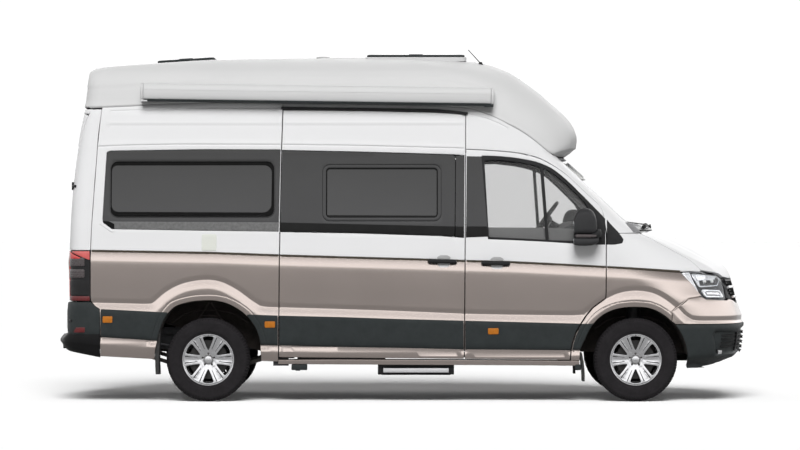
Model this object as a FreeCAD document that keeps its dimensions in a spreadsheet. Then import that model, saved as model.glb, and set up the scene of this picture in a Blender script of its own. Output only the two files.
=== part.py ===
# Camper van on a panel-van base, high roof, full size, millimetres.
# Frame: +X forward, +Y to the van's left, +Z up, origin on the ground under
# the middle of the overall box. The right side (-Y) has the sliding door.
import FreeCAD, Part
import Sketcher
import math
import os

V = FreeCAD.Vector
doc = FreeCAD.newDocument("camper_van")

# ---------------------------------------------------------------- dimensions
# alias, value, meaning
DIMS = [
    ("front_axle_x", 1997, "front axle from origin"),
    ("rear_axle_x", -1643, "rear axle from origin"),
    ("tyre_radius", 356, "tyre 235/65 R16"),
    ("tyre_width", 235, "tyre section width"),
    ("rim_radius", 203, "bead seat radius"),
    ("wheel_y", 875, "wheel centre plane from the middle"),
    ("kingpin_y", 735, "steering axis from the middle"),
    ("kingpin_height", 356, "height of the steering axis point"),
    ("wall", 60, "panel thickness of doors and body"),
    ("hood_wall", 30, "thickness of the hood"),
    ("glass_in", 12, "glass set in from the outer skin"),
    ("glass_thick", 5, "glass thickness"),
    ("door_gap", 7, "gap round a moving door"),
    ("panel_gap", 3, "gap between fixed panels"),
    ("rail_y", 450, "frame rail centre from the middle"),
    ("rail_width", 80, "frame rail width"),
    ("rail_low", 430, "frame rail underside height"),
    ("rail_height", 120, "frame rail depth"),
    ("rail_rear", -2700, "frame rail rear end"),
    ("rail_front", 2560, "frame rail front end"),
    ("cross_first", -2560, "first cross member"),
    ("cross_pitch", 700, "cross member spacing"),
    ("cross_width", 70, "cross member width"),
    ("floor_low", 560, "floor underside height"),
    ("floor_thick", 60, "floor thickness"),
    ("floor_half", 945, "floor half width"),
    ("floor_rear", -2745, "floor rear edge"),
    ("floor_front", 1520, "floor front edge at the toe board"),
    ("arch_radius_front", 455, "front arch liner inner radius"),
    ("arch_radius_rear", 468, "rear arch liner inner radius"),
    ("liner_thick", 10, "arch liner thickness"),
    ("hinge_x", 1748, "front door hinge axis"),
    ("hinge_y", 1026, "front door hinge axis from the middle"),
    ("rear_hinge_x", -2872, "rear door hinge axis"),
    ("rear_hinge_y", 880, "rear door hinge axis from the middle"),
    ("rear_door_half", 858, "rear door outer edge from the middle"),
    ("rear_door_low", 612, "rear door lower edge"),
    ("rear_door_high", 2450, "rear door upper edge"),
    ("steer_x", 1272, "steering wheel centre"),
    ("steer_y", 420, "steering wheel centre from the middle"),
    ("steer_z", 1552, "steering wheel centre height"),
    ("steer_radius", 185, "steering wheel rim radius"),
    ("steer_rim", 15, "steering wheel rim section radius"),
    ("steer_tilt", 53, "steering wheel plane from horizontal"),
    ("step_x", 126, "middle of the entry step"),
    ("step_length", 560, "entry step tread length"),
    ("step_depth", 300, "entry step tread depth"),
    ("step_z", 232, "entry step tread underside height"),
    ("step_thick", 38, "entry step tread thickness"),
    ("awning_length", 3010, "awning housing length"),
    ("awning_depth", 150, "awning housing height"),
    ("hatch_front_x", 128, "front roof window middle"),
    ("hatch_front_length", 850, "front roof window length"),
    ("hatch_front_half", 330, "front roof window half width"),
    ("hatch_rear_x", -1872, "rear roof window middle"),
    ("hatch_rear_length", 500, "rear roof window length"),
    ("hatch_rear_half", 250, "rear roof window half width"),
    ("hatch_thick", 28, "roof window lid thickness"),
    ("seat_width", 500, "cab seat width"),
    ("seat_y", 430, "cab seat middle from the van's middle"),
    ("seat_x", 560, "cab seat rear edge of the cushion"),
    ("eye_radius", 12, "towing eye socket radius"),
    ("eye_length", 60, "towing eye socket depth"),
]
sheet = doc.addObject("Spreadsheet::Sheet", "Dims")
for row, (alias, value, meaning) in enumerate(DIMS, start=1):
    sheet.set("A%d" % row, alias)
    sheet.set("B%d" % row, str(value))
    sheet.set("C%d" % row, meaning)
    sheet.setAlias("B%d" % row, alias)
doc.recompute()


class Size:
    """A number with the sheet expression that it comes from."""

    def __init__(self, value, text):
        self.value, self.text = float(value), text

    def _join(self, other, sign, result):
        return Size(result, "(%s %s %s)" % (self.text, sign, size(other).text))

    def __add__(self, other):
        return self._join(other, "+", self.value + size(other).value)

    def __sub__(self, other):
        return self._join(other, "-", self.value - size(other).value)

    def __mul__(self, other):
        return self._join(other, "*", self.value * size(other).value)

    def __truediv__(self, other):
        return self._join(other, "/", self.value / size(other).value)

    def __radd__(self, other):
        return size(other) + self

    def __rsub__(self, other):
        return size(other) - self

    def __rmul__(self, other):
        return size(other) * self

    def __neg__(self):
        return size(0) - self


def size(value):
    return value if isinstance(value, Size) else Size(value, "%g" % value)


def dim(alias):
    return Size(float(sheet.get(alias)), "Dims." + alias)


def num(alias):
    return float(sheet.get(alias))


NODES = []  # objects that become files


def bind(thing, path, value):
    """Set a property from the sheet, or as a plain number."""
    value = size(value)
    if "Dims." in value.text:
        thing.setExpression(path, value.text)
    else:
        thing.setExpression(path, "%g" % value.value)


# ------------------------------------------------- PartDesign small helpers
def new_body(name, node=True):
    body = doc.addObject("PartDesign::Body", name)
    body.Label = name
    if node:
        NODES.append(body)
    return body


def plane_of(body, role):
    for feature in body.Origin.OriginFeatures:
        if feature.Role == role:
            return feature
    raise ValueError(role)


def new_sketch(body, name, role, offset=0):
    sketch = body.newObject("Sketcher::SketchObject", name)
    sketch.AttachmentSupport = [(plane_of(body, role), "")]
    sketch.MapMode = "FlatFace"
    bind(sketch, "AttachmentOffset.Base.z", offset)
    return sketch


def pin_point(sketch, geometry, which, u, w):
    """Hold a point of the sketch at u, w from the sketch's origin."""
    for kind, value in (("DistanceX", size(u)), ("DistanceY", size(w))):
        index = sketch.addConstraint(
            Sketcher.Constraint(kind, -1, 1, geometry, which, value.value)
        )
        if "Dims." in value.text:
            sketch.setExpression("Constraints[%d]" % index, value.text)


def add_polygon(sketch, points):
    pts = [(size(u), size(w)) for u, w in points]
    first = sketch.GeometryCount
    count = len(pts)
    for i in range(count):
        a, b = pts[i], pts[(i + 1) % count]
        sketch.addGeometry(
            Part.LineSegment(V(a[0].value, a[1].value, 0), V(b[0].value, b[1].value, 0))
        )
    for i in range(count):
        sketch.addConstraint(
            Sketcher.Constraint("Coincident", first + i, 2, first + (i + 1) % count, 1)
        )
    for i in range(count):
        pin_point(sketch, first + i, 1, pts[i][0], pts[i][1])


def add_circle(sketch, u, w, radius):
    u, w, radius = size(u), size(w), size(radius)
    index = sketch.addGeometry(Part.Circle(V(u.value, w.value, 0), V(0, 0, 1), radius.value))
    pin_point(sketch, index, 3, u, w)
    con = sketch.addConstraint(Sketcher.Constraint("Radius", index, radius.value))
    if "Dims." in radius.text:
        sketch.setExpression("Constraints[%d]" % con, radius.text)


def rectangle(u0, u1, w0, w1):
    return [(u0, w0), (u1, w0), (u1, w1), (u0, w1)]


def pad(body, name, role, points, length, offset=0, middle=False, circles=(), back=False):
    """Pad closed polygons (a list of polygons, or one) by a length."""
    sketch = new_sketch(body, name + "_sketch", role, offset)
    if points and not isinstance(points[0], list):
        points = [points]
    for polygon in points or []:
        add_polygon(sketch, polygon)
    for u, w, radius in circles:
        add_circle(sketch, u, w, radius)
    feature = body.newObject("PartDesign::Pad", name)
    feature.Profile = sketch
    bind(feature, "Length", length)
    feature.Midplane = middle
    feature.Reversed = back
    body.Tip = feature
    return feature


def pocket(body, name, role, points, length, offset=0, middle=True, circles=(), back=False):
    """Cut closed polygons, and see that the cut takes something away."""
    doc.recompute()
    before = body.Shape.Volume
    sketch = new_sketch(body, name + "_sketch", role, offset)
    if points and not isinstance(points[0], list):
        points = [points]
    for polygon in points or []:
        add_polygon(sketch, polygon)
    for u, w, radius in circles:
        add_circle(sketch, u, w, radius)
    feature = body.newObject("PartDesign::Pocket", name)
    feature.Profile = sketch
    bind(feature, "Length", length)
    feature.Midplane = middle
    feature.Reversed = back
    body.Tip = feature
    doc.recompute()
    if body.Shape.Volume > before - 1.0:
        raise RuntimeError("%s cut nothing" % name)
    return feature


def revolve(body, name, role, points, axis="H_Axis", angle=360):
    sketch = new_sketch(body, name + "_sketch", role)
    if points and not isinstance(points[0], list):
        points = [points]
    for polygon in points:
        add_polygon(sketch, polygon)
    feature = body.newObject("PartDesign::Revolution", name)
    feature.Profile = sketch
    feature.ReferenceAxis = (sketch, [axis])
    feature.Angle = angle
    body.Tip = feature
    return feature


def polar(body, name, feature, role_axis, count):
    pattern = body.newObject("PartDesign::PolarPattern", name)
    pattern.Originals = [feature]
    axis = [f for f in body.Origin.OriginFeatures if f.Role == role_axis][0]
    pattern.Axis = (axis, [""])
    pattern.Angle = 360
    pattern.Occurrences = count
    body.Tip = pattern
    return pattern


def place(thing, x=0, y=0, z=0, axis=None, angle=0):
    if axis:
        thing.Placement = FreeCAD.Placement(V(0, 0, 0), FreeCAD.Rotation(axis, angle))
    for path, value in (("x", x), ("y", y), ("z", z)):
        bind(thing, "Placement.Base." + path, value)


# --------------------------------------------------------- body shell surface
# Level sections of the whole body. Columns: height, rear face x, half width,
# rear corner radius, x where the side starts to turn in, x and half width
# where the front corner ends, x of the nose on the middle line.
SECTIONS = [
    (318, -2790, 978, 120, 2250, 2740, 560, 2800),
    (420, -2850, 1010, 120, 2400, 2880, 640, 2975),
    (640, -2850, 1018, 120, 2420, 2905, 650, 2990),
    (820, -2850, 1020, 120, 2330, 2860, 680, 2935),
    (1000, -2852, 1021, 120, 2050, 2780, 720, 2893),
    (1120, -2852, 1021, 120, 1900, 2670, 745, 2838),
    (1250, -2852, 1020, 120, 1800, 2430, 765, 2665),
    (1360, -2850, 1014, 120, 1760, 2220, 780, 2450),
    (1450, -2847, 1009, 120, 1740, 2010, 845, 2224),
    (1500, -2845, 1005, 120, 1700, 1930, 860, 2153),
    (1760, -2830, 980, 120, 1470, 1656, 840, 1840),
    (2100, -2795, 935, 120, 1150, 1300, 830, 1411),
    (2120, -2792, 932, 120, 1080, 1385, 690, 1450),
    (2160, -2788, 927, 120, 1040, 1450, 640, 1522),
    (2250, -2777, 915, 120, 1000, 1465, 600, 1537),
    (2340, -2762, 903, 120, 950, 1440, 590, 1512),
    (2450, -2740, 888, 120, 850, 1355, 580, 1433),
    (2560, -2722, 862, 120, 750, 1235, 560, 1310),
    (2660, -2712, 843, 120, 650, 1115, 545, 1196),
    (2740, -2705, 820, 120, 540, 1000, 530, 1086),
    (2810, -2698, 770, 140, 400, 890, 500, 985),
    (2850, -2640, 715, 160, 300, 800, 460, 905),
    (2895, -2200, 610, 200, 100, 640, 400, 785),
    (2928, -1750, 470, 220, -100, 450, 320, 615),
    (2946, -1200, 330, 220, -200, 250, 200, 370),
    (2956, -750, 160, 100, -300, 30, 90, 110),
]


def tangent_arc(xs, w, xe, ye, side, z):
    """Corner arc that leaves the straight side smoothly."""
    run, drop = xe - xs, w - ye
    radius = (run * run + drop * drop) / (2.0 * drop)
    half = math.asin(min(1.0, run / radius)) / 2.0
    if drop > radius:
        half = (math.pi - 2.0 * half) / 2.0
    xm = xs + radius * math.sin(half)
    ym = w - radius * (1.0 - math.cos(half))
    return (V(xs, side * w, z), V(xm, side * ym, z), V(xe, side * ye, z))


def section(z, xr, w, rr, xs, xe, ye, xn, inset):
    """One closed level section, moved in by a wall thickness."""
    drop = min(0.75 * inset, max(0.0, (z - 2600) * 0.0075 * inset))
    z -= drop
    xr += inset
    rr = max(rr - inset, 40)
    w = max(w - inset, rr + 15)
    xs -= inset * 0.3
    xe -= inset * 1.15
    ye = max(ye - inset * 0.5, 10)
    xn -= inset * 1.25
    bow = 25.0
    c = 0.2929 * rr

    def p(x, y):
        return V(x, y, z)

    left = tangent_arc(xs, w, xe, ye, 1, z)
    right = tangent_arc(xs, w, xe, ye, -1, z)
    edges = [
        Part.Arc(p(xr + bow, w - rr), p(xr, 0), p(xr + bow, -(w - rr))),
        Part.Arc(p(xr + bow, -(w - rr)), p(xr + bow + c, -(w - c)), p(xr + bow + rr, -w)),
        Part.LineSegment(p(xr + bow + rr, -w), p(xs, -w)),
        Part.Arc(*right),
        Part.Arc(p(xe, -ye), p(xn, 0), p(xe, ye)),
        Part.Arc(left[2], left[1], left[0]),
        Part.LineSegment(p(xs, w), p(xr + bow + rr, w)),
        Part.Arc(p(xr + bow + rr, w), p(xr + bow + c, w - c), p(xr + bow, w - rr)),
    ]
    return Part.Wire([e.toShape() for e in edges])


def hull(inset, low=None):
    """Closed solid inside the body surface, by an inset."""
    rows = [list(r) for r in SECTIONS]
    if low is not None:
        rows[0][0] = low
    return Part.makeLoft([section(*r, inset=inset) for r in rows], True, True)


def prism(points, y0, y1):
    """Side-view outline (x, z) carried across from y0 to y1."""
    wire = Part.makePolygon([V(x, y0, z) for x, z in points] + [V(points[0][0], y0, points[0][1])])
    return Part.Face(wire).extrude(V(0, y1 - y0, 0))


def plan_prism(points, z0, z1):
    """Plan outline (x, y) carried up from z0 to z1."""
    wire = Part.makePolygon([V(x, y, z0) for x, y in points] + [V(points[0][0], points[0][1], z0)])
    return Part.Face(wire).extrude(V(0, 0, z1 - z0))


def front_prism(points, x0, x1):
    """Front-view outline (y, z) carried along from x0 to x1."""
    wire = Part.makePolygon([V(x0, y, z) for y, z in points] + [V(x0, points[0][0], points[0][1])])
    return Part.Face(wire).extrude(V(x1 - x0, 0, 0))


def grown(points, amount):
    """Outline moved out (or in, if negative) by an amount, corner by corner."""
    area = sum(
        points[i][0] * points[(i + 1) % len(points)][1]
        - points[(i + 1) % len(points)][0] * points[i][1]
        for i in range(len(points))
    )
    turn = 1.0 if area > 0 else -1.0
    result = []
    count = len(points)
    for i in range(count):
        ax, az = points[i - 1]
        bx, bz = points[i]
        cx, cz = points[(i + 1) % count]
        d1 = math.hypot(bx - ax, bz - az)
        d2 = math.hypot(cx - bx, cz - bz)
        n1 = (turn * (bz - az) / d1, -turn * (bx - ax) / d1)
        n2 = (turn * (cz - bz) / d2, -turn * (cx - bx) / d2)
        mx, mz = n1[0] + n2[0], n1[1] + n2[1]
        scale = 2.0 / max(0.6, mx * mx + mz * mz)
        result.append((bx + amount * mx * scale, bz + amount * mz * scale))
    return result


def rounded(x0, x1, z0, z1, r, steps=4):
    """Rounded rectangle outline."""
    result = []
    for cx, cz, start in (
        (x1 - r, z0 + r, -90),
        (x1 - r, z1 - r, 0),
        (x0 + r, z1 - r, 90),
        (x0 + r, z0 + r, 180),
    ):
        for k in range(steps + 1):
            a = math.radians(start + 90.0 * k / steps)
            result.append((cx + r * math.cos(a), cz + r * math.sin(a)))
    return result


def mirrored(shape):
    return shape.mirror(V(0, 0, 0), V(0, 1, 0))


def block(x0, x1, y0, y1, z0, z1):
    return Part.makeBox(x1 - x0, y1 - y0, z1 - z0, V(x0, y0, z0))


def panel(name, shape, node=True):
    """A body panel, kept as a plain feature with its own label."""
    solids = [s for s in shape.Solids if s.Volume > 2000.0]
    if not solids:
        raise RuntimeError(name + " is empty")
    shape = solids[0] if len(solids) == 1 else Part.makeCompound(solids)
    feature = doc.addObject("Part::Feature", name)
    feature.Label = name
    feature.Shape = shape
    if node:
        NODES.append(feature)
    return feature


wall = num("wall")
gap = num("door_gap")
seam = num("panel_gap")
outer = hull(0)
inner = hull(wall, low=200)
shell = outer.cut(inner)
glass_shell = hull(num("glass_in")).cut(hull(num("glass_in") + num("glass_thick"), low=250))
thin_shell = outer.cut(hull(num("hood_wall"), low=200))

# Side-view outlines (x, z)
FRONT_DOOR = [
    (550, 2146), (798, 2136), (1002, 2115), (1181, 2070), (1300, 2008), (1410, 1933),
    (1512, 1839), (1606, 1750), (1682, 1682), (1712, 1639), (1721, 1588), (1742, 1316),
    (1739, 887), (1631, 806), (1555, 729), (1500, 635), (1460, 538), (1444, 448),
    (1438, 352), (537, 360), (544, 1290),
]
FRONT_GLASS = [
    (705, 2078), (841, 2072), (1011, 2050), (1181, 2008), (1290, 1945), (1436, 1812),
    (1563, 1690), (1612, 1600), (1622, 1375), (738, 1400), (722, 1460),
]
SLIDING_DOOR = [
    (-1009, 2486), (-1018, 2183), (-1031, 1443), (-1035, 1239), (-1043, 372), (537, 360),
    (544, 1290), (550, 2149), (552, 2447), (330, 2464), (-350, 2481),
]
SEAM = [
    (-3100, 2498), (-2686, 2506), (-2400, 2515), (-2059, 2532), (-1589, 2544), (331, 2515),
    (588, 2497), (673, 2472), (758, 2442), (844, 2404), (929, 2357), (1014, 2310),
    (1100, 2254), (1185, 2186), (1270, 2118), (1296, 2104), (1800, 2104),
]
FRONT_ARCH = [
    (1515, 250), (1521, 440), (1563, 525), (1606, 627), (1648, 695), (1734, 746),
    (1819, 784), (1989, 806), (2116, 792), (2218, 750), (2303, 682), (2371, 601),
    (2422, 482), (2440, 250),
]
REAR_ARCH = [
    (-2102, 250), (-2092, 440), (-2065, 560), (-2034, 700), (-1995, 763), (-1924, 814),
    (-1796, 848), (-1711, 861), (-1583, 861), (-1498, 844), (-1413, 806), (-1328, 746),
    (-1269, 678), (-1218, 593), (-1201, 516), (-1192, 250),
]
HEADLIGHT = [
    (2354, 1103), (2456, 1112), (2712, 1086), (2770, 1035), (2830, 899), (2830, 865),
    (2584, 869), (2542, 891), (2524, 925),
]
REAR_WINDOW = rounded(-2500, -1067, 1550, 2055, 70)
SLIDE_WINDOW = rounded(-669, 337, 1540, 2015, 62)
HOOD = [  # plan outline (x, y), right half from the back to the nose
    (2085, -775), (2410, -768), (2560, -715), (2700, -600), (2780, -440), (2835, -220), (2850, 0),
]
HOOD_BACK = [(2140, -600), (2190, -400), (2222, -200), (2235, 0)]
BUMPER_TOP = 662
SEAM_TOOL = prism(SEAM + [(1800, 3300), (-3100, 3300)], -1300, 1300)

# ------------------------------------------------------------- body panels
roof_shell = shell.common(SEAM_TOOL)
lower_shell = shell.cut(prism([(x, z - seam) for x, z in SEAM] + [(1800, 3300), (-3100, 3300)], -1300, 1300))
front_x = 543.0
rear_shell = lower_shell.common(block(-3100, front_x, -1200, 1200, 100, 2700))
cab_shell = lower_shell.common(block(front_x, 3100, -1200, 1200, 100, 2700))

# roof windows: hole with a raised frame, and a lid above it
HATCHES = (
    # name, middle x, length, half width, roof height at the middle, slope deg, hinge side
    ("roof_hatch_front", "hatch_front", 2953.0, 0.0),
    ("roof_hatch_rear", "hatch_rear", 2920.0, -3.6),
)
roof = roof_shell
for name, key, top, slope in HATCHES:
    middle, length, half = num(key + "_x"), num(key + "_length"), num(key + "_half")
    turn = FreeCAD.Placement(V(middle, 0, top), FreeCAD.Rotation(V(0, 1, 0), slope))
    hole = block(-length / 2 + 50, length / 2 - 50, -half + 50, half - 50, -120, 80)
    ring = block(-length / 2 + 20, length / 2 - 20, -half + 20, half - 20, -60, 3)
    hole.Placement = turn
    ring.Placement = turn
    roof = roof.fuse(ring.cut(hole)).cut(hole)
antenna = Part.makeCylinder(22, 40, V(690, -300, 2880)).fuse(
    Part.makeCylinder(4, 165, V(690, -300, 2905), V(-110, 0, 122))
)
panel("high_roof", roof.fuse(antenna))

arch_front_tool = prism(FRONT_ARCH, -1200, -740)
arch_rear_tool = prism(REAR_ARCH, -1200, -740)
door_tool = prism(FRONT_DOOR, -1200, -700)
rear_box = block(-3100, -2600, -num("rear_door_half") - gap, num("rear_door_half") + gap,
                 num("rear_door_low") - gap, num("rear_door_high") + gap)
lamp_tool = block(-3000, -2634, -1200, -868, 857, 1290)
bumper_rear_tool = prism([(-3100, 100), (-2566, 100), (-2566, 789), (-2640, 857), (-3100, 857)], -1300, 1300)

# one side: rear quarter with windows, the sliding door only on the right
rear_right = rear_shell.common(block(-3100, 600, -1200, 0, 100, 2700))
rear_right = rear_right.cut(arch_rear_tool).cut(rear_box).cut(
    block(-3000, -2634 + seam, -1200, -868 + seam, 857 - seam, 1290 + seam)
).cut(bumper_rear_tool)
rear_right = rear_right.cut(prism(grown(FRONT_DOOR, gap / 2), -1200, -700))
rear_left = mirrored(rear_right)
slide_hole = prism(grown(SLIDING_DOOR, seam), -1200, -700)
window_rear = prism(REAR_WINDOW, -1200, -700)
window_slide = prism(SLIDE_WINDOW, -1200, -700)
panel("right_body_side", rear_right.cut(slide_hole).cut(window_rear))
panel("left_body_side", rear_left.cut(mirrored(window_rear)).cut(mirrored(window_slide)))
panel("sliding_door", lower_shell.common(prism(SLIDING_DOOR, -1200, -700)).cut(window_slide))
panes = []
for tool, side in ((REAR_WINDOW, -1), (SLIDE_WINDOW, -1), (REAR_WINDOW, 1), (SLIDE_WINDOW, 1)):
    pane = glass_shell.common(prism(grown(tool, -0.5), side * 1200, side * 700))
    panes.append(pane)
panel("side_windows", Part.makeCompound(panes))

# front doors with their glass
door = cab_shell.common(door_tool)
door = shell.common(prism(grown(FRONT_DOOR, -gap / 2), -1200, -700)).cut(prism(FRONT_GLASS, -1200, -700))
door_glass = glass_shell.common(prism(grown(FRONT_GLASS, -0.5), -1200, -700))
panel("front_door_right", door)
panel("front_door_left", mirrored(door))
panel("door_glass_right", door_glass)
panel("door_glass_left", mirrored(door_glass))

# rear doors with their glass, hung on the body corners
for side, name in ((-1, "right"), (1, "left")):
    # the meeting edges draw apart towards the top, where the leaning door swings widest
    low, high, wide = num("rear_door_low"), num("rear_door_high"), num("rear_door_half")
    leaf_outline = [(4, low), (wide, low), (wide, high), (12, high), (4, 1289)]
    leaf = lower_shell.common(front_prism([(side * y, z) for y, z in leaf_outline], -3100, -2600))
    opening = [(side * y, z) for y, z in rounded(110, 730, 1560, 2040, 60)]
    leaf_glass = glass_shell.common(front_prism(grown(opening, -0.5), -3100, -2600))
    panel("rear_door_" + name, leaf.cut(front_prism(opening, -3100, -2600)))
    panel("rear_glass_" + name, leaf_glass)

# front end
hood_outline = HOOD + [(x, -y) for x, y in reversed(HOOD[:-1])]
hood_outline += [(x, -y) for x, y in HOOD_BACK] + [(x, y) for x, y in reversed(HOOD_BACK[:-1])]
hood_outline = [p for i, p in enumerate(hood_outline) if p not in hood_outline[:i]]
hood_hole = plan_prism(hood_outline, 1104, 1600)
hood_solid = plan_prism(grown(hood_outline, -gap), 1104 + gap, 1600)
panel("hood", thin_shell.common(hood_solid))
screen_view = [(-795, 1492), (795, 1492), (765, 2084), (-765, 2084)]
panel("windscreen", glass_shell.common(front_prism(grown(screen_view, -0.5), 1100, 2600)))
screen_hole = front_prism(screen_view, 1100, 2600)
light_tool = prism(HEADLIGHT, -1200, -500)
lights = []
for side in (-1, 1):
    tool = light_tool if side < 0 else mirrored(light_tool)
    lights.append(shell.common(tool).cut(hood_hole))
grille_tool = block(2500, 3100, -497, 497, 842, 1103)
panel("headlights", Part.makeCompound(lights))
panel("grille", thin_shell.common(block(2500, 3100, -494, 494, 845, 1100)))
bumper_outline = [(1560, 100), (1560, 436), (2435, 482), (2450, 660), (2690, 664), (2760, 838),
                  (3100, 838), (3100, 100)]
bumper_hole = prism(bumper_outline, -1300, 1300)
bumper = cab_shell.common(bumper_hole).cut(arch_front_tool).cut(mirrored(arch_front_tool))
bumper = bumper.common(block(2425, 3100, -1200, 1200, 100, 900))
eye = num("eye_radius")
eye_front = Part.makeCylinder(26, 130, V(2850, -450, 470), V(1, 0, 0))
eye_hole = Part.makeCylinder(eye, 400, V(2980 - 46 - num("eye_length"), -450, 470), V(1, 0, 0))
panel("front_bumper", bumper.fuse(eye_front.common(outer)).cut(eye_hole))
front = cab_shell.cut(prism(grown(FRONT_DOOR, gap / 2), -1200, -700)).cut(slide_hole)
front = front.cut(prism(grown(FRONT_DOOR, gap / 2), 700, 1200))
front = front.cut(hood_hole).cut(screen_hole).cut(arch_front_tool).cut(mirrored(arch_front_tool))
front = front.cut(grille_tool).cut(prism(grown(HEADLIGHT, seam), -1200, -497)).cut(
    prism(grown(HEADLIGHT, seam), 497, 1200))
front = front.cut(block(2422, 3100, -1300, 1300, 100, 665))
front = front.cut(prism(grown(bumper_outline, seam)[1:] + [(3150, 90), (2400, 90)], -1300, 1300)
                  .common(block(2422, 3200, -1300, 1300, 80, 900)))
wing_zone = block(1530, 3100, -1200, 1200, 100, 1436)
wings = front.common(wing_zone)
cowl_zone = block(1850, 2600, -790, 790, 1300, 1500)
cowl = wings.common(cowl_zone).fuse(front.common(block(1850, 2600, -790, 790, 1436, 1500)))
wings = wings.cut(block(1850, 2600, -792, 792, 1300, 1500))
panel("front_wings", wings)
panel("cowl_panel", cowl)
upper = front.common(block(500, 2300, -1200, 1200, 1438, 2700)).cut(block(1850, 2600, -792, 792, 1300, 1500))
sills = front.common(block(500, 1528, -1200, 1200, 100, 700))
posts = []
post = prism([(470, 300), (640, 300), (640, 2300), (470, 2300)], -1200, -700)
post = post.common(hull(wall + 4, low=290)).cut(hull(wall + 60, low=200))
head = prism([(562, 2166), (638, 2166), (638, 2330), (562, 2330)], -1200, -700)
head = head.common(hull(wall - 2, low=290)).cut(hull(wall + 20, low=200))
foot = prism([(505, 322), (638, 322), (638, 346), (505, 346)], -1200, -700)
foot = foot.common(hull(wall - 2, low=290)).cut(hull(wall + 20, low=200))
post = post.fuse([head, foot])
for piece in (post, mirrored(post)):
    posts.append(piece)
panel("cab_frame", upper.fuse([sills] + posts))

# lamps and rear bumper
lamp = lower_shell.common(lamp_tool)
panel("tail_lamps", Part.makeCompound([lamp, mirrored(lamp)]))
STEP_PLAN = [(-2562, 1016), (-2720, 1008), (-2850, 965), (-2915, 880), (-2950, 620), (-2985, 470), (-2990, 0)]
CAP_PLAN = [(-2562, 1023), (-2720, 1019), (-2800, 990), (-2848, 905), (-2852, 868)]
step_outline = STEP_PLAN + [(x, -y) for x, y in reversed(STEP_PLAN[:-1])]
step_inner = [(-2560, 940), (-2780, 925), (-2800, 0), (-2780, -925), (-2560, -940)]
rear_bumper = plan_prism(step_outline, 372, 588).cut(plan_prism(
    [(-2500, 940)] + step_inner[:-1] + [(-2560, -940), (-2500, -940)], 300, 700))
for side in (-1, 1):
    cap = [(x, side * y) for x, y in CAP_PLAN] + [(-2790, side * 868), (-2780, side * 945), (-2562, side * 955)]
    rear_bumper = rear_bumper.fuse(plan_prism(cap, 580, 850))
tow = Part.makeBox(160, 900, 90, V(-2805, -450, 440))
tow_hole = Part.makeCylinder(eye, 200, V(-2955 + num("eye_length"), -600, 480), V(-1, 0, 0))
tow_boss = Part.makeCylinder(26, 150, V(-2950, -600, 480), V(1, 0, 0))
rear_bumper = rear_bumper.fuse([tow, tow_boss]).cut(tow_hole)
panel("rear_bumper", rear_bumper)

# ------------------------------------------------------------ wheels, tyres
half_w = dim("tyre_width") / 2
tyre_r = dim("tyre_radius")
rim_r = dim("rim_radius")
TYRE = [  # distance from the middle plane as a share of half width, radius
    (-0.72, rim_r + 0.5), (-0.90, rim_r + 22), (-1.0, rim_r + 75), (-0.93, rim_r + 122),
    (-0.80, tyre_r - 6), (-0.66, tyre_r), (0.66, tyre_r), (0.80, tyre_r - 6),
    (0.93, rim_r + 122), (1.0, rim_r + 75), (0.90, rim_r + 22), (0.72, rim_r + 0.5),
    (0.66, rim_r + 10), (-0.66, rim_r + 10),
]
WHEELS = (  # name, axle, side
    ("front_right", "front_axle_x", -1),
    ("front_left", "front_axle_x", 1),
    ("rear_right", "rear_axle_x", -1),
    ("rear_left", "rear_axle_x", 1),
)
for name, axle, side in WHEELS:
    tyre = new_body("tyre_" + name)
    revolve(tyre, "carcass_" + name, "YZ_Plane", [(half_w * u, r) for u, r in TYRE])
    place(tyre, dim(axle), dim("wheel_y") * side, dim("tyre_radius"))
    rim = new_body("rim_" + name)
    s = side
    barrel = [
        (-s * 92, rim_r - 12), (-s * 92, rim_r + 12), (-s * 84, rim_r + 12), (-s * 82, rim_r),
        (s * 82, rim_r), (s * 84, rim_r + 12), (s * 92, rim_r + 12), (s * 92, rim_r - 6),
        (s * 84, rim_r - 14), (s * 74, rim_r - 20), (s * 62, 150), (s * 60, 90), (s * 66, 74),
        (s * 66, 33), (s * 20, 33), (s * 20, 74), (s * 36, 90), (s * 40, 150),
        (s * 48, rim_r - 24), (s * 30, rim_r - 16), (-s * 60, rim_r - 16), (-s * 80, rim_r - 12),
    ]
    revolve(rim, "barrel_" + name, "YZ_Plane", barrel)
    window = pocket(
        rim, "window_" + name, "XZ_Plane",
        [(-52, rim_r - 34), (52, rim_r - 34), (16, 96), (-16, 96)], 400,
    )
    polar(rim, "windows_" + name, window, "Y_Axis", 6)
    place(rim, dim(axle), dim("wheel_y") * side, dim("tyre_radius"))

# ------------------------------------------------ knuckles and steering wheel
for name, side in (("right", -1), ("left", 1)):
    knuckle = new_body("knuckle_" + name)
    s = side
    # carrier plate, seen from the front, with the hub stub along Y
    pad(knuckle, "carrier_" + name, "XZ_Plane",
        [(-60, -110), (60, -110), (70, 0), (48, 150), (-48, 150), (-70, 0)], 36, middle=True)
    stub = pad(knuckle, "stub_" + name, "XZ_Plane", None, dim("wheel_y") - dim("kingpin_y") + 55,
               circles=[(0, 0, 32)], back=(s > 0))
    pad(knuckle, "ball_studs_" + name, "XY_Plane", None, 288, circles=[(0, 0, 13)], offset=-119)
    pad(knuckle, "hub_" + name, "XZ_Plane", None, 70, circles=[(0, 0, 72)], back=(s > 0))
    pad(knuckle, "arm_" + name, "XY_Plane",
        [(-60, -16), (-150, -s * 60 - 16), (-170, -s * 60), (-160, -s * 60 + 24), (-60, 24)], 24, offset=-90)
    place(knuckle, dim("front_axle_x"), dim("kingpin_y") * side, dim("kingpin_height"))

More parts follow.
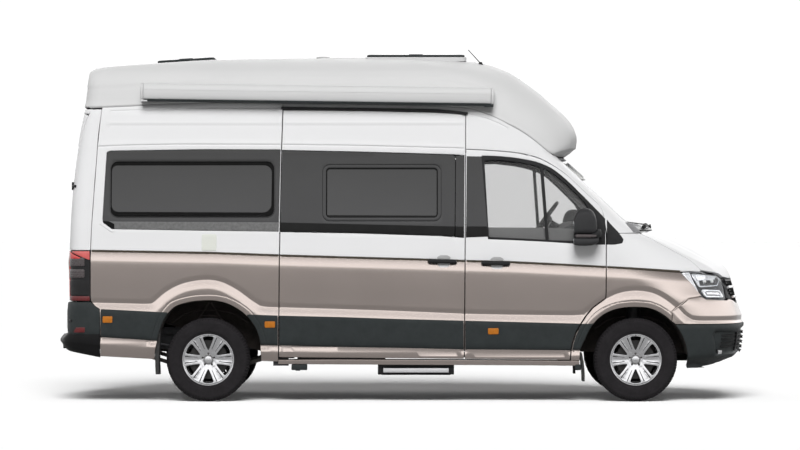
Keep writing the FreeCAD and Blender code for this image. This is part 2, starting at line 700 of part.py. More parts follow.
wheel = new_body("steering_wheel")
ring = revolve(
    wheel, "hub_boss", "XZ_Plane",
    [(0, -60), (48, -60), (70, -10), (60, 14), (0, 20)], axis="V_Axis")
ring_sketch = new_sketch(wheel, "ring_sketch", "XZ_Plane")
add_circle(ring_sketch, dim("steer_radius"), 0, dim("steer_rim"))
ring = wheel.newObject("PartDesign::Revolution", "ring")
ring.Profile = ring_sketch
ring.ReferenceAxis = (ring_sketch, ["V_Axis"])
ring.Angle = 360
wheel.Tip = ring
pad(wheel, "spokes", "XY_Plane",
    [[(-20, -40), (20, -40), (20, -178), (-20, -178)],
     [(-178, -18), (-40, -18), (-40, 18), (-178, 18)],
     [(40, -18), (178, -18), (178, 18), (40, 18)]], 16, offset=-12)
place(wheel, dim("steer_x"), dim("steer_y"), dim("steer_z"), V(0, 1, 0), -53)

# ------------------------------------------------------------------ chassis
frame = new_body("chassis_frame")
rail_out, rail_in = dim("rail_y") + dim("rail_width") / 2, dim("rail_y") - dim("rail_width") / 2
pad(frame, "rails", "XY_Plane",
    [rectangle(dim("rail_rear"), dim("rail_front"), rail_in, rail_out),
     rectangle(dim("rail_rear"), dim("rail_front"), -rail_out, -rail_in)],
    dim("rail_height"), offset=dim("rail_low"))
crosses = [
    rectangle(dim("cross_first") + dim("cross_pitch") * k,
              dim("cross_first") + dim("cross_pitch") * k + dim("cross_width"),
              -rail_in - 10, rail_in + 10)
    for k in range(7)
]
pad(frame, "cross_members", "XY_Plane", crosses, 60, offset=dim("rail_low") + 55)
outriggers = []
for k in range(1, 6):
    x0 = dim("cross_first") + dim("cross_pitch") * k
    if k in (1, 2):
        continue
    for side in (-1, 1):
        outriggers.append(rectangle(x0, x0 + 50, side * 480, side * 930))
pad(frame, "outriggers", "XY_Plane", outriggers, 40, offset=dim("floor_low") - 60)
# lifting points under the sills
jacks = [rectangle(x, x + 130, side * 900, side * 940) for x in (-1090, 1330) for side in (-1, 1)]
pad(frame, "jack_arms", "XY_Plane",
    [rectangle(x, x + 60, side * 480, side * 935) for x in (-1060, 1360) for side in (-1, 1)],
    40, offset=dim("floor_low") - 60)
pad(frame, "jack_points", "XY_Plane", jacks, 216, offset=304)

floor = new_body("floor_pan")
pad(floor, "floor_slab", "XZ_Plane",
    [(dim("floor_rear"), dim("floor_low")), (dim("floor_front"), dim("floor_low")),
     (dim("floor_front") + 20, dim("floor_low") + 260), (1700, 860), (1700, 1390), (1660, 1390),
     (1660, 900), (dim("floor_front") - 30, 860), (dim("floor_front") - 40, dim("floor_low") + dim("floor_thick")),
     (dim("floor_rear"), dim("floor_low") + dim("floor_thick"))],
    dim("floor_half") * 2, middle=True)
pocket(floor, "arch_cut", "XY_Plane",
       [rectangle(dim("rear_axle_x") - 500, dim("rear_axle_x") + 500, side * 515, side * 1000) for side in (-1, 1)],
       600, offset=900, middle=False)

liners = new_body("wheel_housings")


def arch_ring(cx, cz, radius, thick, start, end, steps):
    inner_pts, outer_pts = [], []
    for k in range(steps + 1):
        a = math.radians(start + (end - start) * k / steps)
        inner_pts.append((cx + radius * math.cos(a), cz + radius * math.sin(a)))
        outer_pts.append((cx + (radius + thick) * math.cos(a), cz + (radius + thick) * math.sin(a)))
    return outer_pts + inner_pts[::-1]


thick = dim("liner_thick")
rings = [
    arch_ring(dim("front_axle_x"), dim("tyre_radius"), dim("arch_radius_front"), thick, 12, 160, 12),
    arch_ring(dim("rear_axle_x"), dim("tyre_radius") + 30, dim("arch_radius_rear"), thick, 8, 172, 12),
]
pad(liners, "liners_right", "XZ_Plane", rings, 400, offset=530)
pad(liners, "liners_left", "XZ_Plane", rings, 400, offset=-530, back=True)
flaps = []
FLAPS = ((-2098, -2086, 232, 640), (1528, 1540, 176, 500))
for x0, x1, z0, z1 in FLAPS:
    flaps.append(rectangle(x0, x1, z0, z1))
pad(liners, "flaps_right", "XZ_Plane", flaps, 190, offset=770)
pad(liners, "flaps_left", "XZ_Plane", flaps, 190, offset=-770, back=True)

subframe = new_body("front_subframe")
pad(subframe, "cross_beam", "XY_Plane", rectangle(1890, 2090, -430, 430), 70, offset=330)

def arm_outline(side, root, tip, half_root, half_tip):
    """Wishbone seen from above, from the frame out to the steering axis."""
    x = num("front_axle_x")
    return [(x - half_root, side * root), (x + half_root, side * root), (x + half_tip, side * tip),
            (x - half_tip, side * tip)]


def across(x0, x1, side, near, far):
    return rectangle(x0, x1, min(side * near, side * far), max(side * near, side * far))


for level, low, thick_z in (("lower_arms", 205, 30), ("upper_arms", 528, 24)):
    pad(subframe, level, "XY_Plane",
        [arm_outline(side, 400, 752, 120, 24) for side in (-1, 1)], thick_z, offset=low)
pad(subframe, "arm_posts", "XY_Plane", [across(1880, 2110, side, 385, 430) for side in (-1, 1)],
    170, offset=205)
pad(subframe, "strut_rods", "XY_Plane", None, 800, offset=220,
    circles=[(1997, side * 600, 24) for side in (-1, 1)])
pad(subframe, "spring_seats", "XY_Plane", None, 330, offset=690,
    circles=[(1997, side * 600, 62) for side in (-1, 1)])
pad(subframe, "towers", "XY_Plane", [across(1900, 2090, side, 400, 700) for side in (-1, 1)],
    24, offset=1010)
pad(subframe, "tower_legs", "XY_Plane", [across(1900, 2090, side, 400, 424) for side in (-1, 1)],
    640, offset=390)

axle = new_body("rear_axle")
pad(axle, "beam", "XZ_Plane", None, 1440, circles=[(dim("rear_axle_x"), dim("tyre_radius"), 52)], middle=True)
pad(axle, "stubs", "XZ_Plane", None, dim("wheel_y") * 2 + 110,
    circles=[(dim("rear_axle_x"), dim("tyre_radius"), 32)], middle=True)
pad(axle, "drums", "XZ_Plane", None, 1620, circles=[(dim("rear_axle_x"), dim("tyre_radius"), 60)], middle=True)
spring = [(-2350, 420), (-2330, 405), (-1960, 290), (-1643, 262), (-1330, 290), (-960, 405), (-940, 420),
          (-965, 440), (-1335, 318), (-1643, 304), (-1955, 318), (-2325, 440)]
pad(axle, "springs_right", "XZ_Plane", spring, 70, offset=505)
pad(axle, "springs_left", "XZ_Plane", spring, 70, offset=-505, back=True)
pad(axle, "spring_pads", "XY_Plane",
    [rectangle(-1713, -1573, min(side * 500, side * 580), max(side * 500, side * 580)) for side in (-1, 1)],
    100, offset=290)
pad(axle, "spring_eyes", "XZ_Plane",
    [rectangle(-2350, -2310, 405, 440), rectangle(-980, -940, 405, 440)], 1140, middle=True)

tank = new_body("fuel_tank")
pad(tank, "tank_block", "YZ_Plane",
    [(510, 300), (880, 300), (915, 340), (915, 490), (885, 515), (510, 515)], 760, offset=-900)
battery = new_body("exhaust")
pad(battery, "muffler", "YZ_Plane", [(-270, 366), (-120, 366), (-90, 400), (-90, 440), (-120, 474), (-270, 474),
                                    (-300, 440), (-300, 400)], 700, offset=-420)
pad(battery, "tail_pipe", "YZ_Plane", None, 2220, offset=-2630, circles=[(-195, 446, 24)])
pad(battery, "front_pipe", "YZ_Plane", None, 1600, offset=270, circles=[(-195, 430, 27)])

engine = doc.addObject("Part::Box", "engine")
engine.Label = "engine"
bind(engine, "Length", 560)
bind(engine, "Width", 660)
bind(engine, "Height", 600)
place(engine, 2120, -330, 450)
NODES.append(engine)

# --------------------------------------------------------------- cab interior
dash = new_body("dashboard")
pad(dash, "dash_profile", "XZ_Plane",
    [(1395, 1010), (1365, 1180), (1350, 1390), (1395, 1500), (1500, 1520), (1840, 1490), (1905, 1440),
     (1640, 1410), (1600, 1010)], 1760, middle=True)
# column shroud, along the steering axis from the hub down into the panel
cs, sn = math.cos(math.radians(37)), math.sin(math.radians(37))


def on_column(along, across_it):
    return (num("steer_x") + along * cs + across_it * sn, num("steer_z") - along * sn + across_it * cs)


pad(dash, "column", "XZ_Plane", [on_column(66, -36), on_column(66, 36), on_column(240, 60), on_column(240, -60)],
    80, offset=-(dim("steer_y") + 40))
pad(dash, "console", "XZ_Plane", [(1230, 860), (1215, 1120), (1290, 1160), (1500, 1160), (1500, 860)], 300, middle=True)

seats = new_body("cab_seats")
sx = dim("seat_x")
for name, side in (("right", -1), ("left", 1)):
    y_off = dim("seat_y") * (-side) - dim("seat_width") / 2
    pad(seats, "base_" + name, "XZ_Plane", rectangle(sx + 40, sx + 420, 622, 862), dim("seat_width") - 80, offset=y_off + 40)
    pad(seats, "cushion_" + name, "XZ_Plane",
        [(sx, 860), (sx + 500, 860), (sx + 520, 930), (sx + 500, 1000), (sx + 60, 980), (sx, 940)],
        dim("seat_width"), offset=y_off)
    pad(seats, "back_" + name, "XZ_Plane",
        [(sx - 10, 920), (sx + 100, 960), (sx + 30, 1560), (sx - 30, 1590), (sx - 90, 1570), (sx - 60, 1000)],
        dim("seat_width"), offset=y_off)
    pad(seats, "headrest_" + name, "XZ_Plane",
        [(sx - 85, 1560), (sx - 10, 1580), (sx - 20, 1790), (sx - 50, 1810), (sx - 90, 1800)],
        dim("seat_width") - 240, offset=y_off + 120)

# ------------------------------------------------------ awning, rail and step
awning_body = new_body("awning_case", node=False)
pad(awning_body, "awning_profile", "YZ_Plane",
    [(0, 0), (-118, 8), (-136, 30), (-138, 96), (-122, 134), (-70, dim("awning_depth")), (0, dim("awning_depth"))],
    dim("awning_length"))
doc.recompute()
case = awning_body.Shape.copy()
case.Placement = FreeCAD.Placement(V(-2221, -842, 2564), FreeCAD.Rotation(V(0, 1, 0), 0.78))
panel("awning", case.cut(hull(-0.5)))

rail = prism([(-1022, 2492), (-1022, 2518), (568, 2470), (568, 2444)], -1000, -800)
rail = rail.common(hull(-14).cut(hull(-0.6)))
panel("door_rail", rail)

housing = new_body("step_housing")
pad(housing, "housing_block", "YZ_Plane",
    [(-925, 222), (-560, 222), (-560, 345), (-925, 345), (-925, 330), (-575, 330), (-575, 237), (-925, 237)],
    650, offset=dim("step_x") - 325)
pad(housing, "housing_arms", "XY_Plane",
    [rectangle(dim("step_x") + u, dim("step_x") + u + 40, -700, -600) for u in (-300, 260)], 160, offset=340)

tread = new_body("entry_step")
pad(tread, "tread_plate", "XY_Plane",
    rectangle(dim("step_x") - dim("step_length") / 2, dim("step_x") + dim("step_length") / 2, -965, -965 + dim("step_depth")),
    dim("step_thick"), offset=dim("step_z") + 14)

# -------------------------------------------------------------- roof hatches
for name, key, top, slope in HATCHES:
    lid = new_body(name)
    half_l = dim(key + "_length") / 2
    half_s = dim(key + "_half")
    pad(lid, name + "_plate", "XY_Plane",
        [(-half_l, -half_s + 40), (-half_l + 40, -half_s), (half_l - 40, -half_s), (half_l, -half_s + 40),
         (half_l, half_s - 40), (half_l - 40, half_s), (-half_l + 40, half_s), (-half_l, half_s - 40)],
        dim("hatch_thick"), offset=10)
    place(lid, dim(key + "_x"), 0, top, V(0, 1, 0), slope)

# ------------------------------------------------------------------- mirrors
for name, side in (("right", -1), ("left", 1)):
    mirror = new_body("mirror_" + name)
    s = side
    pad(mirror, "shell_" + name, "XZ_Plane",
        [(1470, 1330), (1640, 1326), (1700, 1360), (1712, 1500), (1700, 1620), (1660, 1672),
         (1500, 1672), (1462, 1600), (1458, 1400)],
        150, offset=1058 if s < 0 else -1058, back=(s > 0))
    pad(mirror, "arm_" + name, "XZ_Plane",
        [(1560, 1400), (1690, 1390), (1700, 1470), (1580, 1500)],
        80, offset=985 if s < 0 else -985, back=(s > 0))
    place(mirror, 0, 0, 0)

# --------------------------------------------- neighbours kept out of each other
def trim(label, *others):
    """Takes the space of its neighbours out of one node."""
    at = {thing.Label: i for i, thing in enumerate(NODES)}
    spot = at[label]
    for other in others:
        whole = NODES[spot]
        tool = NODES[at[other]]
        cut = doc.addObject("Part::Cut", label + "_less_" + other)
        cut.Base = whole
        cut.Tool = tool
        whole.Label = label + "_before_" + other
        cut.Label = label
        doc.recompute()
        NODES[spot] = cut


trim("cab_frame", "chassis_frame", "floor_pan")
trim("right_body_side", "chassis_frame")
trim("left_body_side", "chassis_frame")
trim("front_subframe", "chassis_frame")
trim("fuel_tank", "chassis_frame")
trim("rear_axle", "chassis_frame")
trim("exhaust", "rear_axle")
trim("dashboard", "floor_pan")
trim("wheel_housings", "front_subframe", "front_wings", "right_body_side", "left_body_side")
trim("rear_bumper", "chassis_frame", "floor_pan", "right_body_side", "left_body_side", "exhaust")
for side in ("right", "left"):
    trim("mirror_" + side, "front_door_" + side, "door_glass_" + side)
    for axle in ("front", "rear"):
        trim("tyre_%s_%s" % (axle, side), "rim_%s_%s" % (axle, side))

# ------------------------------------------------------------ check and write
doc.recompute()
problems = []
for thing in doc.Objects:
    bad = [s for s in thing.State if s in ("Invalid", "Error")]
    if bad:
        problems.append("%s: %s" % (thing.Name, bad))
names = set()
for thing in NODES:
    shape = thing.Shape
    if shape.isNull() or not shape.isValid() or not shape.Solids:
        problems.append("%s: bad shape" % thing.Label)
    if thing.Label in names or len(thing.Label) > 59:
        problems.append("%s: label" % thing.Label)
    names.add(thing.Label)
if problems:
    raise RuntimeError("; ".join(problems))
os.makedirs("parts", exist_ok=True)
for thing in NODES:
    thing.Shape.exportStep("parts/%s.step" % thing.Label)
    box = thing.Shape.BoundBox
    print("%-18s solids %d  x %6.0f %6.0f  y %6.0f %6.0f  z %6.0f %6.0f  vol %.1f l" % (
        thing.Label, len(thing.Shape.Solids), box.XMin, box.XMax, box.YMin, box.YMax,
        box.ZMin, box.ZMax, thing.Shape.Volume / 1e6))
print("nodes", len(NODES))
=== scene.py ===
import math

import bmesh
import bpy
import numpy as np
from mathutils import Matrix, Vector
from mathutils.geometry import delaunay_2d_cdt


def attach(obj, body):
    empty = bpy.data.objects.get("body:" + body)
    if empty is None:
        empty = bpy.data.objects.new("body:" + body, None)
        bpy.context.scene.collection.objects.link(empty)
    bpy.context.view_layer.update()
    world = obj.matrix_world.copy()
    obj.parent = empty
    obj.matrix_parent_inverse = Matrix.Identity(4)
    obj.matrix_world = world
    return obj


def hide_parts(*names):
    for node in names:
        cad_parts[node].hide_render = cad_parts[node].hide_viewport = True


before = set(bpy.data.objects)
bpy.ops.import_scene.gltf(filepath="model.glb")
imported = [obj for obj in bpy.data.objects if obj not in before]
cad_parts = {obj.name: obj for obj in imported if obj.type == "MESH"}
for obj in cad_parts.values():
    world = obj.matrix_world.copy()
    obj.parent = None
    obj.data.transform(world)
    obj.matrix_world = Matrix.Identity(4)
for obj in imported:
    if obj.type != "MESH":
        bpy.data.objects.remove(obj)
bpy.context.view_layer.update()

MM = 0.001
scene = bpy.context.scene

# ------------------------------------------------------------ body sections
# height, rear face, half width, rear corner radius, where the side starts to
# turn in, end of the front corner (x, y), nose; all in millimetres
SECTIONS = np.array([
    (318, -2790, 978, 120, 2250, 2740, 560, 2800), (420, -2850, 1010, 120, 2400, 2880, 640, 2975),
    (640, -2850, 1018, 120, 2420, 2905, 650, 2990), (820, -2850, 1020, 120, 2330, 2860, 680, 2935),
    (1000, -2852, 1021, 120, 2050, 2780, 720, 2893), (1120, -2852, 1021, 120, 1900, 2670, 745, 2838),
    (1250, -2852, 1020, 120, 1800, 2430, 765, 2665), (1360, -2850, 1014, 120, 1760, 2220, 780, 2450),
    (1450, -2847, 1009, 120, 1740, 2010, 845, 2224), (1500, -2845, 1005, 120, 1700, 1930, 860, 2153),
    (1760, -2830, 980, 120, 1470, 1656, 840, 1840), (2100, -2795, 935, 120, 1150, 1300, 830, 1411),
    (2120, -2792, 932, 120, 1080, 1385, 690, 1450), (2160, -2788, 927, 120, 1040, 1450, 640, 1522),
    (2250, -2777, 915, 120, 1000, 1465, 600, 1537), (2340, -2762, 903, 120, 950, 1440, 590, 1512),
    (2450, -2740, 888, 120, 850, 1355, 580, 1433), (2560, -2722, 862, 120, 750, 1235, 560, 1310),
    (2660, -2712, 843, 120, 650, 1115, 545, 1196), (2740, -2705, 820, 120, 540, 1000, 530, 1086),
    (2810, -2698, 770, 140, 400, 890, 500, 985), (2850, -2640, 715, 160, 300, 800, 460, 905),
    (2895, -2200, 610, 200, 100, 640, 400, 785), (2928, -1750, 470, 220, -100, 450, 320, 615),
    (2946, -1200, 330, 220, -200, 250, 200, 370), (2956, -750, 160, 100, -300, 30, 90, 110),
], float)


def pchip(xs, ys):
    """A smooth curve through points that never overshoots them."""
    xs, ys = np.asarray(xs, float), np.asarray(ys, float)
    h = np.diff(xs)
    d = np.diff(ys) / h
    m = np.zeros_like(ys)
    for i in range(1, len(xs) - 1):
        if d[i - 1] * d[i] > 0:
            a, b = 2 * h[i] + h[i - 1], h[i] + 2 * h[i - 1]
            m[i] = (a + b) / (a / d[i - 1] + b / d[i])
    m[0], m[-1] = d[0], d[-1]

    def f(x):
        x = np.clip(np.asarray(x, float), xs[0], xs[-1])
        i = np.clip(np.searchsorted(xs, x) - 1, 0, len(xs) - 2)
        t = (x - xs[i]) / h[i]
        return ((2 * t**3 - 3 * t**2 + 1) * ys[i] + (t**3 - 2 * t**2 + t) * h[i] * m[i]
                + (3 * t**2 - 2 * t**3) * ys[i + 1] + (t**3 - t**2) * h[i] * m[i + 1])

    return f


LOWER = SECTIONS[:12]
UPPER = SECTIONS[12:]
_low = [pchip(LOWER[:, 0], LOWER[:, k]) for k in range(1, 8)]
_top = 2964.0
_up = [pchip(-np.sqrt(_top - UPPER[:, 0]), UPPER[:, k]) for k in range(1, 8)]


def section(z, part="auto"):
    """Rear x, half width, rear radius, xs, xe, ye, nose x of the level section at z."""
    z = np.asarray(z, float)
    low = [f(z) for f in _low]
    up = [f(-np.sqrt(np.maximum(_top - z, 8))) for f in _up]
    if part == "low":
        pick = np.zeros(z.shape, bool)
    elif part == "roof":
        pick = np.ones(z.shape, bool)
    else:
        pick = z > 2110
    out = [np.where(pick, u, l) for l, u in zip(low, up)]
    if part == "low":  # body side above the windscreen top keeps leaning in, as the upper sections do
        out[1] = np.where(z > 2100, up[1], low[1])
        out[0] = np.where(z > 2100, up[0], low[0])
    return out


def arcs(z, part="auto"):
    xr, w, rr, xs, xe, ye, xn = section(z, part)
    side_r = ((xe - xs) ** 2 + (w - ye) ** 2) / (2 * (w - ye))
    sag = xn - xe
    nose_r = (sag**2 + ye**2) / (2 * sag)
    return xr, w, rr, xs, xe, ye, xn, side_r, nose_r


def side_y(x, z, part="auto"):
    """Half width of the body at (x, z)."""
    x, z = np.broadcast_arrays(np.asarray(x, float), np.asarray(z, float))
    xr, w, rr, xs, xe, ye, xn, side_r, nose_r = arcs(z, part)
    y = w.copy()
    c = x > xs
    y = np.where(c, w - side_r + np.sqrt(np.maximum(side_r**2 - (x - xs) ** 2, 1)), y)
    f = x > xe
    y = np.where(f, np.sqrt(np.maximum(nose_r**2 - (x - xn + nose_r) ** 2, 1)), y)
    r = x < xr + rr
    y = np.where(r, w - rr + np.sqrt(np.maximum(rr**2 - (xr + rr - np.maximum(x, xr)) ** 2, 0.5)), y)
    return y


def front_x(y, z, part="auto"):
    y, z = np.broadcast_arrays(np.abs(np.asarray(y, float)), np.asarray(z, float))
    xr, w, rr, xs, xe, ye, xn, side_r, nose_r = arcs(z, part)
    x = xn - nose_r + np.sqrt(np.maximum(nose_r**2 - y**2, 1))
    c = y > ye
    x = np.where(c, xs + np.sqrt(np.maximum(side_r**2 - (np.minimum(y, w) - w + side_r) ** 2, 0)), x)
    return x


def rear_x(y, z):
    y, z = np.broadcast_arrays(np.abs(np.asarray(y, float)), np.asarray(z, float))
    xr, w, rr = section(z)[:3]
    xr = xr + 25
    flat = w - rr
    x = xr - 25 * (1 - np.minimum(y / flat, 1) ** 2)
    c = y > flat
    return np.where(c, xr + rr - np.sqrt(np.maximum(rr**2 - (y - flat) ** 2, 0)), x)


# ------------------------------------------------------------ 2-D mappings
class Side:
    """p = x, q = z on the right side of the body."""
    part = "low"

    def __call__(self, p, q):
        return np.stack([p, -side_y(p, q, self.part), q], -1)


class Screen:
    """p = -y, q = z on the front face."""
    def __call__(self, p, q):
        return np.stack([front_x(p, q, "low"), p, q], -1)


class Back:
    """p = -y, q = z on the rear face."""
    def __call__(self, p, q):
        return np.stack([rear_x(p, q), -p, q], -1)


class Hood:
    """p = x, q = y; height found on the front of the body."""
    def __call__(self, p, q):
        p, q = np.broadcast_arrays(np.asarray(p, float), np.asarray(q, float))
        lo, hi = np.full(p.shape, 900.0), np.full(p.shape, 2050.0)
        for _ in range(34):
            mid = (lo + hi) / 2
            inside = p <= front_x(q, mid, "low")
            lo, hi = np.where(inside, mid, lo), np.where(inside, hi, mid)
        return np.stack([p, q, (lo + hi) / 2], -1)


_ref = arcs(np.array(600.0), "low")
_R_NOSE, _R_SIDE = float(_ref[8]), float(_ref[7])
FP1 = _R_NOSE * math.asin(float(_ref[5]) / _R_NOSE)
FP2 = FP1 + _R_SIDE * math.asin((float(_ref[4]) - float(_ref[3])) / _R_SIDE)


class Front:
    """p runs round the front from the middle (0) to the right side; q = z."""
    flip = -1

    def __call__(self, p, q):
        p, q = np.broadcast_arrays(np.asarray(p, float), np.asarray(q, float))
        sgn = np.where(p < 0, -1.0, 1.0)
        a = np.abs(p)
        xr, w, rr, xs, xe, ye, xn, sr, nr = arcs(q, "low")
        phi = np.arcsin(np.clip(ye / nr, -1, 1)) * np.minimum(a / FP1, 1)
        x, y = xn - nr + nr * np.cos(phi), nr * np.sin(phi)
        te = np.arcsin(np.clip((xe - xs) / sr, -1, 1))
        th = te * (1 - np.clip((a - FP1) / (FP2 - FP1), 0, 1))
        c = a > FP1
        x = np.where(c, xs + sr * np.sin(th), x)
        y = np.where(c, w - sr + sr * np.cos(th), y)
        s = a > FP2
        x = np.where(s, xs - (a - FP2), x)
        y = np.where(s, w, y)
        return np.stack([x, -sgn * y, q], -1)

    @staticmethod
    def from_xz(pts):
        """(x, z) on the right side to (p, z)."""
        out = []
        for x, z in pts:
            xr, w, rr, xs, xe, ye, xn, sr, nr = [float(v) for v in arcs(np.array(float(z)), "low")]
            if x <= xs:
                p = FP2 + xs - x
            elif x <= xe:
                te = math.asin(min(1, (xe - xs) / sr))
                p = FP1 + (FP2 - FP1) * (1 - math.asin((x - xs) / sr) / te)
            else:
                y = math.sqrt(max(nr**2 - (min(x, xn) - xn + nr) ** 2, 0))
                p = FP1 * math.asin(y / nr) / math.asin(ye / nr)
            out.append((p, z))
        return out

    @staticmethod
    def from_yz(pts):
        out = []
        for y, z in pts:
            xr, w, rr, xs, xe, ye, xn, sr, nr = [float(v) for v in arcs(np.array(float(z)), "low")]
            a = abs(y)
            if a <= ye:
                p = FP1 * math.asin(a / nr) / math.asin(ye / nr)
            else:
                te = math.asin(min(1, (xe - xs) / sr))
                p = FP1 + (FP2 - FP1) * (1 - math.acos(min(1, (a - w + sr) / sr)) / te)
            out.append((math.copysign(p, y), z))
        return out


RP1, RARC = 900.0, 120 * math.pi / 2


class Rear:
    """p runs round the rear from the middle (0) to the right side; q = z."""
    def __call__(self, p, q):
        p, q = np.broadcast_arrays(np.asarray(p, float), np.asarray(q, float))
        xr, w, rr = section(q, "low")[:3]
        xr = xr + 25
        flat = w - rr
        t = np.clip(p / RP1, 0, 1)
        x, y = xr - 25 * (1 - t**2), flat * t
        th = np.clip((p - RP1) / RARC, 0, 1) * math.pi / 2
        c = p > RP1
        x = np.where(c, xr + rr - rr * np.cos(th), x)
        y = np.where(c, flat + rr * np.sin(th), y)
        s = p > RP1 + RARC
        x = np.where(s, xr + rr + (p - RP1 - RARC), x)
        return np.stack([x, -y, q], -1)

    @staticmethod
    def from_x(x, z):
        xr, w, rr = [float(v) for v in section(np.array(float(z)), "low")[:3]]
        xr += 25
        if x >= xr + rr:
            return RP1 + RARC + x - xr - rr
        return RP1 + RARC * math.acos(np.clip((xr + rr - x) / rr, -1, 1)) / (math.pi / 2)


def place(surf, p, q, d, flip=1):
    """Points of the surface moved outwards by d."""
    p, q, d = np.asarray(p, float), np.asarray(q, float), np.asarray(d, float)
    e = 2.0
    base = surf(p, q)
    u = surf(p + e, q) - surf(p - e, q)
    v = surf(p, q + e) - surf(p, q - e)
    n = np.cross(u, v) * flip * getattr(surf, "flip", 1)
    n /= np.maximum(np.linalg.norm(n, axis=-1, keepdims=True), 1e-9)
    return base + n * d[..., None]


# ------------------------------------------------------------ 2-D outlines
def spline(points, step=12.0, closed=False):
    """A smooth curve through points."""
    P = np.asarray(points, float)
    n = len(P)
    if n < 3:
        return [tuple(v) for v in P]
    out = []
    rng = range(n) if closed else range(n - 1)
    for i in rng:
        p1, p2 = P[i], P[(i + 1) % n]
        p0 = P[(i - 1) % n] if closed or i > 0 else 2 * p1 - p2
        p3 = P[(i + 2) % n] if closed or i < n - 2 else 2 * p2 - p1
        d01, d12, d23 = [max(np.linalg.norm(b - a), 1e-6) ** 0.5 for a, b in ((p0, p1), (p1, p2), (p2, p3))]
        m1 = (p2 - p1) + d12 * ((p1 - p0) / d01 - (p2 - p0) / (d01 + d12))
        m2 = (p2 - p1) + d12 * ((p3 - p2) / d23 - (p3 - p1) / (d12 + d23))
        k = max(1, int(np.linalg.norm(p2 - p1) / step))
        for j in range(k):
            t = j / k
            out.append(tuple((2 * t**3 - 3 * t**2 + 1) * p1 + (t**3 - 2 * t**2 + t) * m1
                             + (3 * t**2 - 2 * t**3) * p2 + (t**3 - t**2) * m2))
    if not closed:
        out.append(tuple(P[-1]))
    return out


def rounded(points, radii, seg=6):
    """A polygon with rounded corners."""
    P = [np.asarray(p, float) for p in points]
    n = len(P)
    if not hasattr(radii, "__len__"):
        radii = [radii] * n
    out = []
    for i in range(n):
        a, b, c = P[i - 1], P[i], P[(i + 1) % n]
        u, v = (a - b), (c - b)
        lu, lv = np.linalg.norm(u), np.linalg.norm(v)
        u, v = u / lu, v / lv
        ang = math.acos(np.clip(u @ v, -1, 1))
        r = radii[i]
        if r <= 0 or ang > math.pi - 0.02:
            out.append(tuple(b))
            continue
        t = min(r / math.tan(ang / 2), lu * 0.48, lv * 0.48)
        p, q = b + u * t, b + v * t
        for k in range(seg + 1):
            s = k / seg
            out.append(tuple((1 - s) ** 2 * p + 2 * s * (1 - s) * (b * 0.62 + (p + q) / 2 * 0.38) + s * s * q)
                       if ang < 0.2 else tuple(_arc_point(p, q, b, s)))
    return out


def _arc_point(p, q, b, s):
    """Point on the circle tangent at p and q."""
    m = (p + q) / 2
    bm = b - m
    h = np.linalg.norm(bm)
    if h < 1e-9:
        return p + (q - p) * s
    half = np.linalg.norm(q - p) / 2
    r = half * math.hypot(half, h) / h
    centre = m - bm / h * math.sqrt(max(r * r - half * half, 0))
    a0, a1 = p - centre, q - centre
    full = math.acos(np.clip(a0 @ a1 / (np.linalg.norm(a0) * np.linalg.norm(a1)), -1, 1))
    if full < 1e-6:
        return p + (q - p) * s
    w0, w1 = math.sin((1 - s) * full) / math.sin(full), math.sin(s * full) / math.sin(full)
    return centre + a0 * w0 + a1 * w1


def area2(poly):
    P = np.asarray(poly, float)
    x, y = P[:, 0], P[:, 1]
    return float(np.sum(x * np.roll(y, -1) - np.roll(x, -1) * y))


def clean(poly, tol=0.3):
    out = []
    for p in poly:
        if not out or math.dist(out[-1], p) > tol:
            out.append((float(p[0]), float(p[1])))
    if math.dist(out[0], out[-1]) <= tol:
        out.pop()
    return out


def inset(poly, d):
    """A closed outline moved inwards (d > 0) or outwards; outline runs counter-clockwise."""
    P = np.asarray(poly, float)
    e = np.roll(P, -1, 0) - P
    e /= np.maximum(np.linalg.norm(e, axis=1, keepdims=True), 1e-9)
    nrm = np.stack([-e[:, 1], e[:, 0]], 1)
    prev = np.roll(nrm, 1, 0)
    b = nrm + prev
    k = np.maximum(np.sum(b * b, 1) / 2, 0.45)
    return [tuple(v) for v in P + b / k[:, None] * d]


def ccw(poly):
    poly = clean(poly)
    return poly if area2(poly) > 0 else poly[::-1]


def resample(poly, step, closed=True):
    P = list(poly)
    out = []
    n = len(P)
    for i in range(n if closed else n - 1):
        a, b = P[i], P[(i + 1) % n]
        k = max(1, int(math.ceil(math.dist(a, b) / step)))
        for j in range(k):
            t = j / k
            out.append((a[0] + (b[0] - a[0]) * t, a[1] + (b[1] - a[1]) * t))
    if not closed:
        out.append(tuple(P[-1]))
    return out


def within(px, py, poly):
    P = np.asarray(poly, float)
    inside = np.zeros(px.shape, bool)
    for i in range(len(P)):
        x1, y1 = P[i]
        x2, y2 = P[(i + 1) % len(P)]
        if y1 == y2:
            continue
        c = (y1 > py) != (y2 > py)
        if c.any():
            xx = (x2 - x1) * (py - y1) / (y2 - y1) + x1
            inside ^= c & (px < xx)
    return inside


def distance(px, py, poly, closed=True):
    """Distance to an outline and the side of it (positive to the left of its run)."""
    P = np.asarray(poly, float)
    best = np.full(px.shape, 1e9)
    sign = np.ones(px.shape)
    n = len(P) if closed else len(P) - 1
    for i in range(n):
        a, b = P[i], P[(i + 1) % len(P)]
        e = b - a
        L = e @ e
        if L < 1e-9:
            continue
        dx, dy = px - a[0], py - a[1]
        t = np.clip((dx * e[0] + dy * e[1]) / L, 0, 1)
        rx, ry = dx - t * e[0], dy - t * e[1]
        d = rx * rx + ry * ry
        m = d < best
        best = np.where(m, d, best)
        sign = np.where(m, np.sign(e[0] * ry - e[1] * rx), sign)
    return np.sqrt(best), sign


def offset_line(line, d):
    """An open line moved sideways (to the left of its run)."""
    P = np.asarray(line, float)
    t = np.gradient(P, axis=0)
    t /= np.maximum(np.linalg.norm(t, axis=1, keepdims=True), 1e-9)
    return P + np.stack([-t[:, 1], t[:, 0]], 1) * d


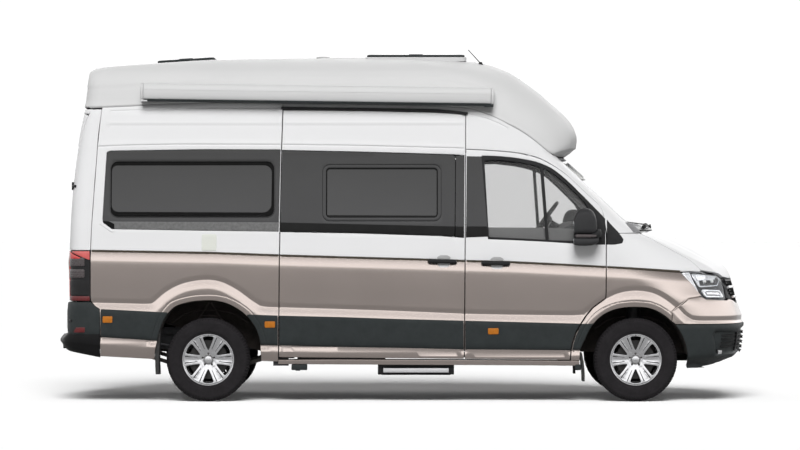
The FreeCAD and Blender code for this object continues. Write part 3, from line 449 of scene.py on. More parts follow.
def ramp(x, table):
    """Piecewise smooth profile through (x, y) points."""
    xs = [t[0] for t in table]
    ys = [t[1] for t in table]
    return pchip(xs, ys)(x)


# ------------------------------------------------------------ mesh makers
PIECES = []


def link(name, verts, faces, materials, face_mat=None, body="van_body", replaces=(), slot=None,
         smooth=True, angle=38.0):
    """A mesh object, in metres, riding on a body."""
    me = bpy.data.meshes.new(name)
    me.from_pydata([tuple(v) for v in verts], [], [tuple(f) for f in faces])
    for m in materials if isinstance(materials, (list, tuple)) else [materials]:
        me.materials.append(m)
    if face_mat is not None:
        me.polygons.foreach_set("material_index", np.asarray(face_mat, np.int32))
    me.validate()
    if smooth:
        me.shade_smooth()
        me.set_sharp_from_angle(angle=math.radians(angle))
    me.update()
    ob = bpy.data.objects.new(name, me)
    scene.collection.objects.link(ob)
    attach(ob, body)
    for node in replaces:
        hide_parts(node)
    PIECES.append(ob)
    return ob


def mirror_pts(V):
    V = np.array(V, float)
    V[:, 1] *= -1
    return V


def flipped(F):
    return [tuple(reversed(f)) for f in F]


def panel_mesh(surf, outline, holes=(), relief=None, step=26.0, roll=3.0, thick=24.0, curves=(), lines=(),
               edge=17.0, lift=0.0, flip=1, dense=(), back_relief=0.35):
    """Closed plate over a surface: rolled edges, relief, a back face. Returns vertices (m), faces,
    the 2-D centre of each front and back face (NaN for the rim) and the number of front faces."""
    rings = [ccw(outline)] + [ccw(h)[::-1] for h in holes]
    loops = []
    for ring in rings:
        ring = clean(resample(ring, edge), 0.5)
        loops.append([ring] + ([inset(ring, roll * k) for k in (0.134, 0.5, 1.0)] if roll > 0 else []))
    pts, segs = [], []
    for group in loops:
        for ring in group:
            s = len(pts)
            pts += list(ring)
            segs += [(s + i, s + (i + 1) % len(ring)) for i in range(len(ring))]
    raw = [np.asarray(r) for r in rings]
    lo, hi = raw[0].min(0), raw[0].max(0)

    def keep(px, py, margin):
        ok = within(px, py, raw[0])
        for h in raw[1:]:
            ok &= ~within(px, py, h)
        px, py = px[ok], py[ok]
        if len(px) and margin > 0:
            d = np.full(px.shape, 1e9)
            for r in raw:
                d = np.minimum(d, distance(px, py, r)[0])
            px, py = px[d > margin], py[d > margin]
        return px, py

    guard = []
    for line, offs, space in curves:
        base = np.asarray(resample(line, space, closed=False))
        guard.append((base, min(offs), max(offs)))
        for k, o in enumerate(offs):
            L = offset_line(base, -o)
            px, py = keep(L[:, 0], L[:, 1], roll + 3.0)
            pts += list(zip(px.tolist(), py.tolist()))
    for line in lines:
        L = resample(line, edge, closed=False)
        s = len(pts)
        pts += L
        segs += [(s + i, s + i + 1) for i in range(len(L) - 1)]
    gx = np.arange(lo[0] - step / 3, hi[0] + step, step)
    gy = np.arange(lo[1] - step / 3, hi[1] + step, step)
    X, Y = np.meshgrid(gx, gy)
    X, Y = X.ravel(), Y.ravel()
    extra = []
    for (x0, y0, x1, y1, st) in dense:
        mx, my = np.meshgrid(np.arange(x0, x1, st), np.arange(y0, y1, st))
        extra.append((mx.ravel(), my.ravel()))
        out = ~((X > x0 - st) & (X < x1 + st) & (Y > y0 - st) & (Y < y1 + st))
        X, Y = X[out], Y[out]
    X, Y = keep(X, Y, roll + min(step, 16) * 0.5)
    if len(X):
        ok = np.ones(X.shape, bool)
        for base, a, b in guard:
            d, s = distance(X, Y, base, closed=False)
            sd = -d * s
            ok &= ~((sd > a - step * 0.4) & (sd < b + step * 0.4))
        X, Y = X[ok], Y[ok]
    pts += list(zip(X.tolist(), Y.tolist()))
    for mx, my in extra:
        mx, my = keep(mx, my, roll + 3)
        pts += list(zip(mx.tolist(), my.tolist()))
    res = delaunay_2d_cdt([Vector(p) for p in pts], segs, [], 0, 0.05, False)
    P = np.array([tuple(v) for v in res[0]], float)
    T = np.array([t for t in res[2] if len(t) == 3], int)
    c = P[T].mean(1)
    ok = within(c[:, 0], c[:, 1], np.asarray(loops[0][0]))
    for g in loops[1:]:
        ok &= ~within(c[:, 0], c[:, 1], np.asarray(g[0]))
    T, c = T[ok], c[ok]
    ar = np.cross(P[T[:, 1]] - P[T[:, 0]], P[T[:, 2]] - P[T[:, 0]])
    T[ar < 0] = T[ar < 0][:, ::-1]
    T, c = T[np.abs(ar) > 1e-4], c[np.abs(ar) > 1e-4]
    used = np.unique(T)
    remap = -np.ones(len(P), int)
    remap[used] = np.arange(len(used))
    P, T = P[used], remap[T]
    px, py = P[:, 0], P[:, 1]
    depth = np.zeros(len(P))
    if roll > 0:
        d = np.full(px.shape, 1e9)
        for g in loops:
            d = np.minimum(d, distance(px, py, g[0])[0])
        m = d < roll
        depth[m] = roll - np.sqrt(np.maximum(roll**2 - (roll - d[m]) ** 2, 0))
    rel = relief(px, py) if relief else np.zeros(len(P))
    outer = place(surf, px, py, rel + lift - depth, flip)
    inner = place(surf, px, py, rel * back_relief + lift - thick, flip)
    n = len(P)
    V = np.vstack([outer, inner]) * MM
    front = [tuple(t) for t in T]
    back = [(t[2] + n, t[1] + n, t[0] + n) for t in T]
    edges = {}
    for t in T:
        for a, b in ((t[0], t[1]), (t[1], t[2]), (t[2], t[0])):
            edges[(a, b)] = True
    rim = [(b, a, a + n, b + n) for (a, b) in edges if (b, a) not in edges]
    if flip * getattr(surf, "flip", 1) < 0:
        front, back, rim = flipped(front), flipped(back), flipped(rim)
    F = front + back + rim
    cen = np.full((len(F), 2), np.nan)
    cen[:len(T)] = c
    cen[len(T):2 * len(T)] = c
    return V, F, cen, len(T)


def panel(name, surf, outline, materials, pick=None, body="van_body", replaces=(), slot=None, mirror=False,
          both=None, inner=None, **kw):
    """A plate, or a pair of plates: both = (right name, left name, right body, left body)."""
    V, F, cen, nf = panel_mesh(surf, outline, **kw)
    mats = materials if isinstance(materials, (list, tuple)) else [materials]
    fm = np.zeros(len(F), int)
    if pick is not None:
        good = ~np.isnan(cen[:, 0])
        fm[good] = pick(cen[good, 0], cen[good, 1])
        # the rim takes the finish of the nearest front face
        owner = {}
        for i in range(nf):
            for v in F[i]:
                owner[v] = fm[i]
        for i in range(2 * nf, len(F)):
            fm[i] = next((owner[v] for v in F[i] if v in owner), 0)
    if inner is not None:
        mats = list(mats) + [inner]
        fm[nf:2 * nf] = len(mats) - 1
    if both is None:
        if mirror:
            V, F = mirror_pts(V), flipped(F)
        return link(name, V, F, mats, fm, body, replaces, slot)
    out = []
    for k, (nm, bd) in enumerate(((both[0], both[2]), (both[1], both[3]))):
        rep = replaces[k] if replaces else ()
        vv, ff = (V, F) if k == 0 else (mirror_pts(V), flipped(F))
        out.append(link(nm, vv, ff, mats, fm, bd, rep, slot))
    return out


class Build:
    """Gathers several closed bits into one mesh."""

    def __init__(self):
        self.V, self.F, self.M = [], [], []

    def add(self, V, F, m=0):
        s = sum(len(v) for v in self.V)
        self.V.append(np.asarray(V, float).reshape(-1, 3))
        self.F += [tuple(i + s for i in f) for f in F]
        self.M += list(m) if hasattr(m, "__len__") else [m] * len(F)
        return self

    def box(self, x0, x1, y0, y1, z0, z1, m=0, r=3.0, seg=2):
        """A block with rounded edges, in millimetres."""
        V, F = soft_box(x0, x1, y0, y1, z0, z1, r, seg)
        return self.add(V, F, m)

    def done(self, name, mats, body="van_body", replaces=(), slot=None, both=None, angle=38.0, mirror=False):
        V = np.vstack(self.V) * MM
        if both is None:
            if mirror:
                return link(name, mirror_pts(V), flipped(self.F), mats, self.M, body, replaces, slot, angle=angle)
            return link(name, V, self.F, mats, self.M, body, replaces, slot, angle=angle)
        out = []
        for k, (nm, bd) in enumerate(((both[0], both[2]), (both[1], both[3]))):
            rep = replaces[k] if replaces else ()
            vv, ff = (V, self.F) if k == 0 else (mirror_pts(V), flipped(self.F))
            out.append(link(nm, vv, ff, mats, self.M, bd, rep, slot, angle=angle))
        return out


_soft = {}


def soft_box(x0, x1, y0, y1, z0, z1, r=3.0, seg=2):
    r = max(0.2, min(r, (x1 - x0) / 2.05, (y1 - y0) / 2.05, (z1 - z0) / 2.05))
    bm = bmesh.new()
    bmesh.ops.create_cube(bm, size=1.0)
    for v in bm.verts:
        v.co = Vector(((x0 + x1) / 2 + v.co.x * (x1 - x0), (y0 + y1) / 2 + v.co.y * (y1 - y0),
                       (z0 + z1) / 2 + v.co.z * (z1 - z0)))
    bmesh.ops.bevel(bm, geom=bm.edges[:], offset=r, segments=seg, profile=0.5, affect="EDGES")
    bm.verts.index_update()
    V = [tuple(v.co) for v in bm.verts]
    F = [tuple(v.index for v in f.verts) for f in bm.faces]
    bm.free()
    return V, F


def lathe(profile, n=48, axis="y", centre=(0, 0, 0), closed=True):
    """Rings round an axis from (radius, along) points. A closed profile makes a solid ring."""
    V, F = [], []
    k = len(profile)
    for i in range(n):
        a = 2 * math.pi * i / n
        for r, h in profile:
            c, s = r * math.cos(a), r * math.sin(a)
            p = {"y": (c, h, s), "x": (h, c, s), "z": (c, s, h)}[axis]
            V.append((p[0] + centre[0], p[1] + centre[1], p[2] + centre[2]))
    last = k if closed else k - 1
    for i in range(n):
        for j in range(last):
            a, b = i * k + j, i * k + (j + 1) % k
            c, d = ((i + 1) % n) * k + (j + 1) % k, ((i + 1) % n) * k + j
            F.append((a, b, c, d))
    if closed:
        V, F = outward(V, F)
    return V, F


def outward(V, F):
    """Faces turned so that a closed mesh has positive volume."""
    P = np.asarray(V, float)
    vol = 0.0
    for f in F:
        a = P[f[0]]
        for i in range(1, len(f) - 1):
            vol += np.dot(a, np.cross(P[f[i]], P[f[i + 1]]))
    return V, (F if vol > 0 else flipped(F))


def tube(points, radius, seg=10, closed=False, squash=1.0):
    """A round bar along points; radius may be a list."""
    P = np.asarray(points, float)
    n = len(P)
    R = np.broadcast_to(np.asarray(radius, float), (n,))
    if closed:
        T = np.roll(P, -1, 0) - np.roll(P, 1, 0)
    else:
        T = np.gradient(P, axis=0)
    T /= np.maximum(np.linalg.norm(T, axis=1, keepdims=True), 1e-9)
    up = np.array([0.0, 0.0, 1.0])
    if abs(T[0] @ up) > 0.9:
        up = np.array([0.0, 1.0, 0.0])
    V, F = [], []
    u = np.cross(T[0], up)
    u /= np.linalg.norm(u)
    for i in range(n):
        u = u - T[i] * (u @ T[i])
        u /= np.linalg.norm(u)
        w = np.cross(T[i], u)
        for j in range(seg):
            a = 2 * math.pi * j / seg
            V.append(tuple(P[i] + R[i] * (u * math.cos(a) + w * math.sin(a) * squash)))
    m = n if closed else n - 1
    for i in range(m):
        for j in range(seg):
            a, b = i * seg + j, i * seg + (j + 1) % seg
            c, d = ((i + 1) % n) * seg + (j + 1) % seg, ((i + 1) % n) * seg + j
            F.append((a, b, c, d))
    if not closed:
        F.append(tuple(range(seg - 1, -1, -1)))
        F.append(tuple((n - 1) * seg + j for j in range(seg)))
    return outward(V, F)


def prism(poly, a, b, axis="y", r=0.0):
    """A flat outline pushed from a to b along an axis, in millimetres; r rolls both rims."""
    poly = ccw(poly)
    rings = [(poly, a), (poly, b)]
    if r > 0:
        s = 1 if b > a else -1
        small = inset(poly, r * 0.9)
        mid = inset(poly, r * 0.27)
        rings = [(small, a), (mid, a + s * r * 0.27), (poly, a + s * r * 0.9), (poly, b - s * r * 0.9),
                 (mid, b - s * r * 0.27), (small, b)]
    V, F, n = [], [], len(poly)
    for ring, h in rings:
        for p, q in ring:
            V.append({"y": (p, h, q), "x": (h, p, q), "z": (p, q, h)}[axis])
    for k in range(len(rings) - 1):
        for i in range(n):
            j = (i + 1) % n
            F.append((k * n + i, k * n + j, (k + 1) * n + j, (k + 1) * n + i))
    top = (len(rings) - 1) * n
    cap = delaunay_2d_cdt([Vector(p) for p in rings[0][0]], [(i, (i + 1) % n) for i in range(n)], [], 1, 1e-5, True)
    ids = [o[0] if o else 0 for o in cap[3]]
    tri = [tuple(ids[i] for i in t) for t in cap[2]]
    F += [t[::-1] for t in tri] + [tuple(i + top for i in t) for t in tri]
    return outward(V, F)


def strip(surf, line, half, high, lift=0.0, flip=1, step=14.0, closed=False, sink=6.0):
    """A raised bead of width 2*half along a line on a surface."""
    L = np.asarray(resample(line, step, closed=closed))
    ts = [(-1.0, -sink), (-1.0, 0.35 * high), (-0.7, 0.85 * high), (0.0, high), (0.7, 0.85 * high),
          (1.0, 0.35 * high), (1.0, -sink)]
    if closed:
        T = np.roll(L, -1, 0) - np.roll(L, 1, 0)
    else:
        T = np.gradient(L, axis=0)
    T /= np.maximum(np.linalg.norm(T, axis=1, keepdims=True), 1e-9)
    N = np.stack([-T[:, 1], T[:, 0]], 1)
    n, k = len(L), len(ts)
    V = np.zeros((n, k, 3))
    for j, (a, h) in enumerate(ts):
        Q = L + N * half * a
        V[:, j] = place(surf, Q[:, 0], Q[:, 1], np.full(n, h + lift), flip)
    F = []
    m = n if closed else n - 1
    for i in range(m):
        for j in range(k):
            a, b = i * k + j, i * k + (j + 1) % k
            c, d = ((i + 1) % n) * k + (j + 1) % k, ((i + 1) % n) * k + j
            F.append((a, b, c, d))
    if not closed:
        F.append(tuple(range(k - 1, -1, -1)))
        F.append(tuple((n - 1) * k + j for j in range(k)))
    return outward(V.reshape(-1, 3), F)


def loft(rings, caps=True):
    """Closed rings with the same number of points joined in turn."""
    n = len(rings[0])
    V = [tuple(p) for r in rings for p in r]
    F = []
    for k in range(len(rings) - 1):
        for i in range(n):
            j = (i + 1) % n
            F.append((k * n + i, k * n + j, (k + 1) * n + j, (k + 1) * n + i))
    if caps:
        F.append(tuple(range(n - 1, -1, -1)))
        F.append(tuple((len(rings) - 1) * n + i for i in range(n)))
    return outward(V, F)


# ------------------------------------------------------------ materials
def material(name, base, rough=0.5, metal=0.0, coat=0.0, coat_rough=0.05, var=0.04, scale=6.0, rvar=0.08,
             bump=0.15, bscale=180.0, bdist=0.0006, spec=0.5, fine=None, dark=None, alpha=None, trans=0.0, ior=1.45,
             sheen=0.0, emit=None, stripes=None, height_shade=None):
    """Procedural finish: broad colour variation, roughness variation and a fine bump."""
    m = bpy.data.materials.new(name)
    m.use_nodes = True
    nt = m.node_tree
    b = nt.nodes["Principled BSDF"]
    b.inputs["Metallic"].default_value = metal
    b.inputs["Coat Weight"].default_value = coat
    b.inputs["Coat Roughness"].default_value = coat_rough
    b.inputs["Specular IOR Level"].default_value = spec
    b.inputs["IOR"].default_value = ior
    b.inputs["Transmission Weight"].default_value = trans
    b.inputs["Sheen Weight"].default_value = sheen
    if emit:
        b.inputs["Emission Color"].default_value = (*emit[0], 1)
        b.inputs["Emission Strength"].default_value = emit[1]
    tc = nt.nodes.new("ShaderNodeTexCoord")

    def noise(sc, detail=3.0, rough_n=0.55):
        n = nt.nodes.new("ShaderNodeTexNoise")
        n.inputs["Scale"].default_value = sc
        n.inputs["Detail"].default_value = detail
        n.inputs["Roughness"].default_value = rough_n
        nt.links.new(tc.outputs["Object"], n.inputs["Vector"])
        return n

    n1 = noise(scale)
    ramp_c = nt.nodes.new("ShaderNodeValToRGB")
    lo = dark if dark else tuple(max(0, c * (1 - var)) for c in base)
    hi = tuple(min(1, c * (1 + var)) for c in base) if not dark else base
    ramp_c.color_ramp.elements[0].position = 0.32
    ramp_c.color_ramp.elements[0].color = (*lo, 1)
    ramp_c.color_ramp.elements[1].position = 0.68
    ramp_c.color_ramp.elements[1].color = (*hi, 1)
    nt.links.new(n1.outputs["Fac"], ramp_c.inputs["Fac"])
    colour = ramp_c.outputs["Color"]
    if fine:  # (scale, low share, colour) fine specks
        n4 = nt.nodes.new("ShaderNodeTexVoronoi")
        n4.inputs["Scale"].default_value = fine[0]
        nt.links.new(tc.outputs["Object"], n4.inputs["Vector"])
        mr = nt.nodes.new("ShaderNodeMapRange")
        mr.inputs["From Min"].default_value = 0.0
        mr.inputs["From Max"].default_value = 0.6
        mr.inputs["To Min"].default_value = fine[1]
        mr.inputs["To Max"].default_value = 0.0
        nt.links.new(n4.outputs["Distance"], mr.inputs["Value"])
        mx = nt.nodes.new("ShaderNodeMix")
        mx.data_type = "RGBA"
        mx.inputs["B"].default_value = (*fine[2], 1)
        nt.links.new(mr.outputs["Result"], mx.inputs["Factor"])
        nt.links.new(colour, mx.inputs["A"])
        colour = mx.outputs["Result"]
    if height_shade:  # (first z, second z, colour, share): painted shade, the colour blended in fully at the first z and fading out by the second
        sep = nt.nodes.new("ShaderNodeSeparateXYZ")
        nt.links.new(tc.outputs["Object"], sep.inputs["Vector"])
        mr = nt.nodes.new("ShaderNodeMapRange")
        mr.inputs["From Min"].default_value = height_shade[0]
        mr.inputs["From Max"].default_value = height_shade[1]
        mr.inputs["To Min"].default_value = height_shade[3]
        mr.inputs["To Max"].default_value = 0.0
        nt.links.new(sep.outputs["Z"], mr.inputs["Value"])
        mx = nt.nodes.new("ShaderNodeMix")
        mx.data_type = "RGBA"
        mx.inputs["B"].default_value = (*height_shade[2], 1)
        nt.links.new(mr.outputs["Result"], mx.inputs["Factor"])
        nt.links.new(colour, mx.inputs["A"])
        colour = mx.outputs["Result"]
    nt.links.new(colour, b.inputs["Base Color"])
    n2 = noise(scale * 3.1, 4.0)
    mr2 = nt.nodes.new("ShaderNodeMapRange")
    mr2.inputs["From Min"].default_value = 0.3
    mr2.inputs["From Max"].default_value = 0.7
    mr2.inputs["To Min"].default_value = max(0.0, rough - rvar)
    mr2.inputs["To Max"].default_value = min(1.0, rough + rvar)
    nt.links.new(n2.outputs["Fac"], mr2.inputs["Value"])
    nt.links.new(mr2.outputs["Result"], b.inputs["Roughness"])
    if bump > 0:
        n3 = noise(bscale, 2.0, 0.5)
        h = n3.outputs["Fac"]
        if stripes:  # (axis, per metre) woven or ribbed height
            wv = nt.nodes.new("ShaderNodeTexWave")
            wv.wave_type = "BANDS"
            wv.bands_direction = stripes[0]
            wv.inputs["Scale"].default_value = stripes[1]
            nt.links.new(tc.outputs["Object"], wv.inputs["Vector"])
            ad = nt.nodes.new("ShaderNodeMath")
            ad.operation = "ADD"
            nt.links.new(h, ad.inputs[0])
            nt.links.new(wv.outputs["Fac"], ad.inputs[1])
            h = ad.outputs["Value"]
        bp = nt.nodes.new("ShaderNodeBump")
        bp.inputs["Strength"].default_value = bump
        bp.inputs["Distance"].default_value = bdist
        nt.links.new(h, bp.inputs["Height"])
        nt.links.new(bp.outputs["Normal"], b.inputs["Normal"])
    if alpha is not None:
        b.inputs["Alpha"].default_value = alpha
    return m


WHITE = material("white_paint_finish", (0.575, 0.575, 0.58), 0.3, spec=0.2, coat=0.06, var=0.008, scale=1.2, rvar=0.03,
                 bump=0.04, bscale=260)
GELCOAT = material("gelcoat_finish", (0.475, 0.475, 0.475), 0.5, coat=0.0, var=0.012, scale=1.5, rvar=0.04,
                   bump=0.06, bscale=140)
CHAMP = material("champagne_finish", (0.350, 0.302, 0.279), 0.24, metal=0.9, coat=0.5, var=0.012, scale=0.8,
                 rvar=0.02, bump=0.01, bscale=500, bdist=0.0002)
CLAD = material("cladding_finish", (0.015, 0.018, 0.0185), 0.6, var=0.10, scale=9, rvar=0.08, bump=0.35, bscale=420,
                bdist=0.0004, spec=0.3)
BLACK = material("black_plastic_finish", (0.010, 0.010, 0.0105), 0.55, var=0.15, scale=12, bump=0.35, bscale=380,
                 bdist=0.0004, spec=0.25)
GLOSSB = material("gloss_black_finish", (0.008, 0.008, 0.009), 0.12, coat=0.25, var=0.1, scale=8, rvar=0.04, bump=0.03)
# painted shade: the band's colour darkens towards its top
BAND = material("band_glass_finish", (0.026, 0.026, 0.027), 0.24, coat=0.06, var=0.05, scale=2.0, rvar=0.03, bump=0.02,
                bscale=60, spec=0.35, height_shade=(2.16, 1.60, (0.012, 0.012, 0.012), 1.0))
BANDLOW = material("band_low_finish", (0.006, 0.006, 0.006), 0.40, spec=0.15, var=0.1, scale=5, bump=0.1, bscale=300)
RUBBER = material("seal_rubber_finish", (0.020, 0.020, 0.020), 0.7, var=0.15, scale=20, bump=0.3, bscale=300)
STEEL = material("chassis_steel_finish", (0.035, 0.035, 0.038), 0.6, metal=0.4, var=0.35, scale=10, rvar=0.15,
                 bump=0.5, bscale=160, bdist=0.001)
IRON = material("cast_iron_finish", (0.06, 0.055, 0.05), 0.75, metal=0.5, var=0.4, scale=14, bump=0.6, bscale=120,
                bdist=0.0015)
EXH = material("exhaust_finish", (0.22, 0.20, 0.18), 0.45, metal=0.8, var=0.3, scale=8, bump=0.3, bscale=90)
ALLOY = material("alloy_finish", (0.46, 0.46, 0.47), 0.24, metal=0.9, coat=0.2, var=0.02, scale=6, rvar=0.02,
                 bump=0.01, bscale=240)
ANOD = material("anodised_finish", (0.50, 0.50, 0.51), 0.4, metal=0.5, var=0.03, scale=3, rvar=0.05, bump=0.08,
                bscale=200)
CHROME = material("bright_trim_finish", (0.80, 0.80, 0.82), 0.10, metal=0.95, var=0.02, scale=6, rvar=0.03, bump=0.02)
GREYT = material("grey_trim_finish", (0.30, 0.30, 0.30), 0.5, var=0.06, scale=6, bump=0.25, bscale=300)
LIGHTG = material("light_interior_finish", (0.52, 0.52, 0.51), 0.7, var=0.05, scale=5, bump=0.4, bscale=500)
DASH = material("dash_plastic_finish", (0.045, 0.046, 0.048), 0.62, var=0.12, scale=8, bump=0.45, bscale=500,
                bdist=0.0005)
FABRIC = material("seat_fabric_finish", (0.16, 0.155, 0.15), 0.92, var=0.18, scale=30, rvar=0.05, bump=0.8, bscale=900,
                  bdist=0.0008, sheen=0.3, stripes=("X", 220))
TYRE = material("tyre_rubber_finish", (0.012, 0.011, 0.012), 0.8, var=0.15, scale=12, bump=0.4, bscale=260,
                bdist=0.0008, spec=0.2)
LINER = material("arch_liner_finish", (0.022, 0.018, 0.016), 0.9, var=0.3, scale=14, bump=0.7, bscale=240, bdist=0.0015)
RED = material("lamp_red_finish", (0.42, 0.012, 0.012), 0.12, coat=0.8, var=0.1, scale=30, rvar=0.03, bump=0.1,
               bscale=500, fine=(260, 0.3, (0.75, 0.10, 0.08)))
ORANGE = material("marker_orange_finish", (0.33, 0.105, 0.003), 0.35, coat=0.1, var=0.1, scale=40, bump=0.3, bscale=500)
LAMPG = material("lamp_grey_finish", (0.14, 0.13, 0.13), 0.15, coat=0.7, var=0.1, scale=20, bump=0.1, bscale=300)
TAN = material("reflector_finish", (0.40, 0.40, 0.41), 0.12, metal=0.9, var=0.04, scale=30, rvar=0.05, bump=0.05,
               bscale=300)
PLATE = material("plate_blank_finish", (0.74, 0.74, 0.72), 0.45, var=0.02, scale=10, bump=0.1, bscale=200)


def glass(name, tint, rough=0.012, ior=1.02):
    """Clear or tinted glass as a thin sheet."""
    return material(name, tint, rough, coat=0.0, var=0.01, scale=1.0, rvar=0.004, bump=0.002, bscale=4, trans=1.0,
                    ior=ior, spec=0.5)


CLEAR = material("clear_glass_finish", (0.16, 0.16, 0.16), 0.03, coat=0.0, var=0.01, scale=1.0, rvar=0.004,
                 bump=0.002, bscale=4, alpha=0.16, spec=0.3)
SCREENG = material("screen_glass_finish", (0.80, 0.80, 0.80), 0.03, coat=0.0, var=0.01, scale=1.0, rvar=0.004,
                   bump=0.002, bscale=4, alpha=0.03, spec=0.1)
LENS = glass("lamp_lens_finish", (0.95, 0.96, 0.97))
TINT = glass("tinted_glass_finish", (0.20, 0.20, 0.20))


def carry(node, mat):
    """A CAD node that stays gets a finished material."""
    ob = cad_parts[node]
    ob.data.materials.clear()
    ob.data.materials.append(mat)
    for p in ob.data.polygons:
        p.material_index = 0

# painted shade: the dark brown stands in for the shadow in the belt groove
BELT_GROOVE_SHADE = material("belt_groove_shade_finish", (0.040, 0.033, 0.024), 0.5, var=0.1, scale=10, bump=0.2, bscale=300, spec=0.2)
VOID = material("shadow_black_finish", (0.004, 0.004, 0.004), 0.6, var=0.2, scale=10, bump=0.2, bscale=300, spec=0.1)
STEPM = material("step_bumper_finish", (0.005, 0.005, 0.0052), 0.55, var=0.10, scale=9, bump=0.3, bscale=400, spec=0.15)


# ------------------------------------------------------------ lines of the body side (x, z), rear to front
BELT = [(-2760, 1287), (-2638, 1284), (-1583, 1265), (-1031, 1244), (-520, 1229), (160, 1210), (551, 1197),
        (926, 1188), (1351, 1167), (1742, 1146), (2031, 1130), (2371, 1108), (2900, 1078)]
CREASE = spline([(-2760, 886), (-2638, 882), (-2300, 874), (-2150, 870)], 40)[:-1] + spline(
    [(-2136, 872), (-2094, 908), (-2051, 946), (-1966, 1001), (-1881, 1039), (-1796, 1061), (-1690, 1075),
     (-1600, 1074), (-1500, 1050), (-1371, 984), (-1243, 891), (-1184, 852)], 24) + spline(
    [(-1133, 845), (-520, 827), (-10, 810), (585, 786), (1200, 776), (1515, 773)], 60)[:-1] + spline(
    [(1535, 778), (1606, 831), (1691, 891), (1776, 937), (1861, 967), (1989, 984), (2116, 971), (2201, 942),
     (2286, 891), (2371, 823), (2431, 760)], 24) + spline([(2475, 733), (2520, 728), (2700, 727), (2980, 727)], 40)
SEAM = [(-3100, 2498), (-2686, 2506), (-2400, 2515), (-2059, 2532), (-1589, 2544), (-600, 2531), (331, 2515),
        (588, 2497), (673, 2472), (758, 2442), (844, 2404), (929, 2357), (1014, 2310), (1100, 2254), (1185, 2186),
        (1270, 2118), (1296, 2104), (1520, 2156), (1800, 2160)]
SEAM_S = spline(SEAM[:-2], 30)
BAND_TOP = [(-2562, 789), (-1966, 759), (-1286, 742), (-1031, 733), (-520, 721), (-10, 704), (500, 691), (1521, 665),
            (2600, 661), (3000, 661)]
BAND_LOW = [(-2557, 550), (-2136, 521), (-1201, 482), (-520, 465), (-10, 457), (500, 444), (1444, 436), (1600, 436)]
GUTTER = [(-2600, 2171), (-2310, 2182), (-1884, 2190), (-1032, 2187), (-436, 2180), (552, 2155)]
GUTTER2 = [(-2461, 2477), (-2060, 2489), (-1590, 2505), (-1035, 2506)]
GUTTER3 = [(600, 2452), (740, 2408), (830, 2370), (900, 2332)]
FRONT_ARCH = spline([(1516, 300), (1518, 360), (1524, 440), (1563, 530), (1606, 620), (1660, 695), (1734, 752),
                     (1819, 788), (1920, 805), (1989, 808), (2116, 796), (2218, 750), (2303, 682), (2371, 601),
                     (2422, 482), (2436, 400), (2440, 300)], 22)
REAR_ARCH = spline([(-2102, 300), (-2099, 360), (-2092, 440), (-2065, 560), (-2034, 660), (-1985, 750),
                    (-1924, 810), (-1796, 850), (-1690, 862), (-1583, 861), (-1498, 844), (-1413, 806),
                    (-1328, 746), (-1269, 678), (-1225, 600), (-1201, 516), (-1194, 420), (-1192, 300)], 22)


def zline(table):
    xs = [t[0] for t in table]
    zs = [t[1] for t in table]
    return lambda x: np.interp(x, xs, zs)


belt_z, seam_z, gut_z = zline(BELT), zline(SEAM_S), zline(GUTTER)
gut2_z, gut3_z = zline(GUTTER2), zline(GUTTER3)
_crease = np.asarray(CREASE)
SHOULDER = [(-600, 0), (-60, 0), (-11, 0), (-4, -6.5), (2, -9), (8, -6), (40, 5), (82, 14.5), (90, 15.0), (200, 10), (480, -8),
            (800, -12)]
LEDGE = [(-400, 0), (-30, 0), (-4, 0), (3, -1.2), (34, -15.5), (39, -16), (45, -14), (112, 9), (119, 10), (170, 9),
         (600, 8)]


def relief(x, z):
    """How far the skin stands out from the plain body side."""
    tb = belt_z(x) - z
    r = ramp(tb, SHOULDER) * np.clip((2700 - x) / 150, 0, 1)
    near = z < 1140
    c = np.zeros(x.shape)
    if near.any():
        d, s = distance(x[near], z[near], _crease, closed=False)
        c[near] = ramp(-d * s, LEDGE)
    r = r + c * np.where(x > 2480, 0.8, 1.0)
    for arch in (FRONT_ARCH, REAR_ARCH):
        A = np.asarray(arch)
        m = (x > A[:, 0].min() - 80) & (x < A[:, 0].max() + 80) & (z < 940)
        if m.any():
            d, s = distance(x[m], z[m], A, closed=False)
            r[m] -= 3.2 * np.exp(-((d - 48) / 4.0) ** 2)
            r[m] -= 4.0 * np.clip(1 - d / 40, 0, 1) ** 2
    low = z < 600
    if low.any():
        t = np.interp(x[low], [q[0] for q in BAND_LOW], [q[1] for q in BAND_LOW]) - z[low]
        k = 1.0 if True else 0
        r[low] += k * ramp(t, SILL_PROFILE)
    up = z > 1900
    if up.any():
        xx, zz = x[up], z[up]
        g = np.zeros(xx.shape)
        m = (xx > -2610) & (xx < 552)
        g -= np.where(m, 4.5 * np.exp(-((zz - gut_z(xx)) / 4.2) ** 2), 0)
        g += np.where(m, 3.0 * np.exp(-((zz - gut_z(xx) - 14) / 9.0) ** 2), 0)
        m = (xx > -2480) & (xx < -1035)
        g -= np.where(m, 4.0 * np.exp(-((zz - gut2_z(xx)) / 4.2) ** 2), 0)
        m = (xx > 598) & (xx < 905)
        g -= np.where(m, 4.0 * np.exp(-((zz - gut3_z(xx)) / 4.2) ** 2), 0)
        m = (xx > -2500) & (xx < 552)
        g += np.where(m, 3.2 * np.exp(-((zz - 2374) / 11.0) ** 2), 0)
        g -= np.where(m, 2.0 * np.exp(-((zz - 2352) / 9.0) ** 2), 0)
        r[up] += g
    return r


SILL_PROFILE = [(-400, 0), (-20, 0), (0, -9), (5, -12), (20, -6), (54, 8), (60, 8.8), (68, 7), (110, -6), (140, -14),
                (200, -22), (400, -24)]
BELT_OFF = (-18, -11, -7.5, -4, -1, 2, 5, 8, 16, 30, 50, 72, 84, 90, 110)
CREASE_OFF = (-22, -8, -3, 0, 4, 12, 22, 31, 36, 40, 46, 58, 76, 96, 110, 118, 136)
GUT_OFF = (-24, -14, -8, -4, 0, 4, 8, 14)
side = Side()


def arch_lines(which):
    A = which
    return [(A, (-60, -54, -50.5, -47, -43, -36, -24, -12), 15.0)]


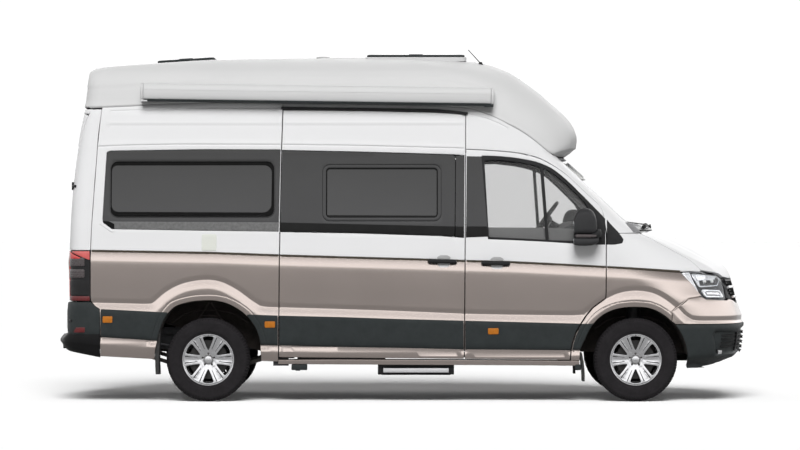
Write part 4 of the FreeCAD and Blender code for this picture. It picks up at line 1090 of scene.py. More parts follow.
def side_curves(belt=True, crease=True, gutter=True, front=False, rear=False, top2=False, top3=False):
    out = []
    if belt:
        out.append((BELT, BELT_OFF, 22.0))
    if crease:
        out.append((CREASE, CREASE_OFF, 15.0))
    if gutter:
        out.append((GUTTER, GUT_OFF, 26.0))
        out.append(([(-2480, 2374), (548, 2374)], (-20, -10, 0, 10, 20, 30), 30.0))
    if front:
        out += arch_lines(FRONT_ARCH)
    if rear:
        out += arch_lines(REAR_ARCH)
    if top2:
        out.append((GUTTER2, (-9, -4, 0, 4, 9), 24.0))
    if top3:
        out.append((GUTTER3, (-9, -4, 0, 4, 9), 18.0))
    return out


def paint(x, z):
    """0 white above the belt, 1 champagne below it."""
    return (z < belt_z(x) + 2.0).astype(int)


BELT_LINE = [(x, z + 2.0) for x, z in BELT]

# ------------------------------------------------------------ side panels
# rear side panel
REAR_SIDE = [(-2551, float(seam_z(-2551)) - 4)]
REAR_SIDE += [(x, float(seam_z(x)) - 4) for x in range(-2500, -1020, 60)] + [(-1012, float(seam_z(-1012)) - 4)]
REAR_SIDE += [(-1013, 2486), (-1022, 2183), (-1035, 1443), (-1039, 1239), (-1047, 372), (-1047, 333)]
REAR_SIDE += [(-1192, 337)] + [p for p in reversed(REAR_ARCH) if p[1] > 345] + [(-2102, 352), (-2562, 378)]
REAR_SIDE += [(-2557, 550), (-2562, 789), (-2600, 812), (-2640, 855), (-2638, 1284), (-2630, 1503), (-2613, 1758),
              (-2596, 2013), (-2587, 2166), (-2570, 2354)]
REAR_BAND = rounded([(-2510, 2124), (-2476, 2137), (-1711, 2149), (-1028, 2147), (-1042, 1446), (-1711, 1454),
                     (-2459, 1467), (-2538, 1524), (-2540, 1560)], [14, 20, 0, 3, 3, 0, 24, 24, 12])
SLIDE = [(-1009, 2486), (-1018, 2183), (-1031, 1443), (-1035, 1239), (-1043, 372), (537, 360), (544, 1290),
         (550, 2149), (552, 2447), (330, 2464), (-350, 2481)]
SLIDE_IN = rounded(inset(ccw(SLIDE), 3.6), [10] * 11)
SLIDE_BAND = rounded([(-1014, 2143), (-350, 2129), (415, 2106), (540, 2100), (534, 1392), (330, 1408), (-350, 1430),
                      (-1027, 1442)], [3, 0, 0, 3, 3, 0, 0, 3])
LEFT, RIGHT = "left", "right"
paints = [WHITE, CHAMP]
common = dict(relief=relief, pick=paint, lines=[BELT_LINE], step=37.0, thick=34.0)
panel("", side, REAR_SIDE, paints, holes=[REAR_BAND], curves=side_curves(rear=True, top2=True),
      both=("side_panel_right", "side_panel_left", "van_body", "van_body"),
      replaces=(("right_body_side",), ("left_body_side",)), slot="white_paint", **common)
panel("", side, SLIDE_IN, paints, holes=[SLIDE_BAND], curves=side_curves(),
      both=("sliding_door_skin", "side_panel_front_left", "van_body", "van_body"),
      replaces=(("sliding_door",), ()), slot="white_paint", **common)

# dark glass-like bands round the side windows
REAR_WIN = rounded([(-2478, 1566), (-1075, 1566), (-1075, 2050), (-2478, 2050)], 70, 8)
SLIDE_WIN = rounded([(-669, 1536), (341, 1536), (341, 2018), (-669, 2018)], 62, 8)
STRIP_R = [(-2600, 1534), (-1031, 1526)]
STRIP_S = [(-1031, 1525), (460, 1491), (600, 1488)]
strip_r, strip_s = zline(STRIP_R), zline(STRIP_S)
V_BAND = rounded([(-1017, 2139), (-350, 2125), (415, 2102), (462, 2099), (456, 1400), (330, 1411), (-350, 1433),
                  (-1030, 1445)], [3, 0, 0, 30, 30, 0, 0, 3], 8)
# painted highlight: the lighter grey under the rear window stands in for light on a ledge that faces up
LIT_LEDGE_G = material("band_ledge_highlight_finish", (0.10, 0.10, 0.10), 0.55, var=0.2, scale=40, bump=0.6, bscale=260, bdist=0.001)
panel("", side, inset(ccw(REAR_BAND), 2.0), [BAND, LIT_LEDGE_G], holes=[REAR_WIN],
      pick=lambda x, z: (z < strip_r(x)).astype(int), lines=[STRIP_R], lift=-4.0, thick=16, step=40, roll=2.0,
      both=("window_band_rear_right", "window_band_rear_left", "van_body", "van_body"), slot="dark_trim")
panel("", side, inset(ccw(V_BAND), 1.0), [BAND, BANDLOW], holes=[SLIDE_WIN],
      pick=lambda x, z: (z < strip_s(x)).astype(int), lines=[STRIP_S], lift=-2.0, thick=16, step=40, roll=2.0,
      both=("window_band_front_right", "window_band_front_left", "van_body", "van_body"), slot="dark_trim")
PILLAR_COVER = rounded([(466, 2096), (543, 2093), (537, 1395), (460, 1399)], 3)
panel("", side, PILLAR_COVER, [BAND, BANDLOW], pick=lambda x, z: (z < strip_s(x)).astype(int), lines=[STRIP_S],
      lift=-3.0, thick=14, step=40, roll=2.0,
      both=("pillar_cover_right", "pillar_cover_left", "van_body", "van_body"), slot="dark_trim")


def window(tag, outline, frame_w, sink):
    """Framed side window: outer bead and deep frame; the glass and the dark blind pocket at the foot are built apart
    from it.
    """
    ring = ccw(outline)
    inner = inset(ring, frame_w)
    if tag == "rear":
        # deep reveal: wide and black at head and foot, thin at the ends; the black is painted shadow inside the recess
        x0, x1, z0, z1 = -2478, -1075, 1566, 2050
        inner = rounded([(x0 + 13, z0 + 50), (x1 - 30, z0 + 44), (x1 - 26, z1 - 34), (x0 + 13, z1 - 36)],
                        [60, 74, 66, 46], 8)
        V, F, cen, nf = panel_mesh(side, inset(ring, 4.0), holes=[inner], lift=-9.0, thick=24, step=60, roll=2.0,
                                   edge=18)
        b = Build().add(V / MM, F, 1)
        V, F = strip(side, inset(ring, 3.0), 3.2, 3.0, closed=True, sink=14, step=18)
        b.add(V, F, 0)
        V, F = strip(side, [(x0 + 70, z0 + 24), (x1 - 80, z0 + 19)], 2.5, -6, closed=False, sink=6, step=60)
        b.add(V, F, 0)
    else:
        V, F, cen, nf = panel_mesh(side, inset(ring, 1.0), holes=[inner], lift=3.0, thick=34, step=60, roll=3.5,
                                   edge=18)
        b = Build().add(V / MM, F, 0)
        V, F = strip(side, inset(ring, frame_w + 4), 5, -sink + 8, lift=0, closed=True, sink=sink + 14, step=18)
        b.add(V, F, 1)
    b.done("", [BAND, VOID], both=("window_frame_%s_right" % tag, "window_frame_%s_left" % tag, "van_body",
                                     "van_body"), slot="dark_trim")
    V, F, cen, nf = panel_mesh(side, inset(ring, frame_w - 6), lift=-sink, thick=5 - sink * 0 + sink - sink + 5,
                               step=80, roll=0, edge=30)
    return V, F


def glass_pane(names, outline, lift, mat, bodies=("van_body", "van_body"), replaces=((), ()), surf=None, step=80,
               thick=4.0, **kw):
    V, F, cen, nf = panel_mesh(surf or side, outline, lift=lift, thick=thick - lift, step=step, roll=0, edge=24, **kw)
    n = len(V) // 2
    for k in (0, 1):
        if names[k] is None:
            continue
        vv, ff = (V, F) if k == 0 else (mirror_pts(V), flipped(F))
        link(names[k], vv, ff, mat, None, bodies[k], replaces[k], "tinted_glass")


# painted shade: the glass darkens towards its top
GLASSD = material("side_window_finish", (0.032, 0.032, 0.033), 0.12, coat=0.10, var=0.10, scale=1.0, rvar=0.03, bump=0.01,
                  bscale=20, spec=0.35, height_shade=(2.06, 1.58, (0.010, 0.010, 0.010), 1.0))
window("rear", REAR_WIN, 24, 26)
window("slide", SLIDE_WIN, 30, 10)
glass_pane(("side_window_rear_right", "side_window_rear_left"), inset(ccw(REAR_WIN), 8), -18, GLASSD,
           replaces=(("side_windows",), ()))
glass_pane(("side_window_slide_right", "side_window_slide_left"), inset(ccw(SLIDE_WIN), 24), -6, GLASSD)
b = Build()
V, F = prism(rounded([(-628, 1566), (300, 1562), (300, 1583), (-628, 1587)], 6), 0, 6, "y")
xs_ = np.array([v[0] for v in V]); zs_ = np.array([v[2] for v in V]); ys_ = np.array([v[1] for v in V])
b.add([(x, -(side_y(x, z, "low") - 4.0) - y * 0.8 + 2, z) for x, y, z in V], F, 0)
b.done("", [BANDLOW], both=("blind_pocket_right", "blind_pocket_left", "van_body", "van_body"), slot="black_plastic")

# cant rail, roof edge strip and windscreen pillar
DOOR_TOP = spline([(552, 2152), (798, 2139), (1002, 2118), (1181, 2073), (1300, 2011), (1410, 1936), (1512, 1842),
                   (1606, 1753), (1682, 1685)], 26)
DOOR_FRONT = spline([(1712, 1642), (1726, 1588), (1742, 1480), (1749, 1432)], 26)


def screen_side(z):
    ys = 798 - (z - 1492) * 30 / 592
    return float(front_x(ys, z, "low"))


pillar = [(-1009, float(seam_z(-1009)) - 4)]
frame_out = [(-1005.4, 2490), (-350, 2485), (330, 2468), (554, 2451)] + DOOR_TOP + DOOR_FRONT
frame_out += [(1760, 1432), (1900, 1436)] + [(screen_side(z), z) for z in (1440, 1492, 1560, 1640, 1720, 1800, 1880,
                                                                           1960, 2030, 2090)]
frame_out += [(x, float(seam_z(x)) - 4) for x in (1288, 1240, 1185, 1140, 1100, 1057, 1014, 970, 929, 885, 844, 800, 758,
                                                  715, 673, 630, 588, 500, 400, 331, 200, 0, -200, -400, -600, -800,
                                                  -1009)]
panel("", side, frame_out, [WHITE], relief=relief, curves=side_curves(False, False, True, top3=True), step=26,
      thick=30, both=("roof_rail_right", "roof_rail_left", "van_body", "van_body"), replaces=(("cab_frame",), ()),
      slot="white_paint")

# ------------------------------------------------------------ front doors
DOOR = [(537.5, 360), (544, 1290), (550, 2149)] + spline(
    [(552, 2150), (798, 2136), (1002, 2115), (1181, 2070), (1300, 2008), (1410, 1933), (1512, 1839), (1606, 1750),
     (1682, 1682), (1712, 1639), (1723, 1588), (1742, 1440), (1744, 1316)], 24) + [(1741, 887)] + spline(
    [(1739, 880), (1700, 852), (1631, 800), (1575, 735), (1525, 660), (1484, 580), (1458, 500), (1444, 430),
     (1438, 352)], 20)
DOOR_IN = inset(ccw(DOOR), 3.4)
WIN_OUT = [(738, 1382), (681, 2080)] + spline([(690, 2095), (842, 2089), (1013, 2070), (1141, 2044), (1226, 2014),
                                               (1311, 1968), (1439, 1861), (1524, 1776), (1584, 1716),
                                               (1693, 1605), (1735, 1560)], 24) + [
    (1735, 1336), (1607, 1337), (1463, 1345), (1267, 1358), (1012, 1371)]
WIN_OUT = rounded([WIN_OUT[0], WIN_OUT[1]], 0) + WIN_OUT[2:]
panel("", side, DOOR_IN, paints, holes=[WIN_OUT], curves=side_curves(gutter=False), relief=relief, pick=paint,
      lines=[BELT_LINE], step=37.0, thick=44.0,
      both=("front_door_skin_right", "front_door_skin_left", "front_door_right", "front_door_left"),
      replaces=(("front_door_right",), ("front_door_left",)), slot="white_paint")
MAIN_GLASS = rounded([(712, 1420), (712, 1900), (714, 2048)] + [(842, 2054), (1013, 2034), (1110, 2016), (1186, 1996),
                                                                (1231, 1404), (746, 1412)],
                     [0, 0, 22, 0, 0, 0, 8, 8, 12])
MAIN_GLASS = rounded([(746, 1402), (709, 2052), (842, 2056), (1013, 2036), (1110, 2017), (1183, 1996), (1229, 1378)],
                     [14, 26, 0, 0, 0, 6, 6])
QUARTER = rounded([(1256, 1376), (1211, 1988), (1290, 1945), (1405, 1852), (1500, 1762), (1566, 1694), (1590, 1640),
                   (1594, 1362)], [6, 8, 0, 0, 0, 20, 0, 8])
panel("", side, inset(ccw(WIN_OUT), 1.0), [BLACK], holes=[MAIN_GLASS, QUARTER], lift=0.5, thick=40, step=40, roll=2.5,
      both=("door_window_frame_right", "door_window_frame_left", "front_door_right", "front_door_left"),
      slot="dark_trim")
glass_pane(("door_pane_right", "door_pane_left"), inset(ccw(MAIN_GLASS), -8), -16, CLEAR,
           ("front_door_right", "front_door_left"), (("door_glass_right",), ("door_glass_left",)), thick=20.5)
glass_pane(("quarter_pane_right", "quarter_pane_left"), inset(ccw(QUARTER), -8), -16, CLEAR,
           ("front_door_right", "front_door_left"), thick=20.5)

# dark line pressed into the paint split, its dark colour painted shade of the belt groove, and the wedge at the rear
# foot of the window band
for nm, x0, x1, bodies in (("rear", -2632, -1042, ("van_body", "van_body")), ("slide", -1030, 540, ("van_body", "van_body")),
                           ("door", 556, 1738, ("front_door_right", "front_door_left")),
                           ("wing", 1751, 2378, ("van_body", "van_body"))):
    b = Build()
    xs_ = np.linspace(x0, x1, 40)
    V, F = strip(side, [(float(x), float(belt_z(x)) + 1.0) for x in xs_], 6.5, -1.2, sink=9, step=40)
    b.add(V, F, 0)
    b.done("", [BELT_GROOVE_SHADE], both=("belt_line_%s_right" % nm, "belt_line_%s_left" % nm, *bodies), slot="dark_trim")
b = Build()
V, F, cen, nf = panel_mesh(side, [(-2534, 1540), (-2533, 1526), (-2458, 1471), (-2440, 1471), (-2440, 1512), (-2480, 1532)],
                           lift=-0.5, thick=8, step=40, roll=1.5, edge=14)
b.add(V / MM, F, 0)
V, F = strip(side, [(-2562, 1516), (-2546, 1505), (-2466, 1449), (-2440, 1447)], 5, 4.5, sink=6, step=20)
b.add(V, F, 1)
b.done("", [VOID, WHITE], both=("band_wedge_right", "band_wedge_left", "van_body", "van_body"), slot="dark_trim")

DOOR_BAND = [(559, 2090), (694, 2087), (738, 1403), (551, 1396)]
STRIP_D = [(500, 1492), (760, 1490)]
strip_d = zline(STRIP_D)
panel("", side, ccw(DOOR_BAND), [BAND, BANDLOW], pick=lambda x, z: (z < strip_d(x)).astype(int), lines=[STRIP_D],
      lift=0.35, thick=6, step=40, roll=0.3,
      both=("door_band_right", "door_band_left", "front_door_right", "front_door_left"), slot="dark_trim")


# ------------------------------------------------------------ front end
front = Front()
FX = Front.from_xz
FY = Front.from_yz


def fp(pts):
    return FX(pts)


HOOD_SIDE = spline([(2058, 1424), (2120, 1396), (2218, 1343), (2300, 1299), (2389, 1251), (2492, 1188), (2561, 1119)], 20)
HOOD_NOSE = spline([(2561, 1119), (2640, 1106), (2724, 1088), (2762, 1062)], 20)
BELOW = 3.2  # half of the joint between hood and wing

LAMP = rounded([(2384, 1100), (2469, 1110), (2572, 1103), (2717, 1089), (2762, 1050), (2794, 889), (2786, 864),
                (2598, 876), (2555, 902), (2469, 1005)], [10, 0, 0, 20, 20, 10, 8, 16, 16, 0])
SEAM_BUMP = [(2535, 897), (2500, 890), (2441, 882), (2300, 775)]
arch_f = [p for p in FRONT_ARCH]


def arch_part(x_from, x_to, z_min=300):
    return [p for p in FRONT_ARCH if x_from <= p[0] <= x_to and p[1] > z_min]


# wing: from the door to the hood and the lamp
wing = [(1752, 1432), (1748, 1316), (1745, 886), (1742, 878), (1705, 850), (1636, 799), (1580, 733), (1530, 658),
        (1489, 579), (1463, 500), (1449, 430), (1443, 345), (1517, 345)]
wing += arch_part(1517, 2298, 350)
wing += [(2300, 684), (2300, 772), (2441, 879), (2500, 887), (2540, 893)]
lamp_ring = ccw(LAMP)
wing += [(2551, 899), (2465, 1003), (2380, 1099), (2382, 1105), (2468, 1112), (2556, 1106)]
wing += [(x - 1.5, z - BELOW) for x, z in reversed(HOOD_SIDE)]
wing += [(2040, 1430), (1900, 1431), (1760, 1430)]
panel("", side, wing, paints, relief=relief, pick=paint, lines=[BELT_LINE],
      curves=side_curves(gutter=False, front=True), step=26.0, thick=26.0, edge=13,
      both=("wing_right", "wing_left", "van_body", "van_body"), replaces=(("front_wings",), ()), slot="white_paint")


def both_sides(half):
    """Half outline from the middle front round to the side and back to the middle, mirrored."""
    return list(half) + [(-p, z) for p, z in reversed(half) if abs(p) > 1e-6]


# hood
def hood_relief(p, z):
    a = np.abs(p)
    r = 7.0 * np.clip((470 - a) / 60, 0, 1) ** 0.8 * np.clip((z - 1080) / 160, 0, 1)
    r = r + 3.0 * np.exp(-((a - 470 - 0.28 * (z - 1100)) / 26) ** 2) * np.clip((z - 1100) / 120, 0, 1)
    return r


back_edge = []
for y, x in ((0, 2222), (120, 2220), (260, 2205), (400, 2178), (520, 2150), (610, 2124), (700, 2098), (770, 2066)):
    z = float(Hood()(np.array([float(x)]), np.array([float(y)]))[0, 2])
    back_edge.append((y, z))
hood_half = [(0.0, back_edge[0][1])] + FY(back_edge[1:]) + fp([(x, z) for x, z in HOOD_SIDE])
hood_half += fp(HOOD_NOSE[1:]) + FY([(560, 1052), (500, 1047), (300, 1044), (120, 1043)]) + [(0.0, 1043.0)]
hood_ring = both_sides(hood_half)
hood_curve = [(0.0, 1043)]
panel("hood_skin", front, hood_ring, [WHITE], relief=hood_relief, step=19.0, thick=22.0, roll=4.0, edge=14,
      body="hood", replaces=("hood",), slot="white_paint")

# headlights
DARKG = material("lamp_dark_finish", (0.05, 0.05, 0.052), 0.35, metal=0.3, var=0.2, scale=30, bump=0.1, bscale=300)
BRIGHT = material("lamp_bright_finish", (0.58, 0.58, 0.59), 0.25, metal=0.35, coat=0.2, var=0.03, scale=20, bump=0.05)


def plate_part(build, outline, lift, thick, m, roll=1.5, surf=None, step=60, edge=18, holes=(), relief=None, mir=False):
    V, F, cen, nf = panel_mesh(surf or side, outline, lift=lift, thick=thick, step=step, roll=roll, edge=edge,
                               holes=holes, relief=relief)
    V = V / MM
    if mir:
        V, F = mirror_pts(V), flipped(F)
    build.add(V, F, m)


b = Build()
plate_part(b, inset(ccw(LAMP), 2.5), -22, 46, 0)
WEDGE = [(2392, 1095), (2458, 1102), (2490, 1030), (2530, 945), (2542, 915), (2478, 1000)]
plate_part(b, WEDGE, -4, 20, 1, 2.0)
plate_part(b, inset(ccw(WEDGE), 9), -1, 6, 2, 1.0)
REFL = rounded([(2482, 1097), (2575, 1088), (2700, 1072), (2738, 1040), (2718, 984), (2548, 975), (2500, 1048)],
               [10, 0, 10, 16, 16, 20, 0])
plate_part(b, REFL, -12, 22, 2, 3.0)
plate_part(b, rounded([(2515, 1082), (2610, 1074), (2600, 1040), (2530, 1034)], 8), -7, 12, 1, 1.5)
plate_part(b, rounded([(2545, 1030), (2690, 1038), (2705, 1062), (2730, 1035), (2710, 992), (2560, 986)],
                      [8, 4, 4, 8, 10, 10]), -8, 10, 0, 1.5)
for cx, cz, rr_ in ((2590, 1018, 17), (2655, 1020, 17)):
    yy = float(side_y(cx, cz, "low"))
    V, F = lathe([(0.5, 14), (rr_ * 0.5, 12), (rr_ * 0.85, 6), (rr_, 0), (rr_, -10), (0.5, -10)], 24, "y",
                 (cx, -yy + 4, cz))
    V = [(x, (-yy + 4) - (y - (-yy + 4)), z) for x, y, z in V]
    b.add(V, flipped(F), 1)
LOWBAR = rounded([(2556, 955), (2728, 948), (2768, 884), (2604, 890)], 10)
plate_part(b, LOWBAR, -4, 22, 1, 2.0)
plate_part(b, inset(ccw(LOWBAR), 13), -1.5, 6, 3, 1.0)
plate_part(b, inset(ccw(LOWBAR), 22), 0, 6, 1, 1.0)
b.done("", [GLOSSB, BRIGHT, TAN, DARKG], both=("headlamp_right", "headlamp_left", "van_body", "van_body"),
       replaces=(("headlights",), ()), slot="lamp_clear")
glass_pane(("headlamp_lens_right", "headlamp_lens_left"), inset(ccw(LAMP), 3.0), 1.5, LENS, thick=5.5, step=40)

# grille between the lamps
GP = 560.0
gr_half = FY([(0.01, 1040), (300, 1040), (500, 1043), (600, 1052)]) + fp([(2757, 1052), (2800, 884)])
gr_half += FY([(520, 832), (300, 828), (0.01, 828)])
gr_half = [(0.0, 1040.0)] + gr_half[1:-1] + [(0.0, 828.0)]
gr_ring = both_sides(gr_half)
b = Build()
plate_part(b, inset(ccw(gr_ring), 2.0), -26, 34, 0, surf=front, step=60)


def bar_line(z, p1):
    return [(-p1 + 2 * p1 * k / 40, z) for k in range(41)]


for z, half, high, m, p1 in ((1030, 9, -3, 0, 575), (1008, 7, -10, 0, 575), (971, 9.5, 3, 1, 588), (944, 6, -10, 0, 590),
                             (920, 6, -10, 0, 592), (886, 10, 4, 1, 560), (858, 6, -10, 0, 545), (838, 7, -4, 0, 540)):
    V, F = strip(front, bar_line(z, p1), half, high, closed=False, step=30, sink=26)
    b.add(V, F, m)
for p in np.arange(-520, 521, 40.0):
    V, F = strip(front, [(p, 1030), (p, 838)], 2.2, -16, step=24, sink=26)
    b.add(V, F, 0)
b.done("grille_unit", [BLACK, CHROME], replaces=("grille",), slot="black_plastic")

# bumper: painted top and dark lower part, in one wrap
BZ = 661.0
arch_low = [p for p in FRONT_ARCH if p[0] > 2300]
up_half = [(0.0, 824.0)] + FY([(300, 825), (505, 829)]) + fp([(2806, 868), (2790, 858), (2700, 863), (2598, 870),
                                                                (2556, 893), (2538, 890), (2500, 884), (2443, 876),
                                                                (2303, 769), (2303, 686)])
up_half += fp([p for p in arch_low if p[1] > BZ + 4] + [(2333, BZ)])
up_half += [(FP1 + (FP2 - FP1) * k / 8, BZ) for k in (7, 5, 3, 1)] + [(FP1 * k / 6, BZ) for k in (5, 3, 1)] + [(0.0, BZ)]
up_ring = both_sides(up_half)
CREASE_P = [p for p in CREASE if p[0] > 2300 and p[0] < 2880]
crease_p = np.asarray([(0.0, 727.0), (200, 727.0), (450.0, 727.0)] + FX(list(reversed(CREASE_P))))


def bump_relief(p, z):
    a = np.abs(p)
    d, s = distance(a, z, crease_p, closed=False)
    # crease_p runs from the middle to the side: below it lies to the right
    t = np.where(a > FP2 - 60, 1.0, 0.85)
    r = ramp(-d * s, LEDGE) * t
    arch = np.asarray(FX([q for q in FRONT_ARCH if q[0] > 2250]))
    d2, s2 = distance(a, z, arch, closed=False)
    r -= 3.2 * np.exp(-((d2 - 48) / 4.0) ** 2)
    tip = np.clip(1 - a / 640, 0, 1)
    r += 2.0 * tip
    return r


cl = [tuple(v) for v in crease_p]
crease_sym = [(-p, z) for p, z in reversed(cl[1:])] + cl
panel("bumper_top", front, up_ring, [CHAMP], relief=bump_relief, curves=[(crease_sym, CREASE_OFF, 18.0)],
      step=28, thick=20, roll=3.5, edge=15, replaces=("front_bumper",), slot="champagne_paint")

LOW_X = [(2337, BZ - 4)] + [p for p in arch_low if p[1] < BZ - 8 and p[1] > 300] + [(2441, 284), (2600, 286)]
low_half = [(0.0, BZ - 4)] + [(FP1 * k / 6, BZ - 4) for k in (1, 3, 5)] + [(FP1 + (FP2 - FP1) * k / 8, BZ - 4)
                                                                         for k in (1, 3, 5, 7)]
low_half += fp(LOW_X) + [(FP1 + 330, 296), (FP1 + 120, 318), (FP1 - 60, 332), (FP1 * 0.6, 344), (FP1 * 0.3, 350),
                         (0.0, 352)]
INTAKE = [(FP1 - 250, 586), (FP1 + 120, 600)] + FX([(2675, 606), (2652, 560), (2668, 400)]) + [(FP1 + 60, 404), (FP1 - 170, 418)]


def low_relief(p, z):
    a = np.abs(p)
    r = 7.0 * np.clip((BZ - z) / 20, 0, 1)
    r -= 30.0 * np.clip((636 - z) / 30, 0, 1) * np.clip((FP1 + 60 - a) / 260, 0, 1)
    poly = np.asarray(INTAKE)
    d, s = distance(a, z, poly)
    ins = within(a, z, poly)
    sd = np.where(ins, d, -d)
    r -= 24.0 * np.clip(sd / 16, 0, 1)
    mid = np.asarray([(-10, 590), (330, 590), (300, 440), (-10, 436)])
    d, s = distance(a, z, mid)
    ins = within(a, z, mid)
    r -= 26.0 * np.where(ins, np.clip(d / 14, 0, 1), 0)
    r += 10 * np.exp(-((z - 392) / 16.0) ** 2) * np.clip((FP2 - 120 - a) / 300, 0, 1)
    r -= 10 * np.clip((360 - z) / 40, 0, 1) * np.clip((FP2 - a) / 300, 0, 1)
    r += 6 * np.exp(-((z - 418 + 0.05 * (a - 600)) / 9.0) ** 2)
    return r


low_ring = both_sides(low_half)
ring_i = [(p, z) for p, z in INTAKE] + [INTAKE[0]]
lines_i = [(resample(ring_i, 20, False), (-4, 4, 12, 18), 16.0), ([(-p, z) for p, z in resample(ring_i, 20, False)],
                                                                  (-18, -12, -4, 4), 16.0)]
panel("bumper_low", front, low_ring, [CLAD], relief=low_relief, curves=lines_i, step=22, thick=18, roll=3.5, edge=15,
      slot="dark_trim")
b = Build()
for sgn in (1, -1):
    for z in (562, 530, 498, 466):
        V, F = strip(front, [(sgn * (FP1 - 215 + k * 30), z) for k in range(18)], 5.5, -12, step=30, sink=26)
        b.add(V, F, 0)
    V, F = strip(front, [(sgn * (FP1 + 60), 585), (sgn * (FP1 + 60), 425)], 4.0, -8, step=20, sink=20)
    b.add(V, F, 0)
for z in (574, 532, 490, 448, 408):
    V, F = strip(front, bar_line(z, 330), 9, -6, step=30, sink=30)
    b.add(V, F, 0)
b.done("bumper_slats", [BLACK], slot="black_plastic")
FOG = rounded([FX([(2738, 440)])[0], FX([(2690, 444)])[0], FX([(2690, 398)])[0], FX([(2728, 394)])[0]], 8)
b = Build()
for mir in (False, True):
    plate_part(b, FOG, 4, 14, 0, 2.0, surf=front, step=30, mir=mir)
    plate_part(b, inset(ccw(FOG), 8), 7, 8, 1, 1.5, surf=front, step=30, mir=mir)
    q = FP1 + 330
    plate_part(b, [(q + 9 * math.cos(t), 488 + 9 * math.sin(t)) for t in np.linspace(0, 6.283, 17)[:-1]], 11.5, 6, 2,
               1.0, surf=front, step=30, mir=mir)
b.done("fog_lamps", [GLOSSB, BRIGHT, BLACK], slot="lamp_clear")

# windscreen, its black edge, cowl and wipers
screen = Screen()


def screen_half(z):
    return 798 - (z - 1492) * 30 / 592


scr = [(-screen_half(z) + 3, z) for z in np.linspace(1466, 2096, 12)] + [(screen_half(z) - 3, z) for z in
                                                                       np.linspace(2096, 1466, 12)]
V, F, cen, nf = panel_mesh(screen, scr, lift=-6, thick=11, step=60, roll=0, edge=40)
link("windscreen_pane", V, F, SCREENG, None, "van_body", ("windscreen",), "clear_glass")
scr_in = rounded([(-776, 1494), (776, 1494), (752, 2070), (-752, 2070)], 60)
SCREENB = material("screen_border_finish", (0.05, 0.05, 0.052), 0.3, coat=0.1, var=0.1, scale=10, bump=0.05, spec=0.2)
scr = [(-screen_half(z) + 3, z) for z in np.linspace(1466, 2096, 12)] + [(screen_half(z) - 3, z) for z in
                                                                       np.linspace(2096, 1466, 12)]
panel("windscreen_border", screen, scr, [SCREENB], holes=[scr_in], lift=-4.2, thick=6.0, roll=0.5, step=60, edge=26,
      slot="black_plastic")
cowl_low = []
for y, x in ((0, 2226), (120, 2224), (260, 2209), (400, 2182), (520, 2154), (610, 2128), (700, 2102), (770, 2070)):
    z = float(Hood()(np.array([float(x)]), np.array([float(y)]))[0, 2])
    cowl_low.append((y, z + 5))
cw = FY([(y, z) for y, z in cowl_low[1:]])
cw_half = [(0.0, cowl_low[0][1])] + cw + FX([(2030, 1437), (2008, 1437)]) + FY([(795, 1461), (600, 1463), (300, 1464)]) + [
    (0.0, 1464.0)]
panel("cowl_grille", front, both_sides(cw_half), [GREYT], lift=-14, thick=14, step=26, roll=2.0,
      relief=lambda p, z: 2.2 * np.sin(p / 6.5), replaces=("cowl_panel",), slot="dark_trim")


def on_screen(y, z, d):
    P = place(screen, np.array([-float(y)]), np.array([float(z)]), np.array([float(d)]))[0]
    return P


b = Build()
wedge = [(1953, 1526), (2010, 1522), (2067, 1509), (2110, 1494), (2160, 1474), (2222, 1444), (2222, 1436), (2060, 1438),
         (1953, 1470)]
x_mid = float(on_screen(0, 1478, 0)[0])
rings = []
for y in np.linspace(-600, 600, 25):
    dx = float(on_screen(float(y), 1478, 0)[0]) - x_mid
    rings.append([(x + dx, float(y), z - 8 * (abs(y) / 600.0) ** 2) for x, z in wedge])
V, F = loft(rings)
b.add(V, F, 0)
COWLG = material("cowl_finish", (0.15, 0.15, 0.155), 0.6, var=0.1, scale=12, bump=0.3, bscale=300, spec=0.2)
b.done("cowl_cover", [COWLG], slot="dark_trim")
b = Build()
for y0, z0, y1, z1 in ((560, 1480, -20, 1492), (-120, 1480, -600, 1506)):
    arm = [on_screen(y0 + (y1 - y0) * t, z0 + (z1 - z0) * t, 10 + 14 * math.sin(math.pi * t)) for t in np.linspace(0, 1, 9)]
    V, F = tube(arm, [9, 8, 7, 6, 6, 5, 5, 5, 4], 8)
    b.add(V, F, 0)
    blade = [on_screen(y0 + (y1 - y0) * t, z0 + 16 + (z1 - z0) * t, 7) for t in np.linspace(0.18, 1.14, 14)]
    V, F = tube(blade, 6, 6)
    b.add(V, F, 1)
    V, F = lathe([(2, 16), (16, 14), (19, 4), (19, -12), (2, -12)], 20, "z", tuple(on_screen(y0, z0, 8)))
    b.add(V, F, 0)
b.done("wipers", [BLACK, RUBBER], slot="black_plastic")

# mirror sail on the body, ahead of the door
SAIL = rounded([(1749, 1552), (1777, 1518), (1845, 1446), (1893, 1380), (1880, 1347), (1820, 1336), (1749, 1336)],
               [4, 0, 10, 12, 10, 6, 4])
panel("", side, SAIL, [BLACK], lift=3.0, thick=14, step=40, roll=4.0,
      both=("pillar_sail_right", "pillar_sail_left", "van_body", "van_body"), slot="dark_trim")
DOOR_SAIL = rounded([(1736, 1556), (1736, 1338), (1600, 1340), (1600, 1696)], [3, 3, 3, 3])
panel("", side, DOOR_SAIL, [BLACK], lift=3.5, thick=14, step=40, roll=4.0,
      both=("door_sail_right", "door_sail_left", "front_door_right", "front_door_left"), slot="dark_trim")

# painted filler behind the joint between wing and bumper
b = Build()
V, F = strip(side, [(2298, 700), (2301, 770), (2372, 824), (2442, 878), (2500, 886), (2540, 892)], 5.0, -2.4, sink=10,
             step=16)
b.add(V, F, 0)
b.done("", [CHAMP], both=("wing_joint_right", "wing_joint_left", "van_body", "van_body"), slot="champagne_paint")
